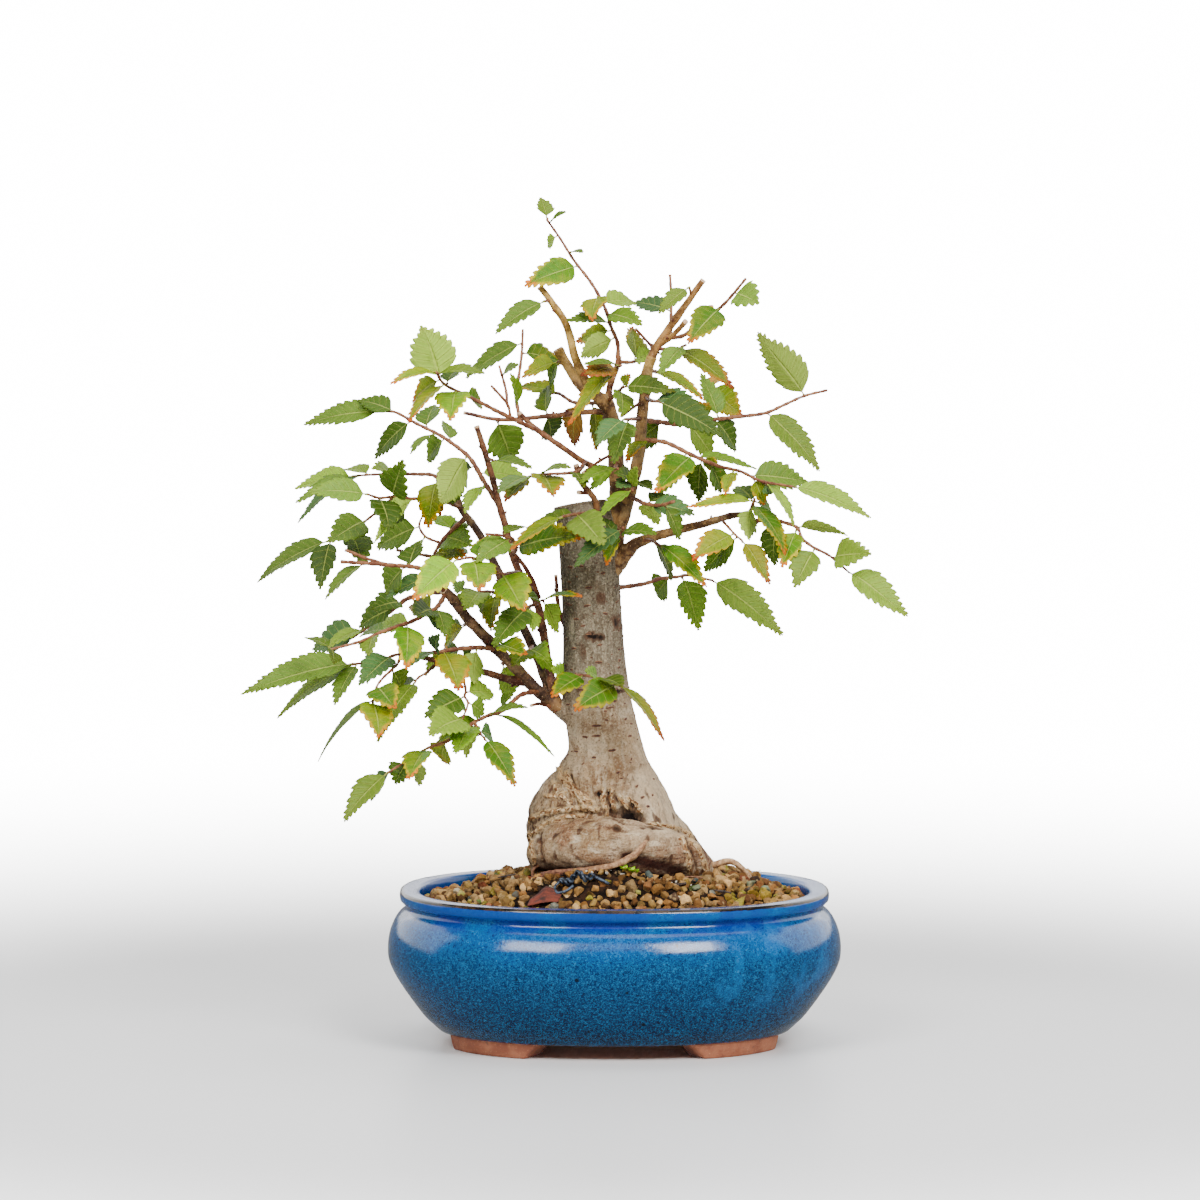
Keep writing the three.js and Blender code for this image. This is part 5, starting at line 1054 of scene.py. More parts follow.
def branch_bark():
    g = Graph("branch_bark")
    young, fresh, bud_share = g.parts(g.field("twig")[0])
    patch = g.noise(170, 4, 0.65)
    fibre = g.noise(520, 4, 0.7)
    x, _, z = g.axes()
    old = g.blend(patch, 0.4, 0.62, (78, 50, 24), (150, 112, 64))
    old = g.over(old, g.blend(patch, 0.4, 0.62, (58, 36, 22), (110, 78, 52)), x, -0.002, -0.014)
    old = g.over(old, (168, 138, 94), g.noise(90, 3, 0.6), 0.52, 0.64, 0.4)
    old = g.over(old, g.blend(patch, 0.4, 0.62, (126, 92, 30), (190, 152, 72)), z, 0.285, 0.312, 0.85)
    base = g.lay(old, g.blend(patch, 0.38, 0.62, (82, 38, 24), (138, 82, 52)), young)
    base = g.over(base, (196, 164, 128), g.cells(700), 0.2, 0.12, 0.55)
    base = g.lay(base, (84, 36, 26), bud_share, 0.8)
    base = g.over(base, g.blend(fibre, 0.4, 0.6, (206, 160, 118), (228, 192, 152)), fresh, 0.4, 0.7)
    return g.finish(base, 0.62, (fibre, 0.0005, 0.6), spec=0.35)


def root_skin():
    g = Graph("root_skin")
    red, _, _ = g.parts(g.field("strand")[0])
    x, _, _ = g.axes()
    fibre = g.noise(500, 4, 0.7)
    pale = g.blend(fibre, 0.4, 0.62, (132, 94, 62), (186, 150, 110))
    reddish = g.blend(fibre, 0.4, 0.62, (92, 44, 32), (128, 74, 52))
    share = g.math("ADD", red, g.times(g.step(x, 0.012, -0.004), 0.55), clamp=True)
    return g.finish(g.mix(share, pale, reddish), 0.75, (fibre, 0.0006, 0.7))


bark_tree = trunk()
branches()
roots()


# Soil and gravel


SOIL_SIDES = 150
SOIL_WALL = [(60, 14.0), (73.3, 14.0), (90.65, 33), (92.25, 46), (86.65, 60), (86.3, 62.2)]
GRAVEL_COLOURS = [
    (175, 128, 69), (196, 151, 90), (148, 103, 51), (129, 86, 43), (209, 167, 108), (165, 112, 57),
    (152, 117, 62), (184, 135, 75), (112, 76, 39), (201, 157, 100), (167, 131, 69), (144, 95, 54),
    (182, 140, 85), (160, 121, 72),
]
ODD_COLOURS = [
    (224, 206, 168), (122, 130, 100), (112, 112, 100), (78, 58, 44), (158, 88, 54), (166, 160, 78),
]
PEAT_COLOURS = [(34, 22, 16), (58, 38, 26), (78, 52, 34), (26, 20, 18)]
CRUST_COLOURS = [
    (222, 190, 144), (204, 166, 120), (188, 148, 104), (232, 206, 166), (158, 116, 78), (116, 78, 48),
]
# Gravel in layers: tries, and the smallest and largest reach of a grain.
GRAVEL_LAYERS = [(12000, (1.9, 3.7)), (2600, (1.6, 3.3))]
GRAVEL_FORMS = 14
GRAVEL_EDGE = 86.5
# How near grains lie, as a share of their reaches together, and the cells in which they are sought.
GRAVEL_PACKING = 0.76
GRAVEL_CELL = 5.0
# The patch in front of the roots that has peat instead of gravel.
PEAT_PLACE = (5, -34)
PEAT_SPREAD = (34, 8.5)
PEAT_CRUMBS = 900
CRUST_PER_MM = 3.8
# Places x, z of the front view, with a size.
WHITE_GRAINS = [(3.4, 73.6, 1.4), (-3.5, 74.4, 1.1), (21.6, 73.2, 1.2), (27, 73.5, 1.2), (60, 70, 1.4)]
GREY_GRAINS = [(15.5, 73.2, 2.6), (-27, 64.5, 2.2), (36, 71, 2.0), (-23, 64, 1.6)]
STICKS = [((12, 65.5), (32, 69), 1.1), ((24, 66.5), (29, 64), 0.7), ((-52, 71.5), (-44, 73), 0.5),
          ((44, 66), (52, 64.6), 0.6)]
SPROUTS = [(-1.5, 80.4, 3.6), (0.6, 79, 2.8), (4.6, 77.6, 3.2), (7.8, 76.8, 3.2), (9.6, 76.4, 2.4)]


def soil_ground():
    rings = SOIL_WALL + [(86.3 - 2.4 * i, None) for i in range(1, 25)]
    points = []
    for half, z in rings:
        for i in range(SOIL_SIDES):
            x, y = oval(half, FULL_TURN * i / SOIL_SIDES)
            rough = noise.noise(Vector((x * 0.35, y * 0.35, 2.0)))
            points.append((x, y, soil_height(x, y) - 1.6 + 0.9 * rough if z is None else z))
    shape = Shape()
    shape.add(points, loft(len(rings), SOIL_SIDES))
    piece(shape.build("soil_ground", [finish("dark_peat")]), "gravel", "soil")


def stone_form(seed, corners=14, worn=True):
    """An angular grain: the hull of a few points round a stretched ball, with its edges worn."""
    source = random.Random(seed)
    hull = bmesh.new()
    stretch = Vector((1.08, source.uniform(0.75, 1.0), source.uniform(0.62, 0.9)))
    for _ in range(corners):
        p = Vector([source.gauss(0, 1) for _ in range(3)]).normalized() * source.uniform(0.92, 1.12)
        hull.verts.new(p * stretch)
    made = bmesh.ops.convex_hull(hull, input=hull.verts)
    bmesh.ops.delete(hull, geom=made["geom_interior"], context="VERTS")
    if worn:
        bmesh.ops.bevel(hull, geom=hull.edges[:], offset=0.07, segments=1, affect="EDGES")
    bmesh.ops.recalc_face_normals(hull, faces=hull.faces)
    hull.verts.index_update()
    points = [v.co.copy() for v in hull.verts]
    faces = [tuple(v.index for v in face.verts) for face in hull.faces]
    hull.free()
    return points, faces


def gravel():
    forms = [stone_form(seed) for seed in range(GRAVEL_FORMS)]
    shape = Shape()
    taken = {}

    def cell(x, y):
        return int(x // GRAVEL_CELL), int(y // GRAVEL_CELL)

    def free(x, y, reach):
        i, j = cell(x, y)
        around = [(a, b) for a in (i - 1, i, i + 1) for b in (j - 1, j, j + 1)]
        return all(math.hypot(x - other_x, y - other_y) >= (reach + other) * GRAVEL_PACKING
                   for key in around for other_x, other_y, other in taken.get(key, ()))

    def rooted(x, y):
        near_trunk = math.hypot((x - 3) / 36, (y + 2) / 33) < 1
        return near_trunk and not (y < -31 and x < 30)

    def on_peat(x, y):
        return math.hypot((x - PEAT_PLACE[0]) / PEAT_SPREAD[0], (y - PEAT_PLACE[1]) / PEAT_SPREAD[1]) < 1

    for layer, (tries, sizes) in enumerate(GRAVEL_LAYERS):
        taken.clear()
        for _ in range(tries):
            angle = rng.uniform(0, FULL_TURN)
            share = math.sqrt(rng.uniform(0.12, 1))
            x, y = oval(GRAVEL_EDGE - 2, angle)
            x, y = x * share, y * share
            reach = rng.uniform(*sizes) * (0.8 if rng.random() < 0.25 else 1)
            if rooted(x, y) or on_peat(x, y) and rng.random() < 0.93 or not free(x, y, reach):
                continue
            if math.hypot(x, y) > math.hypot(*oval(GRAVEL_EDGE - reach, angle)):
                continue
            taken.setdefault(cell(x, y), []).append((x, y, reach))
            height = soil_height(x, y) - 0.9 + 0.45 * reach * (layer * 1.1 + rng.uniform(-0.25, 0.35))
            height += 0.9 * min(max((share - 0.8) / 0.15, 0), 1)
            under_wire = -40 < x < 4 and -57 < y < -44
            height -= (1.1 + layer) * under_wire
            pebble(shape, rng.choice(forms), Vector((x, y, height)), reach)
    piece(shape.build("gravel", [finish("gravel_stone")], smooth=False), "gravel")


def pebble(shape, form, centre, reach, colour=None):
    points, faces = form
    turn = Matrix.Rotation(rng.uniform(0, 6.28), 3, "Z") @ Matrix.Rotation(rng.gauss(0, 0.5), 3, "X")
    turn = turn @ Matrix.Rotation(rng.gauss(0, 0.5), 3, "Y")
    green = noise.noise(Vector((centre.x * 0.06, centre.y * 0.06, 4.0))) > 0.22 and rng.random() < 0.35
    tint = colour or rng.choice(ODD_COLOURS if rng.random() < 0.08 else GRAVEL_COLOURS)
    shade = rng.uniform(0.64, 1.14)
    tint = [min(255, c * shade) for c in tint]
    if green and colour is None:
        tint = [tint[0] * 0.92, tint[1] * 1.08, tint[2] * 0.7]
    shape.add([centre + turn @ p * reach for p in points], faces, stone=rgb(tint))


def on_soil(x, z, lift):
    """The place that the front view shows at x, z, with a lift off the soil."""
    y = -45.0
    for _ in range(12):
        p = at(x, z, y)
        y -= (soil_height(p.x, p.y) - p.z) * 3.0
        y = min(max(y, -68), -20)
    return at(x, z, y) + UP * lift


def litter():
    """Peat crumbs, white grains, dark sticks and sprouts in front of the roots."""
    forms = [stone_form(seed, corners=13, worn=False) for seed in range(30, 36)]
    crumbs = Shape()
    for _ in range(PEAT_CRUMBS):
        x = rng.gauss(3, 14)
        y = rng.gauss(-36, 3.2)
        reach = rng.uniform(0.35, 1.1)
        if y > -29:
            continue
        bit = Vector((x, y, soil_height(x, y) - 1.1 + rng.uniform(0, 1.0)))
        white = rng.random() < 0.07
        tint = (222, 216, 200) if white else rng.choice(PEAT_COLOURS)
        pebble(crumbs, rng.choice(forms), bit, reach * (0.8 if white else 1), tint)
    for form, grains, tint in ((0, WHITE_GRAINS, (226, 222, 208)), (1, GREY_GRAINS, (96, 108, 102))):
        for x, z, reach in grains:
            pebble(crumbs, forms[form], on_soil(x, z, 0.8), reach, tint)
    piece(crumbs.build("peat_crumbs", [finish("gravel_stone")]), "gravel")

    sticks = Shape()
    for (x0, z0), (x1, z1), radius in STICKS:
        start = on_soil(x0, z0, 1.6)
        end = on_soil(x1, z1, 1.6)
        rows = [(*start.lerp(end, t), radius * (1 - 0.5 * abs(2 * t - 1))) for t in np.linspace(0, 1, 14)]
        tube(sticks, rows, 8, 0.5, x0, strand=(0.9, 0.0, 0.0, 1.0))
    piece(sticks.build("dark_sticks", [finish("dark_stick")]), "gravel")

    sprouts = Shape()
    for x, z, size in SPROUTS:
        centre = on_soil(x, z - 2, 0.8)
        for turn in range(5):
            angle = turn * 1.26 + rng.uniform(-0.3, 0.3)
            along = Vector((math.cos(angle), math.sin(angle) - 0.5, 0.75)).normalized()
            leaflet(sprouts, centre, along, size)
    piece(sprouts.build("moss_sprouts", [finish("sprout_green")]), "leaf")


def leaflet(shape, centre, along, size):
    side = along.cross(UP).normalized()
    up = side.cross(along)
    points = []
    for i in range(6):
        t = i / 5
        half = size * 0.34 * math.sin(math.pi * min(t + 0.06, 0.98)) ** 0.8
        lift = size * 0.3 * t * t
        for across in (-1, 0, 1):
            points.append(centre + along * size * t + side * half * across - up * lift * 0.5
                          + up * abs(across) * half * 0.35)
    faces = grid(6, 3)
    back = len(points)
    points += [p - up * 0.12 for p in points]
    faces += [tuple(back + v for v in reversed(face)) for face in faces]
    shape.add(points, faces)


def crust():
    """Corky crumbs along the callus ridges, laid on the bark."""
    forms = [stone_form(seed, corners=13, worn=False) for seed in range(40, 46)]
    shape = Shape()
    for rise, width, _, fibre, *line in RIDGES:
        if rise < 0 or fibre < 0.7:
            continue
        for (ax, az), (bx, bz) in zip(line, line[1:]):
            length = math.hypot(bx - ax, bz - az)
            for _ in range(round(length * CRUST_PER_MM)):
                t = rng.random()
                off = rng.gauss(0, 0.5 * width)
                x = ax + (bx - ax) * t - (bz - az) / length * off
                z = az + (bz - az) * t + (bx - ax) / length * off
                place, normal = meets(bark_tree, VIEW, at(x, z, -60))
                ahead, _ = meets(bark_tree, VIEW, at(x + (bx - ax) * 0.1, z + (bz - az) * 0.1, -60))
                if place is None or ahead is None or (ahead - place).length > 3 * MM:
                    continue
                crumb(shape, rng.choice(forms), place / MM - SHIFT, normal, (ahead - place).normalized())
    piece(shape.build("callus_crust", [finish("callus_crust")], smooth=False), "bark")


def crumb(shape, form, centre, normal, along):
    points, faces = form
    along.rotate(Matrix.Rotation(rng.gauss(0, 0.35), 3, normal))
    side = normal.cross(along).normalized()
    size = rng.uniform(0.35, 0.95)
    length = size * rng.uniform(1.0, 2.0)
    tint = rng.choice(CRUST_COLOURS)
    shape.add([centre + along * p.x * length + side * p.y * size * 0.8 + normal * (p.z * size * 0.7 + 0.1)
               for p in points], faces, stone=rgb(tint))


soil_ground()
gravel()
litter()
crust()


# Tie wire, bark flake and drain screens


# x, y and height over the soil.
WIRE = [
    (-24, -46.5, 1.55), (-20, -48.5, 1.85), (-16, -46, 1.95), (-13, -48.5, 2.05), (-9, -47.5, 1.65),
    (-5.5, -48.6, 1.35), (-2.5, -50, 1.35),
]
WIRE_LOOP = [(-24, -46.5), (-26, -48), (-25, -51), (-21, -51), (-18, -49.5)]
FLAKE = [(-37, -50), (-30, -47), (-23, -51.5), (-24.5, -55.5), (-32, -54.5), (-38, -53.5)]
FLAKE_SIDES = 48
FLAKE_RINGS = 7
SCREEN_CELL = 0.9


def tie_wire():
    shape = Shape()
    spine = curve([(x, y, soil_height(x, y) + up, 0.0) for x, y, up in WIRE], 0.45)
    twisted = [row for row in spine if row[0] < -8.5]
    tail = [row for row in spine if row[0] >= -9.0]
    for phase in (0, math.pi):
        rows = []
        for i, row in enumerate(twisted):
            centre = Vector(row[:3]) + UP * 0.7
            angle = i * 0.52 + phase
            fade = min(i / 6, 1) * min((len(twisted) - 1 - i) / 5, 1)
            swing = 1.25 * (0.35 + 0.65 * fade)
            rows.append((centre.x + 0.2 * math.sin(angle * 0.5), centre.y + swing * math.cos(angle),
                         centre.z + swing * math.sin(angle), 0.66))
        tube(shape, rows, 10)
    tube(shape, [(*row[:3], 0.72 - 0.003 * i) for i, row in enumerate(tail)], 10)
    tube(shape, curve([(x, y, soil_height(x, y) + 1.6, 0.6) for x, y in WIRE_LOOP], 0.6), 10)
    piece(shape.build("twisted_wire", [finish("coated_wire")]), "wire", "tie_wire")


def bark_flake():
    sides = FLAKE_SIDES
    rings = FLAKE_RINGS
    count = len(FLAKE)
    centre = Vector((sum(x for x, _ in FLAKE) / count, sum(y for _, y in FLAKE) / count, 0))
    outline = []
    for i in range(sides):
        share = i / sides * count
        a, b = FLAKE[int(share)], FLAKE[(int(share) + 1) % count]
        t = share - int(share)
        outline.append(Vector((a[0] + (b[0] - a[0]) * t, a[1] + (b[1] - a[1]) * t, 0)))
    points = []
    for layer in (1, -1):
        for r in range(rings, 0, -1) if layer > 0 else range(1, rings + 1):
            for edge in outline:
                p = centre.lerp(edge, r / rings)
                rag = noise.noise(Vector((p.x * 0.5, p.y * 0.5, 1.0)))
                if r == rings:
                    p = p + (p - centre) * 0.06 * rag
                height = soil_height(p.x, p.y) + 1.7 + 0.5 * rag + 0.4 * math.cos((p.x + 30) * 0.35)
                points.append((p.x, p.y, height + layer * 0.35 * (1 - 0.5 * (r / rings) ** 4)))
    half = rings * sides
    sheet = loft(rings, sides, caps=False)
    faces = sheet + [tuple(half + v for v in face) for face in sheet]
    faces += [tuple(range(half - sides, half)), tuple(reversed(range(half, half + sides)))]
    end = 2 * half - sides
    faces += [(s, end + s, end + (s + 1) % sides, (s + 1) % sides) for s in range(sides)]
    shape = Shape()
    shape.add(points, faces)
    piece(shape.build("loose_bark", [finish("loose_bark")]), "flake", "bark_flake")


def screen_mesh():
    g = Graph("drain_mesh")
    x, y, _ = g.axes()
    across = g.math("PINGPONG", g.times(x, 1000), SCREEN_CELL)
    along = g.math("PINGPONG", g.times(y, 1000), SCREEN_CELL)
    threads = g.math("MINIMUM", across, along)
    # Painted shade: the cells between the threads are near black, for the openings.
    base = g.blend(threads, 0.28, 0.4, (58, 60, 58), (10, 10, 10))
    base = g.over(base, (84, 66, 44), g.noise(300, 3, 0.6), 0.5, 0.7, 0.5)
    return g.finish(base, 0.6, (threads, 0.0005, 0.8))


tie_wire()
bark_flake()
screen_look = screen_mesh()
for name in ("drain_screen_left", "drain_screen_right"):
    screen = frame["nodes"][name].data
    screen.materials.clear()
    screen.materials.append(screen_look)


# Leafy shoots


PETIOLE = 2.2
FOLD = 0.26
BOW = 0.055
LEAF_THICKNESS = 0.16
# Half width of a blade along its length, from its rounded base to its drawn-out tip.
LEAF_PLACES = (0.0, 0.03, 0.08, 0.16, 0.26, 0.36, 0.46, 0.56, 0.66, 0.76, 0.86, 0.94, 1.0)
LEAF_WIDTHS = (0.06, 0.42, 0.72, 0.92, 1.0, 0.98, 0.9, 0.78, 0.61, 0.41, 0.2, 0.08, 0.0)
# Each tooth is four columns of points wide, and a blade has four rows at each side of its midrib.
TOOTH = (0.0, 0.62, 0.9, 1.0)
TOOTH_LENGTH = 3.1
# How far a tooth juts, and how much more for each millimetre of the blade's width.
TOOTH_REACH = 0.42
TOOTH_GROWTH = 0.048
HALF_ROWS = 4
# Leaf colours: blade, edge and tip. The autumn ones have a wider rim.
TONES = {
    "m": ((114, 146, 46), (136, 160, 52), (144, 152, 54)),
    "d": ((88, 126, 70), (108, 138, 70), (120, 138, 64)),
    "k": ((84, 114, 30), (104, 128, 36), (120, 132, 40)),
    "l": ((150, 180, 54), (168, 190, 66), (176, 180, 62)),
    "b": ((130, 170, 28), (154, 186, 36), (166, 176, 40)),
    "e": ((92, 140, 8), (218, 190, 0), (240, 118, 0)),
    "y": ((142, 166, 4), (228, 176, 0), (238, 112, 4)),
    "o": ((138, 156, 24), (220, 146, 14), (190, 70, 20)),
    "r": ((196, 146, 60), (208, 104, 44), (150, 58, 30)),
    "p": ((178, 202, 82), (190, 208, 92), (194, 198, 88)),
    "g": ((132, 166, 86), (148, 176, 92), (156, 170, 88)),
    "v": ((96, 122, 24), (122, 132, 30), (146, 122, 34)),
    "s": ((138, 182, 6), (226, 208, 0), (240, 122, 24)),
}
AUTUMN = "eyors"

# Shoots: a tone letter for each leaf, stems as start and end radius and then points x, z, y of the
# front view, and leaves as the base x, z, the tip x, z, the width and the facing.
SHOOTS = {
    "crown_tip": ("lklmeylbkyp", [
        (0.9, 0.45, (1, 299, 0), (1.5, 310, -2), (-1.5, 318, -3), (-4.5, 327, -3), (-10, 337, -2),
         (-18, 347.5, 0), (-24, 357, 1), (-30, 365.5, 2))], [
        (-29.8, 365, -32.5, 375, 8, 0.9), (-28.5, 364, -21.5, 368.5, 6, 0.35),
        (-25, 358.5, -29.5, 353.5, 6, 0.8), (-20.3, 350.5, -14, 350.7, 5, 0.35),
        (-16, 345, -39.7, 336, 14, 0.95), (-6.5, 332, -9.5, 320.5, 12, 0.9),
        (-4.5, 329, 9.5, 328.3, 12, 0.65), (-3, 324, 12, 318.5, 11, 0.8), (-2, 320, -21, 320.5, 11, 0.5),
        (-1, 316.5, -17, 311.5, 10, 0.85), (0.5, 313.3, -14.8, 304.6, 11, -0.9)]),
    "high_left_spur": ("m", [
        (0.7, 0.5, (-28.5, 329.5, -6), (-31, 329.3, -11))], [
        (-31, 329.3, -52.5, 314.8, 12, 0.75)]),
    "left_riser": ("meb", [
        (0.8, 0.45, (-42, 277.8, 13), (-43.5, 287, 18), (-42.3, 296, 22), (-41, 306, 25),
         (-40.5, 317, 28))], [
        (-41.3, 311, -65.8, 295.5, 12, 0.7), (-41, 306.5, -22.5, 302.3, 12, 0.75),
        (-43.2, 283, -46, 297.5, 9, 0.5)]),
    "right_riser": ("d", [
        (0.8, 0.5, (22, 312.5, -3), (24.6, 315, 4), (25, 330, 10), (24.5, 341, 13))], [
        (24.8, 325, 8, 328.8, 11, 0.75)]),
    "high_right_spur": ("l", [
        (0.6, 0.45, (34, 332, -5), (33, 335.5, -10))], [
        (33, 335.5, 19.5, 324, 9, 0.8)]),
    "high_right": ("meo", [
        (0.9, 0.5, (22, 313.5, -3), (30, 314, -12), (40, 321, -21), (47.3, 327, -28), (52, 332, -32),
         (58, 339.3, -37))], [
        (53, 333, 63.6, 328, 14, 0.95), (46.5, 326.5, 32.5, 310.5, 15, 0.95),
        (38, 319.5, 42, 327.5, 9, 0.75)]),
    "back_crown": ("yl", [
        (0.8, 0.5, (2, 302.5, 0), (8, 302.5, 9), (15, 305, 22))], [
        (9, 302.7, 8, 318, 12, 0.8), (8, 302.5, 18, 307, 9, 0.8)]),
    "front_crown": ("yrm", [
        (0.8, 0.5, (0.5, 298.5, 0), (1, 300, -8), (3, 301, -18))], [
        (1.3, 300.3, -20.5, 274.5, 12, 0.6), (1, 300, -15, 296.5, 11, 0.8),
        (2.5, 300.7, -13.5, 301.5, 9, 0.3)]),
    "leader_front": ("vvo", [
        (0.8, 0.5, (-3, 285, 2), (1, 289, -10), (4, 291.5, -22))], [
        (2.5, 290.5, 3, 278.5, 11, 0.85), (4, 291.5, 27, 289.5, 12, 0.75), (3, 291, 7, 297, 6, 0.8)]),
    "right_front_high": ("mo", [
        (0.8, 0.5, (19.5, 308.5, -3), (26, 307.5, -18), (31.5, 310, -30))], [
        (31, 309.5, 19.5, 297, 11, 0.75), (28, 308, 52.5, 290.3, 13, 0.7)]),
    "right_back_high": ("yry", [
        (0.8, 0.45, (15, 299, -4), (19, 298, 9), (23, 297, 20), (31, 292, 34), (38, 287.8, 46),
         (42, 291, 52))], [
        (41, 290.3, 56.5, 279, 14, 0.95), (41.5, 290.7, 50, 298, 8, 0.6),
        (17.5, 298.2, 40, 285.3, 10, 0.5)]),
    "right_long": ("plmovlk", [
        (1, 0.5, (12, 277, -5), (20, 276, 4), (29, 275, 12), (43, 277, 20), (57, 278.5, 28), (67, 280, 33),
         (75, 283.5, 37), (84, 287.5, 41), (94, 290, 46))], [
        (84, 288, 63.5, 316, 17, -0.95), (67.5, 280, 90.6, 254, 14, 0.9), (46, 277.2, 38.5, 297.5, 11, 0.85),
        (41, 276.8, 36.5, 285.5, 8, 0.8), (21, 276, 10, 266.5, 14, 0.95), (32, 275.3, 44.5, 260.5, 13, 0.9),
        (44, 277, 54, 263.5, 12, 0.8)]),
    "right_front_mid": ("dk", [
        (0.9, 0.5, (14, 287, -5), (16, 285.5, -22), (19.5, 285, -42))], [
        (17, 285.4, 35.5, 285, 13, 0.55), (19.5, 285, 47.8, 268.8, 15, 0.95)]),
    "right_reach": ("epokkbmlyydlo", [
        (1, 0.45, (11.5, 268, -5), (20, 267.5, -8), (25, 266, -10), (35, 261, -14), (46, 256.5, -20),
         (56, 254, -26), (65, 249.8, -32), (79, 247.3, -40))], [
        (34.5, 261, 17.8, 244.8, 15, 0.9), (32, 262.3, 19.5, 242.8, 13, -0.85),
        (37, 260, 47, 252.3, 9, -0.6), (38.5, 259.3, 37, 240.8, 12, 0.85), (42, 258, 47, 244.5, 11, 0.8),
        (36, 260.6, 63, 255.3, 8, 0.5), (60, 252.3, 86, 249.5, 15, 0.85), (79, 247.3, 113.7, 233.6, 15, 0.6),
        (53, 254.7, 49.3, 243.7, 8, 0.8), (61, 251.7, 66.5, 239.3, 10, 0.85),
        (65.5, 249.7, 69.5, 243.8, 9, 0.8), (67, 249.4, 79.2, 229.7, 9, 0.5),
        (14, 267.8, 5.3, 258, 8, 0.7)]),
    "right_fork": ("ykepg", [
        (0.8, 0.5, (59.5, 235, -22), (61.5, 240, -27), (62, 242, -29))], [
        (61.8, 241, 32, 238.3, 9, 0.55), (61.6, 240.5, 54, 247.5, 13, 0.8),
        (61.5, 239.5, 75.2, 216.8, 11, 0.75), (61, 239, 59.7, 223.6, 11, -0.8),
        (62, 241, 69.8, 235.5, 8, 0.6)]),
    "right_far": ("peklll", [
        (0.9, 0.4, (62, 232, -22), (70, 232.5, -32), (80.5, 229.5, -40), (83, 224.5, -42), (88, 220.5, -45),
         (91, 219, -46), (96, 216.2, -48), (103.5, 209.7, -52))], [
        (80.5, 229.5, 103.3, 225.5, 9, -0.5), (81, 228.5, 74, 211.5, 12, 0.9),
        (72, 232, 71, 212.5, 12, 0.85), (89, 220, 79.8, 202.6, 14, 0.95), (96.5, 216, 113.8, 217.5, 15, 0.9),
        (103.5, 209.7, 130.3, 189.8, 15, 0.85)]),
    "right_hanging": ("oko", [
        (0.6, 0.4, (47, 233.2, -19), (49, 231, -26), (53.5, 226, -33), (56.5, 223.5, -37))], [
        (53, 226.5, 34.7, 214.3, 13, 0.85), (54.5, 225.2, 40, 209.8, 14, 0.85),
        (56.5, 223.5, 69, 204, 10, 0.85)]),
    "right_under": ("ev", [
        (0.8, 0.5, (13, 223.5, -8), (16, 223.5, -16), (20, 221.5, -26))], [
        (19.8, 221.6, 41, 202.8, 12, 0.75), (17.5, 222.8, 25.5, 206, 11, 0.55)]),
    "right_front_low": ("kdmp", [
        (0.9, 0.6, (6.5, 243, -4), (11, 241, -18), (13, 240, -28), (20, 239, -38), (26.5, 240.8, -46))], [
        (14, 239.8, 26.5, 243, 10, 0.5), (15, 239.6, 35.5, 234.8, 13, 0.75), (22, 239.3, 29, 223.8, 10, 0.7),
        (12, 240.5, 19.5, 230.5, 11, -0.8)]),
    "crotch_front": ("bdklm", [
        (0.8, 0.5, (8.5, 252, -5), (8, 248, -18), (8, 245.5, -30))], [
        (7.9, 246, -6.5, 233.8, 9, 0.55), (8, 248.5, 1, 247, 9, 0.6), (8.1, 249, 16.5, 245.8, 9, 0.5),
        (8, 247, 10, 256, 7, 0.8), (8, 249.7, 0, 253.5, 9, 0.7)]),
    "crotch_low": ("dkke", [
        (0.9, 0.5, (-1, 221, -5), (2, 226, -24), (3.8, 229, -40))], [
        (3.5, 228.5, -17.8, 211.8, 12, 0.75), (2.5, 226.8, 18.5, 226, 11, 0.55),
        (1.5, 225, -8, 234, 8, 0.45), (2, 226, -3.6, 212.5, 9, 0.7)]),
    "stump_front": ("ylv", [
        (0.9, 0.5, (-10, 234, -8), (-12, 235.5, -24), (-18, 235, -38), (-23, 234, -48))], [
        (-22.8, 234, -46.3, 219.3, 11, 0.5), (-17, 235.1, -4.5, 221.5, 17, 0.95),
        (-16.5, 235.1, -38.5, 228, 10, 0.45)]),
    "left_inner": ("emvp", [
        (0.8, 0.5, (-44.5, 218, -9), (-43.5, 219.8, -24), (-45, 224, -34), (-50, 225.7, -40),
         (-57, 226.3, -46))], [
        (-43.7, 220, -12.4, 225.3, 16, 0.85), (-46, 224.4, -61.5, 213.7, 13, 0.9),
        (-50, 225.7, -39, 229.3, 9, 0.4), (-44.4, 222.5, -49.5, 218, 6, 0.6)]),
    "left_front_mid": ("ssse", [
        (0.8, 0.45, (-42, 209.5, 2.5), (-46.5, 209, -14), (-50, 208.6, -28), (-56, 211.3, -36),
         (-62.5, 215.7, -44), (-70, 214.8, -52))], [
        (-50, 208.6, -39.8, 192, 18, 0.95), (-62.5, 215.6, -60.3, 201, 17, 0.95),
        (-70, 214.8, -89.8, 197.2, 18, 0.9), (-61.5, 215, -56, 225.8, 9, 0.65)]),
    "left_back_mid": ("mdbmyml", [
        (1, 0.5, (-66, 233.5, 19), (-74, 226, 26), (-77, 222.3, 30), (-80, 217, 35), (-80.5, 212.5, 39)),
        (0.6, 0.4, (-77, 222.3, 30), (-83.5, 225, 34), (-86.5, 229.8, 37), (-85, 234.5, 40)),
        (0.7, 0.6, (-79.7, 216.2, 36), (-88, 217.5, 42), (-96.5, 219.2, 47))], [
        (-75, 225, -63.5, 220.8, 16, 0.9), (-77.3, 222, -65.3, 219.3, 12, 0.6),
        (-72, 227.8, -79, 234.5, 10, 0.8), (-73, 227, -66.5, 231.5, 11, 0.8),
        (-79.5, 217.5, -65.5, 216.5, 12, 0.8), (-86.4, 229.7, -105.3, 220.3, 15, 0.85),
        (-83.7, 225.2, -91.8, 211.7, 8, 0.5)]),
    "left_long": ("mkkkmmmplkl", [
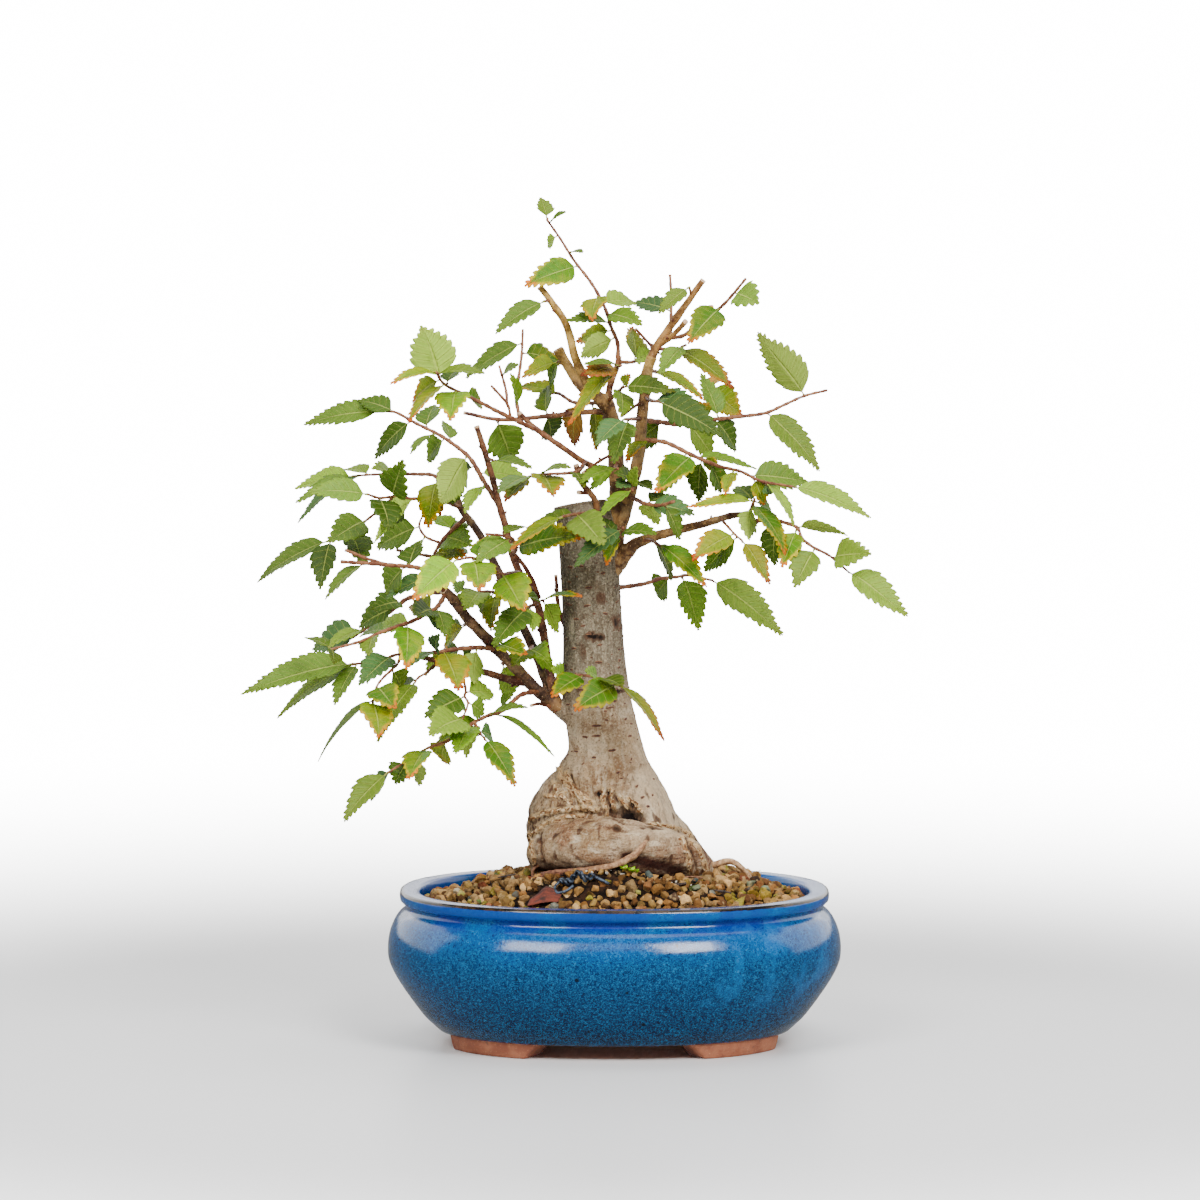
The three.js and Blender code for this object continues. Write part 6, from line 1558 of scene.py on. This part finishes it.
        (1.1, 0.5, (-50.5, 238, -1), (-58, 250, 4), (-64, 260, 10), (-72.5, 267, 16), (-78, 270.5, 20),
         (-88, 275.5, 26), (-97, 280.3, 32), (-103.5, 280.6, 36))], [
        (-103.5, 280.5, -137.5, 274.6, 14, 0.75), (-97, 280.4, -113.7, 285.5, 12, 0.75),
        (-90, 276.5, -106, 259.5, 12, 0.8), (-83.5, 273.2, -79.5, 283.5, 12, 0.85),
        (-75, 268.7, -83, 259, 11, 0.8), (-79, 271, -90.3, 261.8, 9, 0.35), (-72.5, 267, -76, 276.5, 8, 0.7),
        (-65, 261, -77.3, 240.7, 16, -0.95), (-60, 253.3, -37.5, 251, 14, 0.65),
        (-62, 256.7, -70.5, 248.5, 10, 0.5), (-57, 248.5, -66.3, 235.6, 11, 0.55)]),
    "mid_left_front": ("omgov", [
        (0.9, 0.4, (-13, 258.2, -7), (-16, 254.3, -20), (-22, 253.2, -30), (-33, 252.8, -44),
         (-38, 251.8, -50))], [
        (-32, 252.8, -27.3, 243, 16, 0.8), (-33, 252.8, -19.5, 255.5, 9, 0.3),
        (-38, 251.8, -51, 244.5, 12, 0.5), (-36.5, 252.1, -48.5, 240.5, 14, 0.6),
        (-18, 254, -13.5, 247, 9, 0.7)]),
    "riser_top_spur": ("m", [
        (0.7, 0.5, (-56.5, 260, -4), (-54, 259, -16))], [
        (-54, 259, -36.5, 255.3, 10, 0.4)]),
    "level_spur_left": ("m", [
        (0.7, 0.5, (-50, 277, 16), (-52, 276.5, 26))], [
        (-52, 276.5, -46, 258, 19, 0.97)]),
    "level_spur_right": ("vk", [
        (0.7, 0.5, (-30, 278.5, 11), (-30, 279, 22))], [
        (-30, 278.9, -29.3, 292, 10, 0.75), (-29.5, 279, -28, 269, 13, 0.85)]),
    "left_cluster": ("pyloosekm", [
        (1, 0.5, (-33, 271.8, -13), (-40, 275, -24), (-52, 280.8, -34), (-60, 285, -40), (-73, 291.3, -48),
         (-76.5, 294, -51), (-79, 298.5, -53)),
        (0.6, 0.5, (-46, 277.9, -29), (-47.5, 284, -31), (-54.5, 292, -36)),
        (0.6, 0.5, (-47.5, 284, -31), (-48, 290, -28), (-51, 301, -26))], [
        (-77, 294.5, -85.8, 318.5, 22, -0.98), (-79, 298.3, -99.3, 292.6, 10, 0.45),
        (-78.3, 297.5, -57.5, 297.3, 10, 0.4), (-77, 295, -89.3, 284.6, 11, 0.8),
        (-75, 292.8, -90.8, 275.7, 12, 0.5), (-70, 290, -73, 276.7, 16, 0.95),
        (-66, 288, -59, 283.6, 10, 0.7), (-74.5, 292.5, -69, 299.5, 9, 0.7),
        (-50.5, 296.5, -42.5, 301.3, 7, 0.5)]),
    "arm_spur": ("om", [
        (0.7, 0.5, (-22.5, 303.5, 7), (-25, 302.5, 18))], [
        (-24.8, 302.5, -41, 295.7, 12, 0.65), (-24.2, 302.7, -28.3, 291.5, 9, 0.6)]),
    "inner_back": ("yry", [
        (0.8, 0.6, (-4, 284.5, 2), (-12, 284.3, 14), (-18.5, 284.8, 25), (-24.5, 288.5, 34),
         (-28.8, 288.7, 40))], [
        (-24.5, 288.5, -43, 291.3, 10, 0.65), (-16, 284.6, -17.3, 265, 13, 0.75),
        (-10, 284.3, -8, 263.5, 12, 0.7)]),
    "leader_mid_front": ("dm", [
        (0.9, 0.5, (11.5, 277.5, -5), (8, 277.3, -20), (4.5, 277.2, -34))], [
        (4.5, 277.2, -8.5, 265.7, 12, 0.75), (6.5, 277.2, -0.5, 257.5, 14, 0.85)]),
    "leader_low_front": ("bb", [
        (0.8, 0.5, (1, 257, -1), (0.5, 256, -14), (1.5, 255.3, -27))], [
        (1, 255.5, -15.5, 248.7, 9, 0.55), (0.6, 255.7, -10.8, 246, 9, 0.7)]),
    "left_back_high": ("llmdl", [
        (0.9, 0.4, (-69, 241, 19.5), (-76, 248, 28), (-80, 252.3, 34), (-87, 252.8, 42), (-97, 253, 52),
         (-108, 252.6, 62), (-116, 252, 70))], [
        (-115.5, 252, -141.5, 246.3, 13, 0.6), (-108.5, 252.6, -119.5, 255, 10, 0.5),
        (-115.5, 252, -141.3, 240.2, 11, 0.55), (-113, 252.3, -140.3, 231.3, 10, 0.5),
        (-97.5, 253, -107.5, 255.3, 10, 0.5)]),
    "left_reach": ("mkkkpmmkm", [
        (0.9, 0.45, (-68, 238, 19), (-76, 241, 8), (-86, 242, -2), (-90, 242, -6), (-98, 242.8, -14),
         (-104, 242.3, -20), (-109.5, 244, -26)),
        (0.6, 0.35, (-98, 242.8, -14), (-103, 238, -6), (-110, 232.3, 2), (-117, 226.6, 10),
         (-127, 223.3, 20))], [
        (-109.3, 244, -135.3, 244.8, 14, 0.8), (-97.8, 242.9, -94, 259.3, 16, 0.9),
        (-104, 242.3, -100.3, 228, 15, 0.85), (-92, 242.2, -97.3, 231.5, 12, 0.8),
        (-89, 242, -106.3, 222.3, 12, -0.6), (-110, 232.3, -127.3, 223, 16, 0.9),
        (-127, 223.3, -158.3, 204.8, 13, 0.6), (-125.5, 223.7, -130.7, 201.7, 13, 0.9),
        (-117, 226.6, -110.8, 213, 15, 0.85)]),
    "back_stem_top": ("yok", [
        (0.8, 0.5, (-70, 244.5, 20), (-73, 248.5, 8), (-78.5, 251, -6))], [
        (-78.3, 251, -82.7, 229, 15, 0.85), (-75.5, 249.7, -77, 234.7, 12, 0.75),
        (-72.5, 248, -71.5, 239.5, 10, 0.8)]),
    "left_cut_twig": ("mkmd", [
        (1, 0.7, (-74.5, 200, -18), (-80, 206, -28), (-86, 211, -36), (-100, 212.6, -48), (-121, 214, -62)),
        (0.7, 0.6, (-101, 212.7, -48.7), (-110, 215.5, -52), (-119.3, 219.2, -56))], [
        (-111, 213.3, -128.3, 197.3, 10, 0.5), (-91, 211.6, -87, 222.5, 13, 0.8),
        (-93, 211.8, -101.3, 199.5, 14, 0.85), (-81.5, 207.3, -101.5, 197.5, 12, 0.6)]),
    "left_low_front": ("elkymdvlkv", [
        (1, 0.45, (-75, 199.5, -18.5), (-79, 193.5, -30), (-85, 190, -38), (-91, 187, -44), (-97, 185, -50),
         (-105, 182, -58), (-113, 178.5, -65), (-125.7, 175, -75))], [
        (-92, 186.7, -92.5, 166.2, 15, 0.9), (-90, 187.5, -106, 182.6, 12, 0.65),
        (-81, 192.3, -89.3, 190.3, 13, 0.8), (-80, 193, -91, 194, 11, 0.75),
        (-79, 193.7, -75.5, 180.7, 11, 0.8), (-84, 190.5, -77, 184, 9, 0.6),
        (-125.5, 175, -124.7, 168.7, 8, 0.65), (-107, 181, -109, 172.3, 10, 0.8),
        (-101, 183.5, -113, 180.8, 9, 0.45), (-125.5, 175, -137.3, 180.3, 8, 0.4)]),
    "left_low_back": ("kdlk", [
        (1, 0.7, (-74.5, 200.5, -18), (-84, 200, -6), (-92, 197.5, 4), (-96, 194.5, 8), (-104, 188.5, 16),
         (-118.7, 179, 28))], [
        (-97, 193.8, -113.3, 184.7, 14, 0.8), (-113, 182.7, -134, 175.2, 17, 0.8),
        (-111, 184, -126.8, 175.7, 10, 0.55), (-94, 196, -108.5, 193, 13, 0.7)]),
    "left_low_reach": ("mldmmleymddpopkk", [
        (1, 0.4, (-51, 175, -11), (-60, 175.8, -18), (-70, 175.2, -24), (-80, 173.6, -30), (-90, 173.2, -35),
         (-97, 172.6, -39), (-103, 170.3, -42), (-109, 169, -45), (-116.5, 168.6, -49)),
        (0.6, 0.4, (-95, 172.8, -38), (-96, 169, -44), (-98.5, 166.3, -50), (-103, 162, -58),
         (-105.7, 158, -64), (-107, 152, -70))], [
        (-116.5, 168.6, -166, 155, 18, 0.65), (-115, 168.7, -149.7, 144.2, 12, 0.6),
        (-98.5, 172, -113.7, 159.3, 15, 0.8), (-114, 168.7, -124.3, 150.3, 11, 0.75),
        (-104, 170, -110, 160.3, 10, 0.65), (-99, 165.8, -94.5, 158, 13, 0.85),
        (-105.5, 158.3, -97, 148.8, 15, 0.9), (-107, 152, -105.3, 135.7, 16, 0.9),
        (-106.8, 153, -131.7, 124.8, 10, 0.25), (-80.5, 173.6, -91.8, 167.2, 9, 0.5),
        (-79, 173.8, -77.5, 181.5, 9, 0.7), (-72.5, 174.8, -83.8, 163.2, 10, -0.5),
        (-76, 174.3, -69.3, 156.6, 17, 0.85), (-61, 175.8, -62, 159.6, 12, -0.85),
        (-63, 175.7, -65, 168.7, 9, 0.6), (-68, 175.3, -74, 169.3, 10, 0.7)]),
    "low_branch_front": ("e", [
        (0.7, 0.5, (-51.5, 174.5, -11), (-53, 177.5, -24), (-52.5, 177, -34))], [
        (-52.5, 177, -38.7, 172.8, 13, 0.6)]),
    "low_branch_back": ("l", [
        (0.7, 0.5, (-47, 169.5, -10), (-49, 169, 4), (-50, 168.8, 12))], [
        (-49.8, 168.8, -46, 153, 14, 0.85)]),
    "low_branch_top": ("ok", [
        (0.7, 0.5, (-63, 186.5, -15), (-65.5, 186, -2), (-66.5, 186.3, 10))], [
        (-66, 186, -76, 174.6, 10, 0.55), (-66.5, 186.3, -74.7, 180, 9, 0.55)]),
    "riser_low": ("klelk", [
        (0.8, 0.5, (-34, 195, 4), (-37, 194.5, -10), (-39, 193.3, -20)),
        (0.6, 0.4, (-36, 194.8, -6), (-32, 197, -14))], [
        (-39, 193, -53.5, 176, 15, 0.9), (-37.5, 194.2, -36.5, 183, 9, 0.7),
        (-32, 197, -14.5, 198.3, 8, 0.25), (-32, 197, -24.8, 182.7, 10, 0.8),
        (-33, 196.5, -38.5, 199, 6, 0.5)]),
    "back_stem_mid": ("lmypg", [
        (0.8, 0.4, (-47, 200.5, 14), (-52, 200.3, 2), (-57, 200.8, -6), (-62, 200, -12), (-67, 199, -18))], [
        (-59, 200.5, -66.8, 192.5, 14, 0.85), (-53.5, 200.4, -58.3, 189.5, 13, 0.85),
        (-52, 200.3, -54.3, 183.3, 11, 0.8), (-63, 199.8, -69, 194.5, 9, -0.6),
        (-66.7, 199, -71.8, 204.5, 9, 0.7)]),
    "back_stem_low": ("bvb", [
        (0.8, 0.5, (-36.5, 176.5, 10), (-37, 175.2, -4), (-38, 174.8, -16))], [
        (-37.8, 174.9, -29, 170.2, 12, 0.85), (-38, 174.8, -45.3, 167.6, 12, 0.85),
        (-37.2, 175, -27.5, 165, 10, 0.7)]),
    "trunk_front": ("bemveo", [
        (0.8, 0.4, (-27, 156.5, 1.5), (-26, 161.5, -14), (-20, 163.2, -26), (-13.5, 163.4, -33),
         (-6, 161.9, -37), (2, 159.4, -39))], [
        (-22.5, 162.7, -28, 166.5, 9, 0.75), (-14, 163.4, -27.8, 153.6, 12, 0.8),
        (-7, 162.2, -13, 165.5, 7, 0.65), (-5.5, 161.8, 3.5, 158.3, 11, 0.5),
        (1, 159.7, -17.6, 147.4, 14.5, 0.95), (2, 159.4, 22.2, 134.2, 11, 0.4)]),
    "low_twig": ("mmmsobpedekpld", [
        (1, 0.4, (-33, 156.5, -6), (-41, 155, -16), (-46, 151, -23), (-50, 147.5, -28), (-56, 145.6, -34),
         (-62, 142.6, -39), (-66, 139.7, -43), (-74, 134.2, -49), (-83, 131, -55), (-91, 126, -61),
         (-101, 120, -69)),
        (0.6, 0.4, (-62, 142.6, -39), (-60, 138, -46), (-57.7, 135.4, -51))], [
        (-56, 145.6, -38.5, 149, 9, 0.3), (-50, 147.5, -46, 156, 7, 0.5),
        (-53, 146.5, -26.7, 127.2, 9, 0.25), (-59, 144, -80.3, 131.8, 12, 0.6),
        (-75, 133.8, -76.3, 125, 13, 0.85), (-64, 141, -70.8, 128.5, 14, 0.9),
        (-62, 142, -65.7, 126.7, 11, -0.8), (-57.7, 135.4, -44, 114, 13, 0.8),
        (-60, 138.5, -54.5, 135.8, 9, 0.7), (-83.5, 130.7, -91.3, 117, 13, 0.8),
        (-91.5, 125.7, -97.5, 115, 13, 0.85), (-90, 126.7, -86.7, 114, 10, -0.7),
        (-101, 120, -120, 98, 13, 0.8), (-99, 121, -108.3, 107.6, 9, 0.6)]),
    "hanging_twig": ("kllm", [
        (0.6, 0.4, (-64, 166, -17), (-66.8, 162.5, -26), (-66, 157, -33), (-66.5, 154, -37), (-65, 151, -40),
         (-67.5, 144, -45))], [
        (-66.5, 154, -84.3, 144.7, 16, 0.85), (-67.5, 144, -82.3, 136.5, 18, 0.85),
        (-66, 156, -53.7, 155, 12, 0.75), (-65, 151.7, -58, 146, 11, 0.8)]),
    "low_branch_tip": ("vl", [
        (0.6, 0.4, (-78, 169.8, -23.5), (-83, 165, -31), (-87, 162.5, -36), (-88.7, 160, -39))], [
        (-87, 162.5, -98.3, 150.3, 9, 0.3), (-88.5, 160.2, -104.7, 133.7, 12, 0.85)]),
    "low_right": ("bbl", [
        (1, 0.45, (-3, 202, 4), (10, 203.6, 12), (16, 205, 16), (20, 206.5, 19), (28, 207.3, 25),
         (33, 208, 28), (43.5, 205.7, 36))], [
        (24.5, 206.9, 19, 199, 14, 0.85), (30, 207.5, 37.4, 183.5, 15, 0.9),
        (43.5, 205.7, 74.7, 181.2, 17, 0.85)]),
}

node_points = {}
STEM_LOOK = {"blade": NOTHING, "vein": NOTHING}
BUD_LOOK = {"blade": NOTHING, "vein": (0.0, 0.0, 0.0, 1.0)}


def tip_depth(name, x, z):
    """How deep the CAD leaf's tip lies that the front view shows at x, z."""
    if name not in node_points:
        here, _ = arrays(frame["nodes"][name].data)
        node_points[name] = (*front_view(here), here[:, 1])
    seen_x, seen_z, depths = node_points[name]
    return float(depths[np.argmin(np.hypot(seen_x - x, seen_z - z))])


def root_on(stems, x, z):
    """The place on the stems that is nearest to x, z of the front view."""
    best = None
    for _, _, *points in stems:
        for (ax, az, ay), (bx, bz, by) in zip(points, points[1:]):
            run = (bx - ax) ** 2 + (bz - az) ** 2
            t = min(max(((x - ax) * (bx - ax) + (z - az) * (bz - az)) / run, 0), 1) if run else 0
            spot = (ax + (bx - ax) * t, az + (bz - az) * t, ay + (by - ay) * t)
            gap = math.hypot(spot[0] - x, spot[1] - z)
            if best is None or gap < best[0]:
                best = (gap, spot)
    return at(*best[1])


def upward(along, facing):
    """The way a blade's top faces: toward the viewer by its facing, and otherwise up."""
    front = Vector((0, -1, 0.07))
    front = (front - along * front.dot(along)).normalized()
    side = along.cross(front)
    turn = 1 if side.z + 0.013 * side.x >= 0 else -1
    return (front * facing + side * turn * math.sqrt(1 - facing * facing)).normalized()


def leaf(shape, root, tip, width, facing, tone):
    axis = tip - root
    length = axis.length
    along = axis / length
    up = upward(along, facing)
    side = up.cross(along)
    start = PETIOLE / length
    teeth = max(5, round(length * (1 - start) / TOOTH_LENGTH))
    columns = teeth * 4 + 1
    seed = rng.uniform(0, 50)
    shade = rng.uniform(0.84, 1.16)
    base, edge, end = (rgb([min(c * shade, 255) for c in colour]) for colour in TONES[tone])
    curl = rng.uniform(-0.03, 0.05)
    sweep = rng.uniform(-0.045, 0.045) * length
    lean = rng.uniform(-0.08, 0.08)
    bites = [[rng.uniform(0.55, 1.4) for _ in range(teeth + 1)] for _ in range(2)]

    def spot(c, row):
        v = row / HALF_ROWS
        t = c / (columns - 1)
        a = t + 0.2 * abs(v) * (4 * t * (1 - t)) ** 0.7 * (1 - 0.35 * t)
        tooth = TOOTH[c % 4] * bites[row > 0][c // 4] if 0 < c < columns - 1 else 0
        share = float(np.interp(a, LEAF_PLACES, LEAF_WIDTHS))
        half = width / 2 * share * (1 + lean * (1 if row > 0 else -1))
        jut = abs(v) ** 5
        reach = (TOOTH_GROWTH * width + TOOTH_REACH) * min(1, 5 * (1 - t)) * min(1, 7 * t)
        across = v * (half * (1 - 0.12 * jut) + jut * tooth * reach) + sweep * 4 * t * (1 - t) * t
        u = start + (1 - start) * min(a + jut * tooth * 0.22 / teeth, 1.0)
        ripple = 0.22 * math.sin(math.pi * ((c % 4) / 4)) * abs(v) * (1 - abs(v)) * 4 * min(1, width / 12)
        wave = 0.5 * noise.noise(Vector((u * 4, v, seed))) * abs(v) * width / 14
        lift = BOW * length * 4 * u * (1 - u) + FOLD * abs(v * half) - curl * length * u ** 3 * (1 - u) * 4
        return root + along * (length * u) + side * across + up * (lift + ripple + wave)

    rows = range(-HALF_ROWS, HALF_ROWS + 1)
    count = len(rows)
    top = [spot(c, row) for c in range(columns) for row in rows]
    points = [p + up * LEAF_THICKNESS for p in top] + [p - up * LEAF_THICKNESS for p in top]
    vein = [(c / 4, abs(row) / HALF_ROWS, under, c / (columns - 1))
            for under in (0.0, 1.0) for c in range(columns) for row in rows]
    low = columns * count
    faces = []
    for c in range(columns - 1):
        first = c * count
        for a in range(first, first + count - 1):
            faces.append((a, a + 1, a + count + 1, a + count))
            faces.append((low + a, low + a + count, low + a + count + 1, low + a + 1))
        a = first + count - 1
        faces.append((first, first + count, low + first + count, low + first))
        faces.append((low + a, low + a + count, a + count, a))
    shape.add(points, faces, 1, vein=vein, blade=(*base[:3], width / length),
              edge=(*edge[:3], float(tone in AUTUMN)), tip=(*end[:3], seed))
    stalk = [(*(root - along * 0.3), 0.42), (*(root + along * PETIOLE * 0.5 + up * 0.1), 0.36),
             (*(root + along * (PETIOLE + 0.8) + up * (BOW * length * 4 * start + 0.02)), 0.3)]
    tube(shape, curve(stalk, 0.7), 6, blade=(*base[:3], 1.0), vein=(0.0, 0.0, 0.0, 0.6))
    out = along.cross(UP).normalized() * 0.3
    bud_rows = [(*(root + out), 0.3), (*(root + along * 0.7 + out * 1.4), 0.55),
                (*(root + along * 1.7 + out * 2), 0.08)]
    tube(shape, bud_rows, 6, **BUD_LOOK)


def shoot(key, looks):
    tones, stems, leaves = SHOOTS[key]
    shape = Shape()
    for number, (start, end, *points) in enumerate(stems):
        rows = [(*row[:3], row[3] * (1 + 0.14 * math.sin(i * 1.9 + number)) * 1.15 + 0.04)
                for i, row in enumerate(stem(start, end, points, 1.5))]
        tube(shape, rows, 8, **STEM_LOOK)
    for (base_x, base_z, tip_x, tip_z, width, facing), tone in zip(leaves, tones):
        tip = at(tip_x, tip_z, tip_depth("shoot_" + key, tip_x, tip_z))
        leaf(shape, root_on(stems, base_x, base_z), tip, width, facing, tone)
    piece(shape.build("leaves_" + key, looks), "leaf", "shoot_" + key)


def leaf_skin():
    g = Graph("leaf_skin")
    colour, along = g.field("vein")
    tooth, across, under = g.parts(colour)
    base, _ = g.field("blade")
    edge, autumn = g.field("edge")
    tip, _ = g.field("tip")
    cloud = g.noise(110, 4, 0.6)
    blotch = g.noise(230, 4, 0.65)
    paint = g.over(base, edge, cloud, 0.42, 0.66, 0.22)
    paint = g.over(paint, (60, 84, 26), g.noise(900, 3, 0.7), 0.5, 0.75, 0.22)
    paint = g.over(paint, g.mix(1.0, paint, (190, 206, 150), "MULTIPLY"), blotch, 0.46, 0.36, 0.4)
    # The rim and the tip turn, raggedly.
    rim = g.math("ADD", g.plus(across, blotch, 0.9), g.times(g.math("SUBTRACT", along, 0.6), 0.75))
    paint = g.over(paint, edge, rim, 0.5, 0.84, g.step(autumn, 0.2, 0.8, 0.35, 0.85))
    reach = g.plus(g.math("ADD", g.times(along, 0.8), g.times(across, 0.22)), blotch, 0.6)
    paint = g.over(paint, tip, reach, 0.68, 0.88, g.step(autumn, 0.2, 0.8, 0.3, 0.95))
    rare = g.step(g.noise(150, 1, 0.5), 0.6, 0.66)
    paint = g.over(paint, (112, 72, 38), g.cells(380), 0.16, 0.09, rare, 0.7)
    # Side veins run to the teeth, with the blade darker between them.
    share = g.math("FRACT", g.math("ADD", tooth, 0.5))
    beside = g.math("ABSOLUTE", g.math("SUBTRACT", share, 0.5))
    paint = g.over(paint, g.mix(1.0, paint, (176, 196, 120), "MULTIPLY"), beside, 0.12, 0.42, 0.34)
    lateral = g.times(g.step(beside, 0.09, 0.02), g.step(across, 1.0, 0.75), 0.7)
    veins = g.math("MAXIMUM", lateral, g.step(across, 0.09, 0.03))
    paint = g.lay(paint, g.mix(0.55, paint, (224, 234, 120)), veins, 0.75)
    paint = g.lay(paint, g.mix(0.25, paint, (176, 200, 84)), under, 0.8)
    raised = g.times(veins, g.step(under, 0.4, 0.6, -1.0, 1.0))
    net = g.cells(760, feature="DISTANCE_TO_EDGE")
    g.finish(paint, g.step(under, 0.0, 1.0, 0.5, 0.66), (raised, 0.0009, 0.9), (net, 0.0003, 0.35),
             (cloud, 0.0012, 0.3), spec=0.28)
    lit = g.mix(0.55, paint, g.mix(1.0, paint, (226, 232, 120), "MULTIPLY"))
    bright = g.filled("ShaderNodeHueSaturation", {"Saturation": 1.35, "Value": 1.35, "Color": lit})
    glow = g.filled("ShaderNodeBsdfTranslucent", {"Color": bright.outputs[0]})
    return g.blend_with(glow, 0.36)


def shoot_bark():
    g = Graph("shoot_bark")
    base, stalk = g.field("blade")
    _, buds = g.field("vein")
    patch = g.noise(260, 4, 0.65)
    twig = g.blend(patch, 0.38, 0.62, (100, 56, 38), (142, 94, 62))
    paint = g.lay(twig, g.mix(0.45, base, (150, 120, 70)), stalk)
    paint = g.over(paint, (84, 40, 28), buds, 0.7, 0.9, 0.8)
    paint = g.over(paint, (196, 160, 120), g.cells(900), 0.16, 0.1, 0.4)
    return g.finish(paint, 0.55, (patch, 0.0003, 0.5), spec=0.35)


leaf_looks = [shoot_bark(), leaf_skin()]
for key in SHOOTS:
    shoot(key, leaf_looks)
